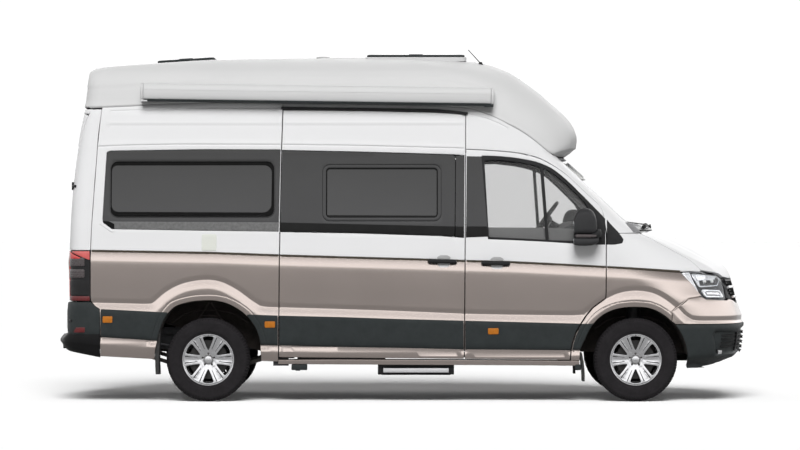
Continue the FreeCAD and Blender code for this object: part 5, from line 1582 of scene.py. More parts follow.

# black sheet behind the joint of door sail and pillar sail: painted shadow in the gap
panel("", side, ccw([(1738, 1562), (1754, 1552), (1754, 1336), (1738, 1336)]), [VOID], lift=-5.0, thick=8, step=40, roll=0.5,
      both=("sail_gap_shadow_right", "sail_gap_shadow_left", "van_body", "van_body"), slot="dark_trim")
panel("", side, ccw([(1916, 1524), (1982, 1440), (2052, 1440), (2034, 1462), (1975, 1512)]), [COWLG], lift=2.4, thick=6,
      step=40, roll=1.0, both=("cowl_end_right", "cowl_end_left", "van_body", "van_body"), slot="dark_trim")
# ------------------------------------------------------------ lower side: cladding, sills, handles
top_z, low_z = zline(BAND_TOP), zline(BAND_LOW)


def along(f, x0, x1, step=60, off=0.0):
    n = max(1, int(abs(x1 - x0) / step))
    return [(x0 + (x1 - x0) * k / n, float(f(x0 + (x1 - x0) * k / n)) + off) for k in range(n + 1)]


def clad(names, outline, bodies=("van_body", "van_body"), slot="dark_trim", **kw):
    panel("", side, outline, [CLAD], relief=lambda x, z: relief(x, z) + 1.5 * np.sin((top_z(x) - z) / 80.0),
          lift=7.0, thick=16.0, roll=5.5, step=26, edge=13, both=(names[0], names[1], *bodies), slot=slot, **kw)


def band(x0, x1, arch_l=None, arch_r=None):
    """Band between two x, or up to an arch at one end."""
    if arch_r is not None:  # arch at the right end, rising part of the opening
        pts = [p for p in arch_r if p[0] < -1700 and low_z(p[0]) < p[1] < top_z(p[0])]
        pts = sorted(pts, key=lambda p: p[1])
        pts = [(p[0] - 1.0, p[1]) for p in pts]
        low = along(low_z, x0, pts[0][0] - 2)
        top = along(top_z, pts[-1][0] - 2, x0)
        return low + pts + top
    if arch_l is not None:
        pts = [p for p in arch_l if p[0] > -1500 and low_z(p[0]) < p[1] < top_z(p[0])]
        pts = sorted(pts, key=lambda p: -p[1])
        pts = [(p[0] + 1.0, p[1]) for p in pts]
        low = along(low_z, pts[-1][0] + 2, x1)
        top = along(top_z, x1, pts[0][0] + 2)
        return low + top + pts
    return along(low_z, x0, x1) + along(top_z, x1, x0)


clad(("cladding_rear_right", "cladding_rear_left"), band(-2555, 0, arch_r=REAR_ARCH),
     curves=[(REAR_ARCH, (-60, -54, -50.5, -47, -43, -36, -24, -12), 15.0)])
clad(("cladding_mid_right", "cladding_mid_left"), band(0, -1050, arch_l=REAR_ARCH),
     curves=[(REAR_ARCH, (-60, -54, -50.5, -47, -43, -36, -24, -12), 15.0)])
clad(("cladding_slide_right", "cladding_front_left"), band(-1037, 531))
door_edge = [(1527, 661), (1484, 580), (1458, 500), (1447, 437)]
edge_in = [(x - 6, z) for x, z in spline(door_edge, 20)]
clad(("cladding_door_right", "cladding_door_left"),
     along(low_z, 545, edge_in[-1][0] - 2) + edge_in[::-1] + along(top_z, edge_in[0][0] - 2, 545),
     ("front_door_right", "front_door_left"))
leg = [(x + 4, z) for x, z in spline([(1530, 663), (1489, 580), (1463, 500), (1452, 440)], 20)]
leg_arch = [(p[0] - 1, p[1]) for p in FRONT_ARCH if p[0] < 1700 and 440 < p[1] < 664]
clad(("cladding_wing_right", "cladding_wing_left"), leg[::-1] + [(1632, 664)] + leg_arch[::-1] + [(1521, 438)],
     curves=[(FRONT_ARCH, (-60, -54, -50.5, -47, -43, -36, -24, -12), 15.0)])

# repeaters in the cladding
for tag, x0, x1, z0, z1, bodies in (("rear", -2538, -2454, 672, 727, ("van_body", "van_body")),
                                    ("mid", -1160, -1072, 630, 684, ("van_body", "van_body")),
                                    ("front", 738, 828, 574, 626, ("front_door_right", "front_door_left"))):
    b = Build()
    plate_part(b, rounded([(x0 - 5, z0 - 5), (x1 + 5, z0 - 5), (x1 + 5, z1 + 5), (x0 - 5, z1 + 5)], 10), 8.5, 10, 1, 1.5,
               relief=relief)
    plate_part(b, rounded([(x0, z0), (x1, z0), (x1, z1), (x0, z1)], 8), 12.5, 10, 0, 3.0, relief=relief, step=20)
    for k in range(1, 5):
        xx = x0 + (x1 - x0) * k / 5
        V, F = strip(side, [(xx, z0 + 6), (xx, z1 - 6)], 1.6, 13.6 + float(relief(np.array([xx]), np.array([z0]))[0]),
                     step=20)
        b.add(V, F, 0)
    b.done("", [ORANGE, BLACK], both=("side_marker_%s_right" % tag, "side_marker_%s_left" % tag, *bodies),
           slot="lamp_clear")


# door handles: a bar over a cup, the cup's recess only painted on flat plates
def handle(names, x0, x1, zc, bodies, tag):
    L = x1 - x0
    b = Build()
    cx0, cx1 = x0 + 0.30 * L, x0 + 0.80 * L
    yb = lambda x, z: float(side_y(x, z, "low")) + float(relief(np.array([float(x)]), np.array([float(z)]))[0])
    # cup: flat plates painted as a recess; the dark dome above the bar is painted shade, the bright crescent below it
    # painted highlight
    dome = rounded([(cx0, zc - 10), (cx1, zc - 10), (cx1 - 6, zc + 34), (cx1 - 34, zc + 50), (cx0 + 34, zc + 50),
                    (cx0 + 6, zc + 34)], [2, 2, 20, 24, 24, 20])
    plate_part(b, dome, 1.2, 6, 1, 1.0, relief=relief, step=10)
    lip = rounded([(cx0 + 6, zc - 6), (cx1 - 6, zc - 6), (cx1 - 14, zc - 44), (cx1 - 34, zc - 54), (cx0 + 34, zc - 54),
                   (cx0 + 14, zc - 44)], [2, 2, 14, 16, 16, 14])
    plate_part(b, lip, 1.0, 6, 2, 1.0, relief=relief, step=10)
    V, F = strip(side, lip, 2.0, 3.0, closed=True, step=8)
    b.add([(x, y, z) for x, y, z in V], F, 3)
    pts, rad = [], []
    for t in np.linspace(0, 1, 25):
        x = x0 + L * t
        z = zc - 6 * t
        out = 20 + 14 * math.sin(math.pi * t) ** 0.6
        pts.append((x, -(yb(x, z) + out), z))
        e = min(t, 1 - t)
        rad.append(5 + 12.5 * min(1, (e / 0.05)) ** 0.5)
    V, F = tube(pts, rad, 14)
    b.add(V, F, 0)
    for xx in (x0 + 24, x1 - 24):
        y0 = yb(xx, zc)
        V, F = tube([(xx, -(y0 - 8), zc - 3), (xx, -(y0 + 14), zc - 3), (xx, -(y0 + 24), zc - 4)], [15, 13, 11], 12)
        b.add(V, F, 0)
    V, F = lathe([(0.5, 3), (6, 3), (7.5, 0.5), (7.5, -4), (0.5, -4)], 16, "y", (0, 0, 0))
    V = [(x + x1 - 30, -(yb(x1 - 30, zc) + 37) - y, z + zc - 6) for x, y, z in V]
    b.add(V, F, 0)
    b.done("", [BLACK, GREYT, WHITE, CHAMP], both=(names[0], names[1], *bodies), slot="black_plastic")


handle(("front_door_handle_right", "front_door_handle_left"), 680, 925, 1182, ("front_door_right", "front_door_left"),
       "front")
b_body = ("van_body", "van_body")
L_before = len(PIECES)
handle(("sliding_door_handle", "sliding_door_handle_left"), 226, 474, 1197, b_body, "slide")
# the left side has no sliding door, so no handle there
gone = PIECES.pop()
gone_mesh = gone.data
bpy.data.objects.remove(gone, do_unlink=True)
bpy.data.meshes.remove(gone_mesh)

# service flap and filler flap outlines
FLAP = rounded([(-1696, 1283), (-1570, 1283), (-1570, 1424), (-1696, 1424)], 12)
FLAPW = material("service_flap_finish", (0.53, 0.54, 0.50), 0.45, coat=0.0, var=0.02, scale=8, bump=0.05, bscale=200, spec=0.2)
panel("service_flap", side, FLAP, [FLAPW], relief=relief, lift=3.0, thick=8, roll=2.5, step=30, slot="white_paint")
panel("mains_inlet_flap", side, rounded([(-1500, 640), (-1380, 640), (-1380, 770), (-1500, 770)], 10)
      if False else rounded([(-2380, 1300), (-2240, 1300), (-2240, 1440), (-2380, 1440)], 12), [WHITE],
      relief=relief, lift=3.0, thick=8, roll=2.5, step=30, mirror=True, slot="white_paint")
panel("fuel_flap", side, rounded([(300, 900), (460, 897), (460, 1055), (300, 1058)], 22), [CHAMP], relief=relief,
      lift=1.5, thick=8, roll=2.0, step=30, mirror=True, slot="champagne_paint")

# sliding-door rail along the cant rail, with its cover bead
b = Build()
rail = [(x, float(seam_z(x)) - 40 - 10 * max(0, x - 300) / 260) for x in range(-1012, 560, 40)] + [(556, 2447)]
V, F = strip(side, rail, 13, 10, lift=relief(np.array([0.0]), np.array([2440.0]))[0], sink=14, step=30)
b.add(V, F, 0)
V, F = strip(side, [(p[0], p[1] + 9) for p in rail], 4.0, 15, sink=10, step=30)
b.add(V, F, 1)
for x in (-1000, -430, 60, 330, 545):
    zz = float(np.interp(x, [p[0] for p in rail], [p[1] for p in rail]))
    yy = float(side_y(x, zz, "low"))
    V, F = soft_box(x - 24, x + 24, -(yy + 20), -(yy - 2), zz - 10, zz + 14, 4)
    b.add(V, F, 0)
b.done("sliding_door_rail", [BLACK, RUBBER], replaces=("door_rail",), slot="black_plastic")

# bead along the joint of the roof shell and the body
b = Build()
line = [(x, float(seam_z(x)) + 1) for x in list(range(-2660, 1000, 60)) + [1014, 1060, 1100, 1140, 1185, 1230, 1268]]
V, F = strip(side, line, 4.5, 1.5, sink=18, step=40)
b.add(V, F, 0)
b.done("", [GREYT], both=("roof_seam_bead_right", "roof_seam_bead_left", "van_body", "van_body"), slot="dark_trim")

# sill under the doors
SILL = [(-1047, 352), (-1047, 318), (300, 312), (1440, 306), (1517, 306), (1517, 342), (1440, 345), (537, 352),
        (-600, 356)]
panel("", side, SILL, [CHAMP], lift=-1.0, thick=26, roll=4, step=40,
      both=("sill_right", "sill_left", "van_body", "van_body"), slot="champagne_paint")
b = Build()
for x0, x1 in ((-934, -800), (1480, 1530)):
    b.box(x0, x1, -985, -905, 268, 316, 0, 6)
b.box(-900, -860, -975, -915, 262, 272, 0, 4)
b.done("", [CLAD], both=("jacking_pads_right", "jacking_pads_left", "van_body", "van_body"), slot="dark_trim")

# mudflaps: curved rubber sheets behind the wheels
def mudflap(x_top, z_top, x_bot, z_bot, lean, y0, y1, th=9):
    rings = []
    for t in np.linspace(0, 1, 12):
        x = x_top + (x_bot - x_top) * t - lean * math.sin(math.pi * t)
        z = z_top + (z_bot - z_top) * t
        rings.append([(x + th * 1.7 * (1 - 0.3 * t), y0, z), (x + th * 1.7, (y0 + y1) / 2, z - 2 * t), (x + th, y1, z),
                      (x - th, y1 + 6, z), (x - th, (y0 + y1) / 2, z), (x - th * 0.6, y0 - 6, z)])
    return loft(rings)


b = Build()
V, F = mudflap(-2074, 610, -2080, 232, 8, -968, -760, th=17)
b.add(V, F, 0)
V, F = mudflap(1524, 415, 1552, 172, -8, -975, -770)
b.add(V, F, 0)
V, F = tube([(-2060, -900, 492), (-1985, -880, 476), (-1940, -820, 468)], 9, 8)
b.add(V, F, 1)
b.done("", [RUBBER, STEEL], both=("mudflaps_right", "mudflaps_left", "van_body", "van_body"), slot="black_plastic")


# arch liners: a moulded half drum with ribs over each wheel, closed on the inside
RIBS = material("liner_rib_finish", (0.045, 0.036, 0.033), 0.6, var=0.1, scale=12, bump=0.3, bscale=300)


def liner(cx, arch, name_r, name_l, zc=356.0, y_in=625.0, replaces=((), ())):
    A = [p for p in arch if p[1] > 395]
    n = len(A)
    b = Build()
    c = np.array([cx, zc])
    P = [np.asarray(p, float) for p in A]
    cols = [0.0, 0.05, 0.16, 0.20, 0.24, 0.42, 0.46, 0.50, 0.72, 0.76, 0.80, 0.97, 1.0]
    rib = [0, 9, 9, 3, 9, 9, 3, 9, 9, 3, 9, 9, 9]

    def ring(off):
        out = []
        for i, p in enumerate(P):
            row = []
            for k, (t, h) in enumerate(zip(cols, rib)):
                y = -(side_y(p[0], p[1], "low") - 26) * (1 - t) - y_in * t
                v = p - c
                v = v / np.linalg.norm(v)
                wob = 2.5 * math.sin(i * 0.55) if 3 <= k <= 9 else 0
                q = p - v * (h * 0.8 + off + wob * (off == 0)) + v * 4
                row.append((q[0], y, q[1]))
            out.append(row)
        return out

    inn, outr = ring(0), ring(-9)
    m = len(cols)
    V = [v for r in inn for v in r] + [v for r in outr for v in r]
    F = []
    o = n * m
    for i in range(n - 1):
        for k in range(m - 1):
            a, b_, c_, d = i * m + k, i * m + k + 1, (i + 1) * m + k + 1, (i + 1) * m + k
            F.append((a, b_, c_, d))
            F.append((a + o, d + o, c_ + o, b_ + o))
    for i in range(n - 1):
        for k in (0, m - 1):
            a, d = i * m + k, (i + 1) * m + k
            F.append((a, d, d + o, a + o) if k == 0 else (a, a + o, d + o, d))
    for k in range(m - 1):
        F.append((k, k + o, k + 1 + o, k + 1))
        a = (n - 1) * m
        F.append((a + k, a + k + 1, a + k + 1 + o, a + k + o))
    V, F = outward(V, F)
    b.add(V, F, 0)
    # inner wall, moulded with an A-shaped rib and bow lines
    poly = [(p[0] - (p[0] - cx) * 0.01, p[1] - 2) for p in A]
    if cx < 0:
        poly = [p for p in poly if p[1] > (655 if p[0] < cx else 395)]
    V, F = prism(poly, -(y_in + 12), -(y_in - 6), "y", 2)
    b.add(V, F, 0)
    top = max(p[1] for p in A)
    ribs = [[(cx + s * 115, top - 195), (cx + s * 60, top - 110), (cx + s * 8, top - 26)] for s in (-1, 1)]
    ribs += [[(cx - 330, top - 200), (cx - 200, top - 120), (cx, top - 92), (cx + 200, top - 120), (cx + 330, top - 200)],
             [(cx - 90, top - 150), (cx, top - 140), (cx + 90, top - 150)]]
    for r_ in ribs:
        pts = [(x, -(y_in + 16), z) for x, z in spline(r_, 20)]
        V, F = tube(pts, 7, 8)
        b.add(V, F, 1)
    return b.done("", [LINER, RIBS], both=(name_r, name_l, "van_body", "van_body"), replaces=replaces, slot="black_plastic")


liner(-1643, REAR_ARCH, "arch_liner_rear_right", "arch_liner_rear_left", replaces=(("wheel_housings",), ()))
liner(1997, FRONT_ARCH, "arch_liner_front_right", "arch_liner_front_left", y_in=535.0)

# step under the sliding door
b = Build()
b.box(-199, 451, -925, -560, 330, 345, 0, 4)
for x0, x1 in ((-199, -160), (412, 451)):
    b.box(x0, x1, -925, -560, 228, 345, 0, 6)
b.box(-170, 422, -925, -905, 288, 340, 0, 5)
b.box(-170, 422, -600, -566, 228, 345, 0, 5)
b.box(-170, 422, -910, -600, 224, 240, 0, 4)
b.done("step_housing_case", [BLACK], replaces=("step_housing",), slot="black_plastic")
b = Build()
b.box(-154, 406, -955, -668, 250, 280, 1, 3)
b.box(-154, 406, -965, -944, 246, 284, 0, 7, 3)
for k in range(11):
    y = -938 + k * 22
    b.box(-146, 398, y, y + 10, 277, 284, 2, 2)
for z in (256, 265, 274):
    b.box(-150, 402, -967, -960, z, z + 3, 1, 1)
b.done("step_tread", [ANOD, ANOD, RUBBER], body="entry_step", replaces=("entry_step",), slot="anodised_aluminium")
# ------------------------------------------------------------ high roof shell
_seam_full = zline(SEAM_S + [(1330, 2112), (1400, 2128), (1520, 2156), (1800, 2160)])


def roof_point(s, z):
    """A point of the right half outline of the roof's level section: s runs 0 rear middle to 1 nose middle."""
    s, z = np.broadcast_arrays(np.asarray(s, float), np.asarray(z, float))
    xr, w, rr, xs, xe, ye, xn, sr, nr = arcs(z, "roof")
    xr = xr + 20
    flat = w - rr
    a, b_, c_, d_ = 0.16, 0.22, 0.66, 0.86
    x = np.zeros(s.shape)
    y = np.zeros(s.shape)
    m = s < a
    t = s / a
    x, y = np.where(m, xr - 25 * (1 - t**2), x), np.where(m, flat * t, y)
    m = (s >= a) & (s < b_)
    th = (s - a) / (b_ - a) * math.pi / 2
    x, y = np.where(m, xr + rr - rr * np.cos(th), x), np.where(m, flat + rr * np.sin(th), y)
    m = (s >= b_) & (s < c_)
    t = (s - b_) / (c_ - b_)
    x, y = np.where(m, xr + rr + (xs - xr - rr) * t, x), np.where(m, w, y)
    m = (s >= c_) & (s < d_)
    th = np.arcsin(np.clip((xe - xs) / sr, -1, 1)) * (s - c_) / (d_ - c_)
    x, y = np.where(m, xs + sr * np.sin(th), x), np.where(m, w - sr + sr * np.cos(th), y)
    m = s >= d_
    ph = np.arcsin(np.clip(ye / nr, -1, 1)) * (1 - s) / (1 - d_)
    x, y = np.where(m, xn - nr + nr * np.cos(ph), x), np.where(m, nr * np.sin(ph), y)
    return x, y


S = np.concatenate([np.linspace(0, 0.16, 9)[:-1], np.linspace(0.16, 0.22, 8)[:-1], np.linspace(0.22, 0.66, 40)[:-1],
                    np.linspace(0.66, 0.86, 26)[:-1], np.linspace(0.86, 1.0, 15)])
z0 = np.full(S.shape, 2500.0)
for _ in range(30):
    x_, y_ = roof_point(S, z0)
    z0 = 0.5 * z0 + 0.5 * (_seam_full(x_) + 4.0)
NR = 38
t0 = np.sqrt(2964 - z0)
rows = np.concatenate([[0, 0.004, 0.010], np.linspace(0.02, 1, NR - 3)])
tz = t0[None, :] + (math.sqrt(3.0) - t0[None, :]) * rows[:, None]
Z = 2964 - tz**2
X, Y = roof_point(S[None, :], Z)
full_x = np.concatenate([X, X[:, -2:0:-1]], 1)
full_y = np.concatenate([-Y, Y[:, -2:0:-1]], 1)
full_z = np.concatenate([Z, Z[:, -2:0:-1]], 1)
G = np.stack([full_x, full_y, full_z], -1)
ROOF_CREASE = zline([(-2657, 2692), (-1592, 2756), (332, 2760), (674, 2709), (794, 2649), (1000, 2600)])
nr_, nc_ = G.shape[:2]
gu = np.roll(G, -1, 1) - np.roll(G, 1, 1)
gv = np.gradient(G, axis=0)
N_ = np.cross(gu, gv)
N_ /= np.maximum(np.linalg.norm(N_, axis=-1, keepdims=True), 1e-9)
out_dir = G - np.array([-600.0, 0, 2400.0])
if (N_ * out_dir).sum() < 0:
    N_ = -N_
dz = G[..., 2] - ROOF_CREASE(G[..., 0])
swell = np.where(G[..., 0] < 900, 2.6 * np.exp(-(dz / 14.0) ** 2) - 3.0 * np.exp(-((dz + 26) / 12.0) ** 2), 0)
lip = np.zeros((nr_, nc_))
lip[0], lip[1], lip[2] = -7, -2, 0
foot = np.clip(1 - (G[..., 2] - G[0:1, :, 2]) / 26.0, 0, 1)
swell = swell + 4.0 * foot**0.6
outer = G + N_ * (swell + lip)[..., None]
inner = G - N_ * 12.0
inner[0] = G[0] - N_[0] * 12
inner[-3:] = G[-3:] - np.array([0, 0, 12.0])
V = np.vstack([outer.reshape(-1, 3), inner.reshape(-1, 3)])
F = []
o = nr_ * nc_
for i in range(nr_ - 1):
    for j in range(nc_):
        k = (j + 1) % nc_
        F.append((i * nc_ + j, i * nc_ + k, (i + 1) * nc_ + k, (i + 1) * nc_ + j))
        F.append((o + i * nc_ + j, o + (i + 1) * nc_ + j, o + (i + 1) * nc_ + k, o + i * nc_ + k))
for j in range(nc_):
    k = (j + 1) % nc_
    F.append((j, o + j, o + k, k))
top = (nr_ - 1) * nc_


def cap_grid(first, z_c, rev):
    """Closes the small ring at the crown with a ladder of faces across the middle line."""
    out = []
    h = nc_ // 2
    for j in range(h):
        a, b_, pb, pa = j, j + 1, (nc_ - j - 1) % nc_, (nc_ - j) % nc_
        f = [a, b_, pb, pa]
        f = [q for n_, q in enumerate(f) if q not in f[:n_]]
        f = tuple(first + q for q in f)
        out.append(tuple(reversed(f)) if rev else f)
    return out


F += cap_grid(top, 0, False) + cap_grid(top + o, 0, True)
V, F = outward(V.tolist(), F)
b = Build()
b.add(V, F, 0)
# underside of the nose, back to the head of the windscreen
cols = [j for j in range(len(S)) if X[0, j] > 1240]
ring_o, ring_i = [], []
for j in cols:
    x, y, z = X[0, j], Y[0, j], z0[j]
    yy = min(y * 0.985, 770)
    xi = float(front_x(yy, 2088.0, "low"))
    ring_o.append((x - 6, y - 4, z + 3))
    ring_i.append((min(xi, x - 16), yy, 2092.0))
left = [(x, -y, z) for x, y, z in ring_o]
left_i = [(x, -y, z) for x, y, z in ring_i]
ro = left + [(x, y, z) for x, y, z in reversed(ring_o[:-1])]
ri = left_i + [(x, y, z) for x, y, z in reversed(ring_i[:-1])]
m_ = len(ro)
V, F = [], []
for k, (u, w_) in enumerate(zip(ro, ri)):
    u, w_ = np.array(u), np.array(w_)
    mid = (u + w_) / 2 + np.array([0, 0, -5.0])
    for p in (u, mid, w_):
        V.append(tuple(p))
    for p in (w_, mid, u):
        V.append((p[0], p[1], p[2] + 9))
for k in range(m_ - 1):
    for q in range(6):
        a, c_ = k * 6 + q, k * 6 + (q + 1) % 6
        F.append((a, c_, c_ + 6, a + 6))
F.append(tuple(range(5, -1, -1)))
F.append(tuple((m_ - 1) * 6 + q for q in range(6)))
V, F = outward(V, F)
b.add(V, F, 0)
# two mushroom vents, the camera on the rear edge and the aerial foot
for vx, vy, r_, h_ in ((-1294, 60, 68, 13), (-684, -40, 60, 12)):
    zt = 2964 - 0.0
    zt = float(np.interp(vx, [-2352, -2135, -1918, -1718, -1554, -1311, -1051, -704, -314, 337],
                         [2882, 2899, 2914, 2930, 2938, 2947, 2951, 2964, 2964, 2956]))
    V, F = lathe([(0.5, h_), (r_ * 0.6, h_ - 1), (r_ * 0.92, h_ - 5), (r_, h_ - 9), (r_ * 0.9, -3), (r_ * 0.9, -16),
                  (0.5, -16)], 32, "z", (vx, vy, zt))
    b.add(V, F, 0)
b.box(-2676, -2652, -30, 30, 2832, 2872, 1, 6)
V, F = lathe([(0.5, 0), (9, 0), (10, -3), (10, -8), (0.5, -8)], 16, "x", (-2676, 0, 2850))
b.add([(x, y, z) for x, y, z in V], F, 1)
V, F = lathe([(0.5, 28), (12, 26), (20, 8), (30, -6), (30, -24), (0.5, -24)], 24, "z", (690, -300, 2892))
b.add(V, F, 1)
V, F = tube([(688, -300, 2908), (636, -300, 2966), (582, -300, 3024)], [4.5, 3.6, 3.2], 8)
b.add(V, F, 1)
b.done("high_roof_shell", [GELCOAT, BLACK], replaces=("high_roof",), slot="white_gelcoat", angle=50)

# ------------------------------------------------------------ roof lights
SMOKE = material("roof_light_finish", (0.035, 0.036, 0.038), 0.14, coat=0.7, var=0.2, scale=5, rvar=0.03, bump=0.02,
                 bscale=40)


def hatch(name, body, node, cx, length, half, zlow, ztop, tilt):
    """Lid: a framed smoked dome on a pale sealing frame, following the slope of the roof."""
    ca, sa = math.cos(math.radians(tilt)), math.sin(math.radians(tilt))

    def put(P):
        out = []
        for x, y, z in P:
            u, w_ = x - cx, z - zlow
            out.append((cx + u * ca + w_ * sa, y, zlow - u * sa + w_ * ca))
        return out

    h_ = ztop - zlow

    def rect(off):
        u, w_ = length / 2 - off, half - off
        return rounded([(cx - u, -w_), (cx + u, -w_), (cx + u, w_), (cx - u, w_)], max(46 - off, 14), 6)

    b = Build()
    rings, prof = [], [(0, 1.0), (-1.5, 7), (0, h_ * 0.45), (7, h_ * 0.62), (30, h_ * 0.68), (34, h_ * 0.60),
                       (44, h_ * 0.60), (60, h_ * 0.78), (110, h_ * 0.93), (180, h_ * 0.99)]
    for off, z in prof:
        rings.append([(x, y, zlow + z) for x, y in rect(off + 1.5)])
    V, F = loft(rings)
    n = len(rings[0])
    mats_ = []
    for f in F:
        k = min(f) // n if len(f) == 4 else (9 if max(f) >= 9 * n else -1)
        mats_.append(0 if (len(f) == 4 and min(f) // n >= 6) or (len(f) > 4 and max(f) >= 9 * n) else 1)
    b.add(put(V), F, mats_)
    for s_ in (-1, 1):
        V, F = soft_box(cx - 60, cx + 60, s_ * (half - 26) - 10, s_ * (half - 26) + 10, zlow + h_ * 0.55, zlow + h_ * 0.82, 3)
        b.add(put(V), F, 1)
    b.done(name + "_lid", [SMOKE, CLAD], body=body, replaces=(node,), slot="tinted_glass")
    # sealing frame on the shell, a plain upstand under the lid
    b = Build()
    rings = [[(x, y, zlow + z) for x, y in rect(off)] for off, z in
             ((-14, -40), (-14, -7), (-10, -4), (24, -4), (28, -8), (28, -40))]
    V, F = [], []
    for r_ in rings:
        V += r_
    n = len(rings[0])
    for k in range(len(rings)):
        for i in range(n):
            j = (i + 1) % n
            a, c_ = k * n, ((k + 1) % len(rings)) * n
            F.append((a + i, a + j, c_ + j, c_ + i))
    V, F = outward(V, F)
    b.add(put(V), F, 0)
    b.done(name + "_frame", [GELCOAT], slot="white_gelcoat")


hatch("roof_light_front", "roof_hatch_front", "roof_hatch_front", 128, 850, 330, 2964, 2990.5, 0.0)
hatch("roof_light_rear", "roof_hatch_rear", "roof_hatch_rear", -1872, 500, 250, 2931, 2957.5, -3.6)

# ------------------------------------------------------------ awning cassette
AWN = [(0, 4), (-112, 8), (-119, 5), (-124, 8), (-131, 22), (-136, 44), (-137.5, 70), (-137.5, 96), (-131, 118),
       (-122, 133), (-100, 143), (-72, 149), (-40, 149.5), (0, 149.5)]


def awning_ring(x, grow=0.0, drop=0.0):
    ca, sa = math.cos(math.radians(0.78)), math.sin(math.radians(0.78))
    out = []
    for y, z in AWN:
        yy = y * (1 - grow) - 2 * grow
        zz = 75 + (z - 75) * (1 - grow) + drop
        out.append((-2221 + x * ca + zz * sa, -842 + yy, 2564 - x * sa + zz * ca))
    return out


b = Build()
V, F = loft([awning_ring(26), awning_ring(60), awning_ring(1505), awning_ring(2950), awning_ring(2984)])
b.add(V, F, 0)
for x0, x1 in ((0, 24), (2986, 3010)):
    e = [(x0, 0.05), (x0 + 3, 0.015), (x0 + 8, 0.0), (x1 - 8, 0.0), (x1 - 3, 0.015), (x1, 0.05)]
    V, F = loft([awning_ring(x, g) for x, g in e])
    b.add(V, F, 1)
ca_, sa_ = math.cos(math.radians(0.78)), math.sin(math.radians(0.78))


def on_awning(x, y, z):
    return (-2221 + x * ca_ + z * sa_, -842 + y, 2564 - x * sa_ + z * ca_)


def awning_bar(x0, x1, y0, y1, z0_, z1_, m, r=3):
    V, F = soft_box(x0, x1, y0, y1, z0_, z1_, r)
    b.add([on_awning(*v) for v in V], F, m)


awning_bar(28, 2982, -134, -30, -6, 8, 2, 3)
awning_bar(28, 2982, -137.5, -132, 6, 14, 2, 1.5)
awning_bar(2930, 3008, -136, -60, -14, 8, 2, 4)
awning_bar(2, 60, -136, -60, -8, 8, 1, 4)
awning_bar(28, 2982, -139.2, -136, 92, 96, 0, 1)
for x in (300, 1505, 2700):
    awning_bar(x - 60, x + 60, -12, 26, -18, 150, 3, 4)
b.done("awning_cassette", [GELCOAT, GELCOAT, CLAD, ANOD], replaces=("awning",), slot="white_gelcoat")
# ------------------------------------------------------------ rear end
back, rear = Back(), Rear()


def from_y(y, z):
    xr, w, rr = [float(v) for v in section(np.array(float(z)), "low")[:3]]
    flat = w - rr
    if y <= flat:
        return RP1 * y / flat
    return RP1 + RARC * math.asin(min(1, (y - flat) / rr)) / (math.pi / 2)


def rear_relief(y, z):
    tb = 1287 - z
    r = ramp(tb, SHOULDER) * 0.8
    r = r + ramp(886 - z, LEDGE) * 0.7
    for zz in (2171, 2374):
        r = r - 3.5 * np.exp(-((z - zz) / 4.5) ** 2)
    return r


def corner_relief(p, z):
    return rear_relief(p, z) * np.clip((z - 1290) / 40, 0, 1)


# white corner panels above the lamps
edge_x = [(-2642, 1289), (-2634, 1503), (-2617, 1758), (-2600, 2013), (-2591, 2166), (-2574, 2354), (-2556, 2490)]
corner = [(from_y(863, z), z) for z in (2490, 2354, 2166, 2013, 1758, 1503, 1289)]
corner += [(Rear.from_x(x, z), z) for x, z in edge_x]
panel("", rear, corner, [WHITE], step=24, thick=26, roll=3.0, edge=14, inner=LIGHTG,
      both=("rear_corner_right", "rear_corner_left", "van_body", "van_body"), slot="white_paint")
# strip over the doors
head = [(-862, 2454), (862, 2454), (870, 2492), (-870, 2492)]
panel("rear_head_panel", back, head, [WHITE], step=40, thick=26, roll=3.0, edge=18, slot="white_paint")
b = Build()
plate_part(b, rounded([(-150, 2462), (150, 2462), (150, 2484), (-150, 2484)], 8), 5, 12, 0, 2.0, surf=back, step=30)
plate_part(b, rounded([(-135, 2465), (135, 2465), (135, 2481), (-135, 2481)], 6), 8, 6, 1, 1.0, surf=back, step=30)
b.done("high_stop_lamp", [BLACK, RED], slot="lamp_red")

# rear doors
RD = rounded([(4, 614), (856, 614), (856, 2449), (4, 2449)], [14, 22, 30, 14], 6)
RW = rounded([(92, 1542), (748, 1542), (742, 2058), (92, 2058)], 66, 8)
RG = rounded([(112, 1562), (728, 1562), (722, 2038), (112, 2038)], 52, 8)
PLATE_OUT = rounded([(118, 905), (668, 905), (668, 1045), (118, 1045)], 16)


def door_rear_relief(p, z):
    r = rear_relief(p, z)
    # the pressed frame round the window
    ring = np.asarray(inset(ccw(RW), -34))
    d, s = distance(p, z, ring)
    ins = within(p, z, ring)
    r = r - 5.0 * np.clip(np.where(ins, d, -d) / 14, 0, 1)
    return r


def door_rear_relief_left(p, z):
    r = door_rear_relief(p, z)
    poly = np.asarray(inset(ccw(PLATE_OUT), -24))
    d, s = distance(p, z, poly)
    ins = within(p, z, poly)
    return r - 9.0 * np.clip(np.where(ins, d, -d) / 16, 0, 1)


def rear_paint(p, z):
    return (z < 1289).astype(int)


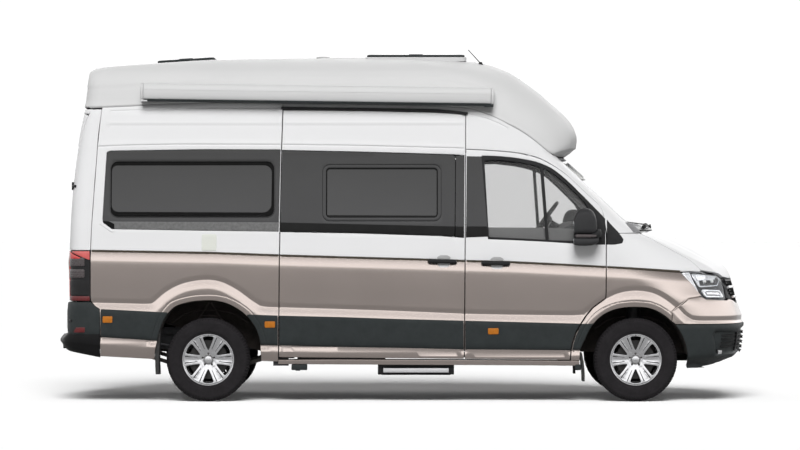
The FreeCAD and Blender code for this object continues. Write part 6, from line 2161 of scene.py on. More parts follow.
rd_curves = [([(10, 1287), (850, 1287)], BELT_OFF, 22.0), ([(10, 886), (850, 886)], CREASE_OFF, 20.0),
             ([(10, 2171), (850, 2171)], (-10, -5, 0, 5, 10), 30.0), ([(10, 2374), (850, 2374)], (-10, -5, 0, 5, 10), 30.0),
             (list(inset(ccw(RW), -34)) + [inset(ccw(RW), -34)[0]], (-2, 6, 16), 20.0)]
rd_kw = dict(holes=[RW], pick=rear_paint, lines=[[(0, 1289), (900, 1289)]], step=26, thick=46, roll=4.0, edge=13,
             curves=rd_curves, inner=LIGHTG, slot="white_paint")
panel("rear_door_skin_right", back, RD, paints, relief=door_rear_relief, body="rear_door_right",
      replaces=("rear_door_right",), **rd_kw)
po = inset(ccw(PLATE_OUT), -24)
rd_kw["curves"] = rd_curves + [(list(po) + [po[0]], (-2, 6, 16), 18.0)]
panel("rear_door_skin_left", back, RD, paints, relief=door_rear_relief_left, body="rear_door_left", mirror=True,
      replaces=("rear_door_left",), **rd_kw)
panel("", back, inset(ccw(RW), 1.0), [BLACK], holes=[RG], lift=-4.0, thick=30, roll=2.5, step=60,
      both=("rear_window_seal_right", "rear_window_seal_left", "rear_door_right", "rear_door_left"), slot="dark_trim")
glass_pane(("rear_pane_right", "rear_pane_left"), inset(ccw(RG), -8), -12, GLASSD, ("rear_door_right", "rear_door_left"),
           (("rear_glass_right",), ("rear_glass_left",)), surf=back, thick=8)
# heating lines on the glass
for tag, mir, bd in (("right", False, "rear_door_right"), ("left", True, "rear_door_left")):
    b = Build()
    for k in range(9):
        z = 1610 + k * 48
        V, F = strip(back, [(150, z), (700, z)], 1.2, -11.3, step=60, sink=2)
        b.add(V, F, 0)
    b.done("rear_heater_lines_" + tag, [IRON], body=bd, mirror=mir, slot="dark_trim")

# hinges, handle, plate, lamps on the doors
for tag, mir, bd in (("right", False, "rear_door_right"), ("left", True, "rear_door_left")):
    b = Build()
    for z in (690, 1835):
        xh = float(rear_x(860, z)) - 4
        V, F = lathe([(0.5, 34), (8, 34), (9.5, 32), (9.5, -32), (8, -34), (0.5, -34)], 16, "z", (xh, -880, z))
        b.add(V, F, 0)
        V, F = soft_box(xh - 4, float(rear_x(850, z)) + 12, -876, -826, z - 26, z + 26, 5)
        b.add(V, F, 0)
    b.done("rear_door_hinges_" + tag, [BLACK], body=bd, mirror=mir, slot="black_plastic")
    b = Build()
    for z in (690, 1835):
        zz = z
        yb = float(section(np.array(float(zz)), "low")[1])
        xh = float(rear_x(860, zz)) - 4
        V, F = tube([(xh, -884, zz), (xh + 10, -yb + 62, zz), (xh + 26, -yb + 34, zz)], [9, 10, 10], 10)
        b.add(V, F, 0)
    b.done("rear_hinge_posts_" + tag, [BLACK], mirror=mir, slot="black_plastic")
b = Build()
plate_part(b, rounded([(30, 1120), (150, 1120), (150, 1190), (30, 1190)], 14), 2, 10, 1, 2.0, surf=back, step=30)
pts = [(float(rear_x(40 + 14 * k, 1150)) - 24 - 8 * math.sin(math.pi * k / 7), -(34 + 16 * k), 1152) for k in range(8)]
V, F = tube(pts, [9, 12, 13, 13, 13, 13, 12, 9], 12)
b.add(V, F, 0)
for k in (0, 7):
    x, y, z = pts[k]
    V, F = tube([(x + 30, y, z), (x + 4, y, z)], [11, 10], 10)
    b.add(V, F, 0)
b.done("rear_door_handle", [BLACK, GREYT], body="rear_door_right", slot="black_plastic")
b = Build()
plate_part(b, rounded([(130, 918), (650, 918), (650, 1028), (130, 1028)], 6), -3, 6, 0, 1.0, surf=back, step=60, mir=True)
V, F = strip(back, rounded([(130, 918), (650, 918), (650, 1028), (130, 1028)], 6), 3.0, 0.5, closed=True, step=40)
V, F = mirror_pts(V), flipped(F)
b.add(V, F, 1)
plate_part(b, rounded([(250, 1072), (540, 1072), (540, 1098), (250, 1098)], 8), 6, 14, 1, 2.5, surf=back, step=40, mir=True)
for p in (300, 460):
    plate_part(b, rounded([(p, 1068), (p + 34, 1068), (p + 34, 1080), (p, 1080)], 3), 7.5, 8, 2, 1.0, surf=back, step=20,
               mir=True)
b.done("rear_plate_blank", [PLATE, BLACK, LAMPG], body="rear_door_left", slot="white_paint")
b = Build()
xc_ = float(rear_x(0, 2262))
b.box(xc_ - 14, xc_ + 20, -60, -8, 2240, 2290, 0, 10)
V, F = lathe([(0.5, 0), (10, 0), (11, 3), (11, 12), (0.5, 12)], 18, "x", (xc_ - 18, -34, 2262))
b.add(V, F, 1)
bb = b

# lamps: red lens, black mask, grey chambers
Z0L, Z1L = 855, 1285
LAMP_P = [(from_y(866, z), z) for z in (Z0L, 1000, 1140, Z1L)]
LAMP_O = [(Rear.from_x(-2643, z), z) for z in (Z1L, 1140, 1000, Z0L)]
lamp_poly = rounded(LAMP_P + LAMP_O, [8, 0, 0, 14, 10, 0, 0, 8])
pA, pB = from_y(866, 1000), Rear.from_x(-2643, 1000)
b = Build()
plate_part(b, lamp_poly, -6, 34, 4, 3.0, surf=rear, step=24)
W_ = pB - pA
rear_side_p = lambda x, z: Rear.from_x(x, z)
tri1 = rounded([(rear_side_p(-2812, 1280), 1280), (rear_side_p(-2648, 1280), 1280), (rear_side_p(-2648, 1204), 1204)],
               [6, 6, 6])
plate_part(b, tri1, 3.5, 12, 1, 2.0, surf=rear, step=18)
tri2 = rounded([(pA + 6, 1276), (rear_side_p(-2822, 1276), 1276), (rear_side_p(-2700, 1214), 1216),
                (pA + 6, 1216)], [6, 4, 6, 6])
plate_part(b, tri2, 1.5, 12, 0, 2.0, surf=rear, step=18)
for za, zb in ((1152, 1226), (1054, 1126)):
    q = rounded([(pA + 30, za), (rear_side_p(-2692, za), za), (rear_side_p(-2692, zb), zb), (pA + 30, zb)], 10)
    plate_part(b, q, 0.5, 10, 3, 2.0, surf=rear, step=18)
    for k in range(1, 4):
        zz = za + (zb - za) * k / 4
        V, F = strip(rear, [(pA + 34, zz), (rear_side_p(-2696, zz), zz)], 1.3, 1.6, step=14)
        b.add(V, F, 3)
q = rounded([(pA + 26, 905), (rear_side_p(-2662, 905), 905), (rear_side_p(-2662, 1030), 1030), (pA + 26, 1030)], 10)
plate_part(b, q, -2.0, 10, 4, 2.0, surf=rear, step=20)
q = rounded([(pA + 5, 859), (rear_side_p(-2648, 859), 859), (rear_side_p(-2648, 898), 898), (pA + 5, 898)], 6)
plate_part(b, q, 2.0, 12, 5, 2.0, surf=rear, step=20)
q = [(pA + 4, 900), (pA + 24, 900), (pA + 24, 1212), (pA + 4, 1212)]
plate_part(b, q, 1.5, 12, 0, 2.0, surf=rear, step=20)
V, F = strip(rear, [(pA + 3, z_) for z_ in (862, 1000, 1140, 1278)], 2.4, 4.0, step=16)
b.add(V, F, 0)
PINK = material("lamp_pink_finish", (0.44, 0.08, 0.075), 0.2, coat=0.3, var=0.08, scale=30, rvar=0.03, bump=0.1,
                bscale=400)
DRED = material("lamp_dark_red_finish", (0.075, 0.004, 0.005), 0.3, coat=0.1, var=0.1, scale=30, rvar=0.03, bump=0.1,
                bscale=400)
LAMPB = material("lamp_brown_finish", (0.046, 0.038, 0.039), 0.3, coat=0.1, var=0.12, scale=40, bump=0.2, bscale=400)
b.done("", [RED, PINK, GLOSSB, LAMPB, BLACK, DRED], both=("tail_lamp_right", "tail_lamp_left", "van_body", "van_body"),
       replaces=(("tail_lamps",), ()), slot="lamp_red")
bb.done("rear_view_camera", [BLACK, GLOSSB], body="rear_door_right", slot="black_plastic")

# bumper: corner caps and a deep step, in plan layers
CAPP = spline([(-2562, 1021), (-2700, 1019), (-2770, 1006), (-2822, 962), (-2846, 905), (-2851, 868)], 22)
STEPP = spline([(-2562, 1014), (-2720, 1006), (-2822, 964), (-2880, 884), (-2914, 640), (-2940, 470), (-2964, 230),
                (-2968, 0)], 30)


def plan_stack(half, inner_, layers, m, full=False, shape_z=None):
    """Horizontal layers of a plan outline: (z, inset); the inner line closes each ring."""
    b_ = Build()
    rings = []
    base = np.asarray(half)
    t = np.gradient(base, axis=0)
    t /= np.maximum(np.linalg.norm(t, axis=1, keepdims=True), 1e-9)
    nrm = np.stack([-t[:, 1], t[:, 0]], 1)
    c = np.array([-2500.0, 0.0])
    if np.sum(nrm * (c - base)) < 0:
        nrm = -nrm
    for z, d in layers:
        o_ = base + nrm * d
        ring = [(x, y, shape_z(x, y, z) if shape_z else z) for x, y in o_]
        if full:
            ring += [(x, -y, z) for x, y in o_[::-1][1:]]
            ring += [(x, -y, z) for x, y in inner_] + [(x, y, z) for x, y in inner_[::-1]]
        else:
            ring += [(x, y, shape_z(x, y, z) if shape_z else z) for x, y in inner_]
        rings.append(ring)
    V, F = [], []
    n = len(rings[0])
    for r_ in rings:
        V += r_
    for k in range(len(rings) - 1):
        for i in range(n):
            j = (i + 1) % n
            F.append((k * n + i, k * n + j, (k + 1) * n + j, (k + 1) * n + i))
    flat_ = [(p[0], p[1]) for p in rings[0]]
    for k, r_ in ((0, rings[0]), (len(rings) - 1, rings[-1])):
        res = delaunay_2d_cdt([Vector((p[0], p[1])) for p in r_], [(i, (i + 1) % n) for i in range(n)], [], 1, 1e-5, True)
        ids = [o[0] if o else 0 for o in res[3]]
        tri = [tuple(ids[i] + k * n for i in t_) for t_ in res[2]]
        F += [t_[::-1] for t_ in tri] if k == 0 else tri
    V, F = outward(V, F)
    b_.add(V, F, m)
    return b_


def cap_z(x, y, z):
    """The cap's top runs down to meet the cladding behind the arch."""
    top = 850 - max(0.0, x + 2642) * 0.82
    return 572 + (z - 572) * (top - 572) / 278.0


def step_z(x, y, z):
    """The step's foot rises and its top falls away towards the back edge."""
    f = (z - 374) / 214.0
    u = (x + 10) * 33.15 / (34 + y / 1000.0 * -1) - 10
    lo_ = 376 + max(0.0, -2576 - u) * 0.20 + max(0.0, -2876 - u) * 0.9
    hi_ = 588 - max(0.0, -2840 - u) * 0.95
    return lo_ + (max(hi_, lo_ + 30) - lo_) * f


cap_in = [(-2800, 872), (-2770, 950), (-2566, 962)]
b = plan_stack(CAPP, cap_in, [(572, 14), (575, 8), (590, 4), (625, 1), (640, 0), (770, 0), (800, 3), (835, 6), (846, 10),
                              (850, 18)], 0, shape_z=cap_z)
V, F = strip(rear, [(Rear.from_x(-2835, 632), 632), (Rear.from_x(-2640, 632), 632)], 3, 6, step=20)
q = rounded([(from_y(868, 612) , 586), (Rear.from_x(-2690, 612), 590), (Rear.from_x(-2688, 640), 632),
             (from_y(862, 640), 632)], 6)
plate_part(b, q, 5, 12, 1, 2.0, surf=rear, step=20)
grey = rounded([(from_y(872, 800), 775), (from_y(920, 800), 775), (from_y(920, 800), 832), (from_y(872, 800), 832)], 4)
plate_part(b, grey, 3, 10, 2, 1.5, surf=rear, step=20)
V_all = np.vstack(b.V)
b.done("", [CLAD, DRED, GREYT], both=("rear_bumper_cap_left_tmp", "rear_bumper_cap_right_tmp", "van_body", "van_body"),
       slot="dark_trim") if False else None
capL = link("rear_bumper_cap_left", np.vstack([np.asarray(v) * (1, 1, 1) for v in [b.V[0]]]) * MM,
            [f for f, m in zip(b.F, b.M) if max(f) < len(b.V[0])], [CLAD], None, "van_body", (), "dark_trim")
capR = link("rear_bumper_cap_right", mirror_pts(b.V[0]) * MM,
            flipped([f for f in b.F if max(f) < len(b.V[0])]), [CLAD], None, "van_body", (), "dark_trim")
b2 = Build()
plate_part(b2, q, 5, 12, 0, 2.0, surf=rear, step=20)
plate_part(b2, grey, 3, 10, 1, 1.5, surf=rear, step=20)
b2.done("", [DRED, GREYT], both=("rear_reflector_right", "rear_reflector_left", "van_body", "van_body"), slot="lamp_red")
step_in = [(-2566, 950), (-2760, 925), (-2800, 480), (-2806, 0)]
step_in = step_in[::-1]
b = plan_stack(STEPP, step_in[1:][::-1][::-1], [(374, 60), (378, 46), (400, 26), (440, 14), (468, 6), (474, 2), (482, 0),
                                                (556, 0), (576, 3), (585, 8), (588, 16)], 0, full=False, shape_z=step_z)
both_half = b.V[0], [f for f in b.F]
link("rear_step_bumper_left", both_half[0] * MM, both_half[1], [STEPM], None, "van_body", ("rear_bumper",), "dark_trim")
link("rear_step_bumper_right", mirror_pts(both_half[0]) * MM, flipped(both_half[1]), [STEPM], None, "van_body", (),
     "dark_trim")
b = Build()
for k in range(5):
    x = -2850 + k * 12
    b.box(x, x + 6, -420, 420, 586, 593, 0, 2)
b.box(-2836, -2780, -866, 866, 586, 606, 0, 4)
V, F = lathe([(18, -3), (26, -3), (29, 0), (29, 24), (18, 24)], 28, "x", (-2904, -600, 470))
b.add(V, F, 0)
b.done("rear_step_tread", [BLACK], slot="black_plastic")
# ------------------------------------------------------------ wheels
TREAD_OUT = [(217, -86), (219, -97), (225, -103), (231, -104), (240, -109), (243, -112), (246, -112.5), (266, -115.8),
             (290, -117.2), (308, -116), (314, -117), (318, -116.4), (330, -111.5), (338, -107), (344, -103),
             (349.5, -97), (353, -90), (354.6, -82)]
GROOVES = (-58, -20, 20, 58)


def tyre():
    prof = list(TREAD_OUT)
    marks = [0] * len(TREAD_OUT)
    for i in (13, 14, 15, 16, 17):
        marks[i] = 1
    edges = [-82]
    for g in GROOVES:
        prof += [(355.6 - abs(g) * 0.006, g - 6), (347, g - 4), (347, g + 4), (355.6 - abs(g) * 0.006, g + 6)]
        marks += [1 if abs(g) > 40 and g < 0 else 2, 0, 0, 1 if abs(g) > 40 and g > 0 else 2]
    prof += [(r, -a) for r, a in reversed(TREAD_OUT)]
    marks += [marks[i] for i in range(len(TREAD_OUT) - 1, -1, -1)]
    prof += [(222, 70), (236, 60), (240, 0), (236, -60), (222, -70)]
    marks += [0] * 5
    n, k = 168, len(prof)
    V, F = [], []
    for i in range(n):
        a = 2 * math.pi * i / n
        cut_s = 1.0 if i % 2 == 0 else 0.0
        cut_m = 1.0 if (i + 1) % 4 == 0 else 0.0
        for (r, h), m in zip(prof, marks):
            rr = r - (6.5 * cut_s if m == 1 else (4.0 * cut_m if m == 2 else 0.0))
            hh = h
            if m == 1 and abs(h) > 100:
                hh = h - math.copysign(3.0 * cut_s, h)
            V.append((rr * math.cos(a), hh, rr * math.sin(a)))
    for i in range(n):
        for j in range(k):
            a, b_ = i * k + j, i * k + (j + 1) % k
            c_, d_ = ((i + 1) % n) * k + (j + 1) % k, ((i + 1) % n) * k + j
            F.append((a, b_, c_, d_))
    return outward(V, F)


class Face:
    """Front of the wheel: p, q = x, z from the hub; dished towards the middle."""
    def __call__(self, p, q):
        p, q = np.broadcast_arrays(np.asarray(p, float), np.asarray(q, float))
        r = np.hypot(p, q)
        d = np.interp(r, [0, 40, 70, 120, 180, 212], [66, 66, 68, 79, 88, 90])
        return np.stack([p, -d, q], -1)


def spoke_relief(p, q):
    r = np.hypot(p, q)
    a = np.degrees(np.arctan2(q, p))
    a = (a + 30) % 60 - 30
    off = np.abs(r * np.sin(np.radians(a)))
    inner_ = np.interp(r, [60, 90, 195], [8, 13, 24])
    rel = np.where((off < inner_) & (r > 66) & (r < 204), -2.6, 0.0)
    rel += np.where(r < 62, -4.0 * np.clip((62 - r) / 6, 0, 1), 0)
    return rel


def wheel_face():
    holes = []
    for k in range(6):
        c = math.radians(30 + 60 * k)
        shape = []
        for r, w in ((84, 3.2), (196, 15.0)):
            pass
        pts = [(82, 0.0)]
        pts += [(r, w) for r, w in ((110, 7.5), (150, 11.6), (186, 13.4))]
        arc_ = [(197, w) for w in (11.8, 6, 0, -6, -11.8)]
        poly = [(84, -3.4), (110, -8.4), (150, -12.2), (188, -14.0)] + [(198, -12), (200, -6), (200.5, 0), (200, 6), (198, 12)] + [
            (188, 14.0), (150, 12.2), (110, 8.4), (84, 3.4)]
        holes.append([(r * math.cos(c + math.radians(w)), r * math.sin(c + math.radians(w))) for r, w in poly])
        s_ = math.radians(60 * k)
        for sgn in (-1, 1):
            o1, o2 = 17.5, 29.5
            q_ = [(92, sgn * o1 - 1.2), (196, sgn * o2 - 3.6), (198, sgn * o2), (196, sgn * o2 + 3.6), (92, sgn * o1 + 1.2)]
            if sgn < 0:
                q_ = q_
            holes.append([(u * math.cos(s_) - v * math.sin(s_), u * math.sin(s_) + v * math.cos(s_)) for u, v in q_])
    for k in range(5):
        a = math.radians(90 + 72 * k)
        holes.append([(50 * math.cos(a) + 8 * math.cos(t), 50 * math.sin(a) + 8 * math.sin(t))
                      for t in np.linspace(0, 2 * math.pi, 13)[:-1]])
    ring = [(207 * math.cos(t), 207 * math.sin(t)) for t in np.linspace(0, 2 * math.pi, 97)[:-1]]
    V, F, cen, nf = panel_mesh(Face(), ring, holes=holes, relief=spoke_relief, step=9, thick=20, roll=1.6, edge=7)
    return V / MM, F


def wheel_parts():
    b = Build()
    V, F = wheel_face()
    b.add(V, F, 0)
    barrel = [(223.5, -91), (214, -78), (205, -62), (197, -32), (195, 40), (206, 74), (219, 88), (223.5, 95), (218, 97),
              (211, 90), (198, 78), (187, 43), (189, -30), (198, -62), (203, -84), (208, -93), (214, -97), (220, -97)]
    V, F = lathe(barrel, 96, "y")
    b.add(V, F, 0)
    cap = [(0.5, -82), (18, -81.5), (29, -79), (33, -75), (34, -66), (34, -50), (0.5, -50)]
    V, F = lathe(cap, 40, "y")
    b.add(V, F, 0)
    V, F = lathe([(37, -68), (39, -70), (41, -68), (41, -60), (37, -60)], 40, "y")
    b.add(V, F, 2)
    V, F = lathe([(40, -44), (88, -44), (88, 40), (40, 40)], 40, "y")
    b.add(V, F, 2)
    V, F = lathe([(84, -30), (164, -30), (166, -28), (166, -6), (164, -4), (84, -4)], 60, "y")
    b.add(V, F, 3)
    for k in range(5):
        a = math.radians(90 + 72 * k)
        V, F = lathe([(0.5, -66), (4, -66), (6, -63), (6.5, -50), (0.5, -50)], 6, "y", (50 * math.cos(a), 0, 50 * math.sin(a)))
        b.add(V, F, 2)
    V, F = tube([(0, -88, 205), (0, -94, 199), (0, -101, 196)], [4, 3.2, 3.4], 8)
    b.add(V, F, 4)
    return b


TV, TF = tyre()
WP = wheel_parts()
WV = np.vstack(WP.V)
DISC = material("brake_disc_finish", (0.035, 0.034, 0.034), 0.5, metal=0.8, var=0.15, scale=20, bump=0.3, bscale=150,
                stripes=("Y", 60))
for tag, cx in (("front", 1997.0), ("rear", -1643.0)):
    for sd, sg in (("right", -1), ("left", 1)):
        c = np.array([cx, 0.0, 356.0])
        tv, wv, tf, wf = np.array(TV), WV.copy(), TF, WP.F
        if sg > 0:
            tv, wv, tf, wf = mirror_pts(tv), mirror_pts(wv), flipped(tf), flipped(wf)
        tv, wv = tv + c + (0, sg * 875, 0), wv + c + (0, sg * 875, 0)
        link("tyre_tread_%s_%s" % (tag, sd), tv * MM, tf, [TYRE], None, "wheel_%s_%s" % (tag, sd),
             ("tyre_%s_%s" % (tag, sd),), "tyre_rubber", angle=25)
        link("alloy_%s_%s" % (tag, sd), wv * MM, wf, [ALLOY, GLOSSB, IRON, DISC, BLACK], WP.M,
             "wheel_%s_%s" % (tag, sd), ("rim_%s_%s" % (tag, sd),), "alloy", angle=30)
        b = Build()
        b.box(cx - 168, cx - 92, sg * 858 - 42, sg * 858 + 42, 300, 420, 0, 16, 3)
        b.box(cx - 150, cx - 108, sg * 858 - 50, sg * 858 - 38, 330, 390, 1, 5)
        b.done("brake_caliper_%s_%s" % (tag, sd), [IRON, ALLOY],
               body=("knuckle_" + sd) if tag == "front" else "van_body", slot="cast_iron")
# ------------------------------------------------------------ mirrors
def ring_yz(x, y0, y1, z0_, z1_, r, n=6):
    pts = []
    for cy, cz, a0 in ((y1 - r, z1_ - r, 0), (y0 + r, z1_ - r, 90), (y0 + r, z0_ + r, 180), (y1 - r, z0_ + r, 270)):
        for k in range(n + 1):
            a = math.radians(a0 + 90 * k / n)
            pts.append((x, cy + r * math.cos(a), cz + r * math.sin(a)))
    return pts


MIRR = material("mirror_glass_finish", (0.72, 0.74, 0.76), 0.05, metal=1.0, var=0.02, scale=3, rvar=0.02, bump=0.01)
b = Build()
up = [(1462, -1198, -1068, 1424, 1536, 36), (1468, -1203, -1062, 1421, 1566, 42), (1482, -1206, -1059, 1419, 1604, 50),
      (1506, -1207, -1058, 1418, 1632, 56), (1540, -1207, -1058, 1417, 1644, 58), (1575, -1207, -1058, 1417, 1645, 58),
      (1606, -1205, -1060, 1418, 1634, 56), (1628, -1200, -1064, 1420, 1614, 52), (1643, -1192, -1070, 1424, 1586, 46),
      (1653, -1180, -1082, 1430, 1548, 40), (1658, -1164, -1094, 1440, 1510, 28)]
V, F = loft([ring_yz(*r_) for r_ in up])
b.add(V, F, 0)
mid = [(1462, -1196, -1070, 1392, 1420, 12), (1480, -1200, -1064, 1390, 1422, 12), (1600, -1200, -1064, 1390, 1424, 12),
       (1640, -1196, -1068, 1392, 1440, 18), (1664, -1188, -1074, 1396, 1468, 26), (1684, -1172, -1088, 1402, 1470, 28),
       (1697, -1150, -1108, 1416, 1456, 16)]
V, F = loft([ring_yz(*r_) for r_ in mid])
b.add(V, F, 1)
lo = [(1460, -1198, -1068, 1345, 1392, 20), (1466, -1204, -1062, 1334, 1396, 24), (1500, -1206, -1058, 1328, 1398, 28),
      (1560, -1206, -1058, 1327, 1398, 28), (1610, -1203, -1060, 1330, 1397, 28), (1648, -1194, -1068, 1342, 1395, 22),
      (1672, -1176, -1084, 1360, 1392, 14)]
V, F = loft([ring_yz(*r_) for r_ in lo])
b.add(V, F, 0)
# repeater lens, glass, arm
V, F = loft([ring_yz(*r_) for r_ in ((1476, -1206, -1150, 1396, 1424, 8), (1490, -1207.5, -1150, 1395, 1425, 9),
                                     (1600, -1207.5, -1150, 1396, 1424, 9), (1650, -1200, -1150, 1400, 1420, 8))])
b.add(V, F, 2)
V, F = loft([ring_yz(*r_) for r_ in ((1461.5, -1190, -1075, 1440, 1534, 30), (1465, -1192, -1073, 1438, 1536, 30))])
b.add(V, F, 3)
V, F = loft([ring_yz(*r_) for r_ in ((1458.5, -1188, -1078, 1350, 1388, 12), (1462, -1190, -1076, 1348, 1390, 12))])
b.add(V, F, 3)
arm = [(-1066, 1600, 1706, 1398, 1440, 16), (-1040, 1604, 1708, 1396, 1446, 18), (-1010, 1600, 1706, 1394, 1450, 18),
       (-986, 1590, 1712, 1386, 1460, 18)]
rings = []
for y, x0, x1, za, zb, r_ in arm:
    rings.append([(yy, y, zz) for _, yy, zz in ring_yz(0, x0, x1, za, zb, r_)])
V, F = loft(rings)
b.add(V, F, 0)
MIRB = material("mirror_shell_finish", (0.019, 0.019, 0.020), 0.5, spec=0.3, var=0.08, scale=8, bump=0.3, bscale=420, bdist=0.0003)
b.done("", [MIRB, BLACK, LAMPB, MIRR], both=("mirror_housing_right", "mirror_housing_left", "front_door_right",
                                             "front_door_left"),
       replaces=(("mirror_right",), ("mirror_left",)), slot="black_plastic")

# ------------------------------------------------------------ door trims
TRIMD = material("door_trim_finish", (0.115, 0.115, 0.115), 0.6, var=0.08, scale=6, bump=0.4, bscale=500)
TR = rounded([(620, 420), (1400, 400), (1440, 560), (1540, 720), (1640, 830), (1726, 900), (1730, 1440), (1600, 1470),
              (1200, 1484), (700, 1486), (612, 1440)], [30, 20, 10, 10, 10, 20, 16, 0, 0, 20, 20])
ARM = rounded([(760, 1150), (1500, 1120), (1560, 1180), (1500, 1230), (780, 1240), (740, 1200)], 20)
POCK = rounded([(760, 520), (1360, 510), (1400, 640), (1360, 700), (780, 700)], 24)


def trim_relief(x, z):
    r = np.zeros(x.shape)
    for poly, h in ((ARM, -34.0), (POCK, -22.0)):
        P_ = np.asarray(poly)
        d, s = distance(x, z, P_)
        r += h * np.where(within(x, z, P_), np.clip(d / 22, 0, 1), 0)
    return r


V, F, cen, nf = panel_mesh(side, TR, relief=None, lift=-46, thick=26, step=28, roll=4, edge=20)
n = len(V) // 2
b = Build().add(V / MM, F, 0)
V, F, cen, nf = panel_mesh(side, ARM, lift=-70, thick=42, step=30, roll=10, edge=16)
b.add(V / MM, F, 1)
V, F, cen, nf = panel_mesh(side, POCK, lift=-70, thick=22, step=30, roll=8, edge=16)
b.add(V / MM, F, 0)
V, F = soft_box(1290, 1420, -905, -893, 1262, 1292, 5)
b.add(V, F, 2)
b.done("", [TRIMD, DASH, CHROME], both=("door_trim_right", "door_trim_left", "front_door_right", "front_door_left"),
       slot="grey_interior")

# ------------------------------------------------------------ dashboard
b = Build()
prof = [(1600, 1010), (1470, 1012), (1398, 1016), (1378, 1100), (1366, 1182), (1352, 1300), (1350, 1392), (1362, 1436),
        (1394, 1486), (1440, 1508), (1500, 1519), (1600, 1516), (1720, 1506), (1838, 1488), (1890, 1462), (1900, 1440),
        (1780, 1424), (1640, 1408), (1612, 1200)]
rings = []
for y in (-876, -868, -840, -700, -420, -180, -60, 60, 180, 230, 260, 330, 420, 510, 580, 620, 700, 840, 868, 876):
    e = max(0.0, (abs(y) - 840) / 36)
    hood_ = 20.0 * math.exp(-((y - 420) / 150.0) ** 4)
    ring = []
    for x, z in prof:
        xx, zz = x, z
        if 1380 < x < 1560 and z > 1480:
            zz = z + hood_ * (1 if x > 1390 else 0)
        if x < 1400 and 1180 < z < 1440:
            xx = x + 14 * math.exp(-((y - 420) / 130.0) ** 4) - 6 * math.exp(-((y) / 130.0) ** 4)
        m_ = np.array([1600.0, 1300.0])
        p_ = np.array([xx, zz])
        p_ = p_ + (m_ - p_) * 0.04 * e
        ring.append((p_[0], y, p_[1]))
    rings.append(ring)
V, F = loft(rings)
b.add(V, F, 0)
# vents, screen, glove box, knobs
for yc in (-790, -170, 170, 790):
    b.box(1342, 1372, yc - 62, yc + 62, 1360, 1432, 1, 8)
    for k in range(5):
        b.box(1336, 1350, yc - 54, yc + 54, 1370 + k * 12, 1375 + k * 12, 0, 1.5)
    b.box(1334, 1344, yc - 60, yc + 60, 1356, 1361, 2, 2)
b.box(1330, 1360, -112, 112, 1262, 1352, 1, 8)
b.box(1326, 1334, -104, 104, 1270, 1346, 3, 3)
for k in range(3):
    V, F = lathe([(0.5, -28), (16, -28), (19, -24), (20, 0), (0.5, 0)], 24, "x", (1352, -70 + 70 * k, 1216))
    b.add(V, F, 2)
b.box(1352, 1378, -700, -300, 1110, 1280, 0, 12)
b.box(1344, 1356, -540, -460, 1262, 1276, 2, 3)
b.box(1386, 1420, 300, 545, 1440, 1500, 1, 10)
b.box(1380, 1392, 320, 525, 1446, 1494, 3, 4)
# small bright switch tips on the driver's side, and column with stalks
for k in range(7):
    t = k / 6
    b.box(1336 + 120 * 0, 1350, 218 + 10 * k, 224 + 10 * k, 1310 + 20 * k, 1318 + 20 * k, 2, 1)
cs_, sn_ = math.cos(math.radians(37)), math.sin(math.radians(37))


def col(a, c):
    return (1272 + a * cs_ + c * sn_, 420.0, 1552 - a * sn_ + c * cs_)


rings = []
for a, w, h_ in ((62, 34, 34), (70, 40, 38), (140, 46, 46), (236, 46, 58)):
    ring = []
    for k in range(20):
        t = 2 * math.pi * k / 20
        p_ = col(a, h_ * math.sin(t))
        ring.append((p_[0], 420 + w * math.cos(t), p_[2]))
    rings.append(ring)
V, F = loft(rings)
b.add(V, F, 0)
for s_ in (-1, 1):
    p0, p1 = col(86, 6), col(70, 26)
    V, F = tube([(p0[0], 420 + s_ * 36, p0[2]), (p1[0], 420 + s_ * 110, p1[2]), (p1[0] - 8, 420 + s_ * 168, p1[2] + 6)],
                [7, 6, 8], 8)
    b.add(V, F, 1)
# console with lever
b.box(1225, 1490, -146, 146, 864, 1110, 0, 26, 3)
b.box(1222, 1480, -120, 120, 1090, 1150, 0, 20, 3)
V, F = tube([(1275, -20, 1140), (1262, -20, 1200), (1256, -20, 1240)], [10, 8, 8], 10)
b.add(V, F, 1)
V, F = lathe([(0.5, 24), (14, 20), (22, 4), (18, -16), (8, -22), (0.5, -22)], 20, "z", (1255, -20, 1250))
b.add(V, F, 0)
for s_ in (-1, 1):
    V, F = lathe([(30, 0), (36, -6), (44, -6), (46, 0), (46, 8), (30, 8)], 28, "z", (1400, s_ * 74, 1152))
    b.add(V, F, 1)
b.done("dashboard_panel", [DASH, BLACK, ALLOY, GLOSSB], replaces=("dashboard",), slot="dash_plastic")

# steering wheel
ax_ = np.array([-0.798636, 0, 0.601815])
e1 = np.array([0.0, 1.0, 0.0])
e2 = np.cross(ax_, e1)
sc_ = np.array([1272.0, 420.0, 1552.0])
b = Build()
rim_pts = [sc_ + 184 * (e1 * math.cos(t) + e2 * math.sin(t)) for t in np.linspace(0, 2 * math.pi, 65)[:-1]]
rr_ = [14.2 + 1.6 * max(0, math.cos(3 * t)) for t in np.linspace(0, 2 * math.pi, 65)[:-1]]
V, F = tube([tuple(p) for p in rim_pts], rr_, 14, closed=True)
b.add(V, F, 0)
zdn = e2 if e2[2] < 0 else -e2
for d in (e1, -e1, zdn):
    pts = [sc_ + d * r + ax_ * (-26 + 26 * max(0, (r - 40) / 140)) for r in (30, 60, 100, 140, 176)]
    V, F = tube([tuple(p) for p in pts], [30, 24, 17, 13, 12], 12, squash=0.5)
    b.add(V, F, 0)
    pts = [sc_ + d * r + ax_ * (-20 + 30 * max(0, (r - 40) / 140)) for r in (92, 116, 140)]
    V, F = tube([tuple(p) for p in pts], [10, 9, 7], 10, squash=0.5)
    b.add(V, F, 1)
rings = []
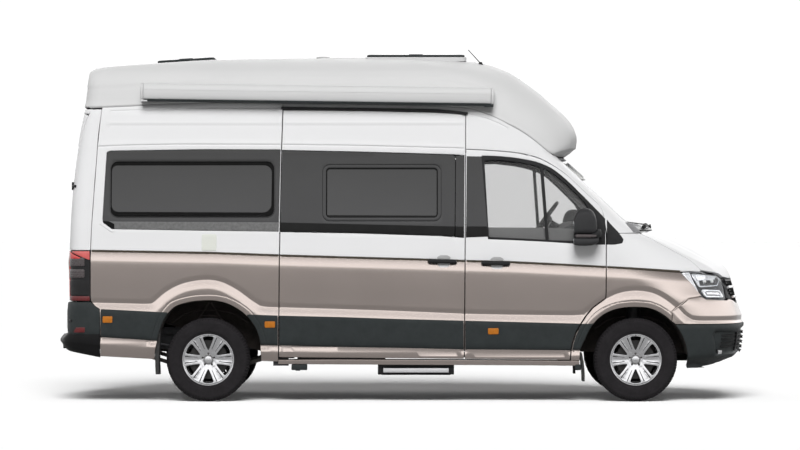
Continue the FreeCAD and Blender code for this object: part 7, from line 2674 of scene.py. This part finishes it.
for h_, r_ in ((-58, 40), (-50, 52), (-34, 62), (-22, 64), (-10, 60), (-2, 50), (2, 34), (4, 14)):
    ring = []
    for k in range(28):
        t = 2 * math.pi * k / 28
        q_ = r_ * (1 + 0.10 * math.cos(2 * t))
        ring.append(tuple(sc_ + ax_ * h_ + q_ * (e1 * math.cos(t) + zdn * math.sin(t))))
    rings.append(ring)
V, F = loft(rings)
b.add(V, F, 0)
b.done("steering_wheel_rim", [DASH, ALLOY], body="steering_wheel", replaces=("steering_wheel",), slot="black_plastic")

# mirror pod with its mirror, and visors at the head of the windscreen
b = Build()


def scr_at(y, z, d):
    return np.array(on_screen(y, z, d))


pod = [scr_at(0, z, -d) for z, d in ((2060, 34), (2020, 46), (1975, 50), (1940, 36))]
V, F = tube([tuple(p) for p in pod], [44, 60, 58, 30], 16, squash=0.6)
b.add(V, F, 0)
V, F = tube([tuple(scr_at(0, 1975, -60)), tuple(scr_at(0, 1950, -90))], [10, 8], 8)
b.add(V, F, 0)
m0 = scr_at(0, 1925, -110)
V, F = loft([[(m0[0] + dx, y, m0[2] + zz) for y, zz in rounded([(-120, -32), (120, -32), (120, 32), (-120, 32)], 22, 5)]
             for dx in (0, 6, 22, 28)])
b.add(V, F, 0)
for s_ in (-1, 1):
    vis = []
    for d_ in (34, 44):
        vis.append([tuple(scr_at(s_ * 400 + y, 1995 + z, -d_)) for y, z in rounded([(-240, -70), (240, -70), (240, 70),
                                                                                   (-240, 70)], 30, 5)])
    V, F = loft(vis)
    b.add(V, F, 1)
b.done("screen_head_fittings", [GREYT, LIGHTG], slot="grey_interior")

# ------------------------------------------------------------ seats
def pad_shape(name, rings_, cap):
    """A stuffed pad: closed rounded block, blown up by cloth pressure inside its cover."""
    V, F = loft(rings_)
    me = bpy.data.meshes.new(name)
    me.from_pydata([tuple(np.array(v) * MM) for v in V], [], F)
    ob = bpy.data.objects.new(name, me)
    scene.collection.objects.link(ob)
    rm = ob.modifiers.new("remesh", "REMESH")
    rm.mode = "VOXEL"
    rm.voxel_size = 0.0094
    deps = bpy.context.evaluated_depsgraph_get()
    new = bpy.data.meshes.new_from_object(ob.evaluated_get(deps))
    ob.modifiers.clear()
    ob.data = new
    bpy.data.meshes.remove(me)
    rest_ = np.array([v.co for v in ob.data.vertices])
    cl_ = ob.modifiers.new("cloth", "CLOTH")
    cs = cl_.settings
    cs.quality = 4
    cs.mass = 0.3
    cs.tension_stiffness = 18
    cs.compression_stiffness = 18
    cs.bending_stiffness = 1.5
    cs.use_pressure = True
    cs.uniform_pressure_force = 4.0
    cs.effector_weights.gravity = 0.0
    cl_.point_cache.frame_start = 1
    cl_.point_cache.frame_end = 20
    for fr in range(1, 17):
        scene.frame_set(fr)
    deps = bpy.context.evaluated_depsgraph_get()
    done_ = bpy.data.meshes.new_from_object(ob.evaluated_get(deps))
    ob.modifiers.clear()
    now = np.array([v.co for v in done_.vertices])
    mv = now - rest_
    ln = np.linalg.norm(mv, axis=1, keepdims=True)
    now = rest_ + mv * np.minimum(1, cap / np.maximum(ln, 1e-9))
    old = ob.data
    ob.data = done_
    done_.vertices.foreach_set("co", now.ravel())
    bpy.data.meshes.remove(old)
    scene.frame_set(1)
    return ob


def sew(ob, lines):
    """Sewn channels: the cover is drawn in along lines; each is (axis, place, depth, width)."""
    co = np.array([v.co for v in ob.data.vertices])
    no = np.array([v.normal for v in ob.data.vertices])
    for ax, at, depth, width, lo_, hi_ in lines:
        d = np.abs(co[:, ax] - at)
        other = 1 if ax != 1 else 0
        ok = (co[:, 1] > lo_) & (co[:, 1] < hi_)
        k = np.where(ok, depth * np.exp(-(d / width) ** 2), 0)
        co = co - no * k[:, None]
    ob.data.vertices.foreach_set("co", co.ravel())
    ob.data.update()


def seat_ring(pts2, y, shrink, mid_):
    m_ = np.array(mid_)
    return [(*(m_ + (np.array(p_) - m_) * shrink)[:1], y, (m_ + (np.array(p_) - m_) * shrink)[1]) for p_ in pts2]


SX = 560.0
cush = rounded([(SX + 14, 872), (SX + 488, 872), (SX + 506, 930), (SX + 486, 982), (SX + 70, 966), (SX + 14, 936)],
               [20, 30, 30, 34, 30, 20], 5)
backp = rounded([(SX + 2, 940), (SX + 84, 972), (SX + 24, 1540), (SX - 26, 1574), (SX - 76, 1556), (SX - 50, 1010)],
                [24, 30, 36, 26, 26, 30], 5)
headp = rounded([(SX - 80, 1582), (SX - 22, 1592), (SX - 28, 1776), (SX - 50, 1796), (SX - 84, 1786)],
                [18, 20, 22, 16, 18], 5)


def pad_rings(poly, y0, y1, mid_):
    ys_ = [(y0, 0.86), (y0 + 12, 0.95), (y0 + 34, 1.0), ((y0 + y1) / 2, 1.0), (y1 - 34, 1.0), (y1 - 12, 0.95), (y1, 0.86)]
    return [seat_ring(poly, y, k, mid_) for y, k in ys_]


for nm, poly, half, mid_, cap_, fill in (("seat_cushion", cush, 238, (SX + 250, 925), 0.014, 0.75),
                                         ("seat_back", backp, 238, (SX - 10, 1250), 0.014, 0.7),
                                         ("seat_headrest", headp, 118, (SX - 52, 1690), 0.008, 0.85)):
    ob = pad_shape(nm + "_right", pad_rings(poly, -half, half, mid_), cap_)
    if nm == "seat_cushion":
        sew(ob, [(1, -0.15, 0.007, 0.009, -9, 9), (1, 0.15, 0.007, 0.009, -9, 9), (0, 0.78, 0.006, 0.009, -0.15, 0.15),
                 (0, 0.92, 0.006, 0.009, -0.15, 0.15)])
    if nm == "seat_back":
        sew(ob, [(1, -0.15, 0.007, 0.009, -9, 9), (1, 0.15, 0.007, 0.009, -9, 9), (2, 1.12, 0.006, 0.009, -0.15, 0.15),
                 (2, 1.26, 0.006, 0.009, -0.15, 0.15), (2, 1.40, 0.006, 0.009, -0.15, 0.15)])
    ob.data.materials.clear()
    ob.data.materials.append(FABRIC)
    ob.data.shade_smooth()
    me2 = ob.data.copy()
    for v in ob.data.vertices:
        v.co.y -= 0.430
    for v in me2.vertices:
        v.co.y += 0.430
    ob2 = bpy.data.objects.new(nm + "_left", me2)
    scene.collection.objects.link(ob2)
    for q_ in (ob, ob2):
        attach(q_, "van_body")
        PIECES.append(q_)
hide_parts("cab_seats")
b = Build()
for yc in (-430, 430):
    b.box(SX + 44, SX + 416, yc - 200, yc + 200, 626, 700, 0, 14)
    b.box(SX + 30, SX + 430, yc - 225, yc - 195, 640, 868, 0, 12)
    b.box(SX + 30, SX + 430, yc + 195, yc + 225, 640, 868, 0, 12)
    b.box(SX + 60, SX + 400, yc - 190, yc + 190, 690, 866, 0, 12)
    for s_ in (-1, 1):
        V, F = tube([(SX - 46, yc + s_ * 55, 1540), (SX - 52, yc + s_ * 55, 1620)], 7, 8)
        b.add(V, F, 1)
        V, F = tube([(SX + 10, yc + s_ * 232, 900), (SX - 6, yc + s_ * 236, 960), (SX - 2, yc + s_ * 236, 1010)], [22, 26, 16], 12,
                    squash=0.5)
        b.add(V, F, 0)
b.done("seat_consoles", [DASH, ALLOY], slot="grey_interior")

# ------------------------------------------------------------ finishes of the pieces that stay
for node, mat in (("chassis_frame", STEEL), ("floor_pan", STEEL), ("front_subframe", STEEL), ("rear_axle", IRON),
                  ("fuel_tank", BLACK), ("exhaust", EXH), ("engine", IRON), ("knuckle_right", IRON),
                  ("knuckle_left", IRON)):
    carry(node, mat)


# ------------------------------------------------------------ floor, light, camera
def stage_floor():
    me = bpy.data.meshes.new("studio_floor")
    n = 24
    V, F = [], []
    for i in range(n + 1):
        for j in range(n + 1):
            V.append((-150 + 300 * i / n, -60 + 360 * j / n, 0.0))
    for i in range(n):
        for j in range(n):
            a = i * (n + 1) + j
            F.append((a, a + n + 1, a + n + 2, a + 1))
    me.from_pydata(V, [], F)
    ob = bpy.data.objects.new("studio_floor", me)
    scene.collection.objects.link(ob)
    m = material("studio_floor_finish", (0.50, 0.50, 0.50), 0.9, var=0.004, scale=0.2, bump=0.02, bscale=3, spec=0.1)
    # an overlit sweep: the floor itself reads white, as a studio sweep does, but throws little light back
    nt = m.node_tree
    sh = nt.nodes["Principled BSDF"]
    ray = nt.nodes.new("ShaderNodeLightPath")
    mixc = nt.nodes.new("ShaderNodeMix")
    mixc.data_type = "RGBA"
    mixc.inputs["B"].default_value = (0.97, 0.97, 0.97, 1)
    old = sh.inputs["Base Color"].links[0].from_socket
    nt.links.new(old, mixc.inputs["A"])
    nt.links.new(ray.outputs["Is Camera Ray"], mixc.inputs["Factor"])
    nt.links.new(mixc.outputs["Result"], sh.inputs["Base Color"])
    gl = nt.nodes.new("ShaderNodeMath")
    gl.operation = "MULTIPLY"
    gl.inputs[1].default_value = 0.03
    nt.links.new(ray.outputs["Is Camera Ray"], gl.inputs[0])
    sh.inputs["Emission Color"].default_value = (1, 1, 1, 1)
    nt.links.new(gl.outputs["Value"], sh.inputs["Emission Strength"])
    me.materials.append(m)


stage_floor()


def area(name, loc, target, size, power, colour=(1, 1, 1)):
    li = bpy.data.lights.new(name, "AREA")
    li.shape = "RECTANGLE"
    li.size, li.size_y = size
    li.energy = power
    li.color = colour
    ob = bpy.data.objects.new(name, li)
    scene.collection.objects.link(ob)
    ob.location = loc
    ob.rotation_euler = (Vector(target) - Vector(loc)).to_track_quat("-Z", "Y").to_euler()
    return ob


area("top_light", (0, -2.0, 12), (0, 0, 0), (18, 12), 60)
key = bpy.data.lights.new("key_light", "SUN")
key.energy = 4.05
key.angle = math.radians(32)
key_ob = bpy.data.objects.new("key_light", key)
scene.collection.objects.link(key_ob)
key_ob.location = (0, -12, 9)
key_ob.visible_glossy = False
key_ob.rotation_euler = Vector((0.03, math.cos(math.radians(41)), -math.sin(math.radians(41)))).to_track_quat(
    "-Z", "Y").to_euler()
world = bpy.data.worlds.new("studio")
scene.world = world
world.use_nodes = True
nt = world.node_tree
bg = nt.nodes["Background"]
# white studio backdrop behind, a soft vault of light brighter towards the top for everything it lights
tc = nt.nodes.new("ShaderNodeTexCoord")
sp = nt.nodes.new("ShaderNodeSeparateXYZ")
nt.links.new(tc.outputs["Generated"], sp.inputs["Vector"])
cr = nt.nodes.new("ShaderNodeValToRGB")
stops = [(0.0, 0.80), (0.06, 0.95), (0.18, 1.75), (0.32, 2.15), (0.50, 1.95), (0.66, 1.15), (0.82, 0.45), (1.0, 0.12)]
els = cr.color_ramp.elements
while len(els) < len(stops):
    els.new(0.5)
for e_, (at, val) in zip(els, stops):
    e_.position = at
    e_.color = (val / 2.2,) * 3 + (1,)
nt.links.new(sp.outputs["Z"], cr.inputs["Fac"])
sc_w = nt.nodes.new("ShaderNodeMath")
sc_w.operation = "MULTIPLY"
sc_w.inputs[1].default_value = 2.2 * 0.13
nt.links.new(cr.outputs["Color"], sc_w.inputs[0])
lp = nt.nodes.new("ShaderNodeLightPath")
mx = nt.nodes.new("ShaderNodeMix")
mx.data_type = "FLOAT"
mx.inputs[3].default_value = 1.06
nt.links.new(lp.outputs["Is Camera Ray"], mx.inputs[0])
gloss = nt.nodes.new("ShaderNodeMath")
gloss.operation = "MULTIPLY"
gloss.inputs[1].default_value = 2.2 * 1.18
nt.links.new(cr.outputs["Color"], gloss.inputs[0])
mg = nt.nodes.new("ShaderNodeMix")
mg.data_type = "FLOAT"
nt.links.new(lp.outputs["Is Glossy Ray"], mg.inputs[0])
nt.links.new(sc_w.outputs[0], mg.inputs[2])
nt.links.new(gloss.outputs[0], mg.inputs[3])
nt.links.new(mg.outputs[0], mx.inputs[2])
nt.links.new(mx.outputs[0], bg.inputs["Strength"])
bg.inputs["Color"].default_value = (1, 1, 1, 1)
scene.view_settings.view_transform = "Standard"

cam = bpy.data.cameras.new("camera")
cam.lens = 174.6
cam.sensor_width = 36
cam.clip_end = 400
eye = bpy.data.objects.new("camera", cam)
scene.collection.objects.link(eye)
eye.location = (-0.010, -34.0, 1.503)
eye.rotation_euler = (math.pi / 2, 0, 0)
scene.camera = eye
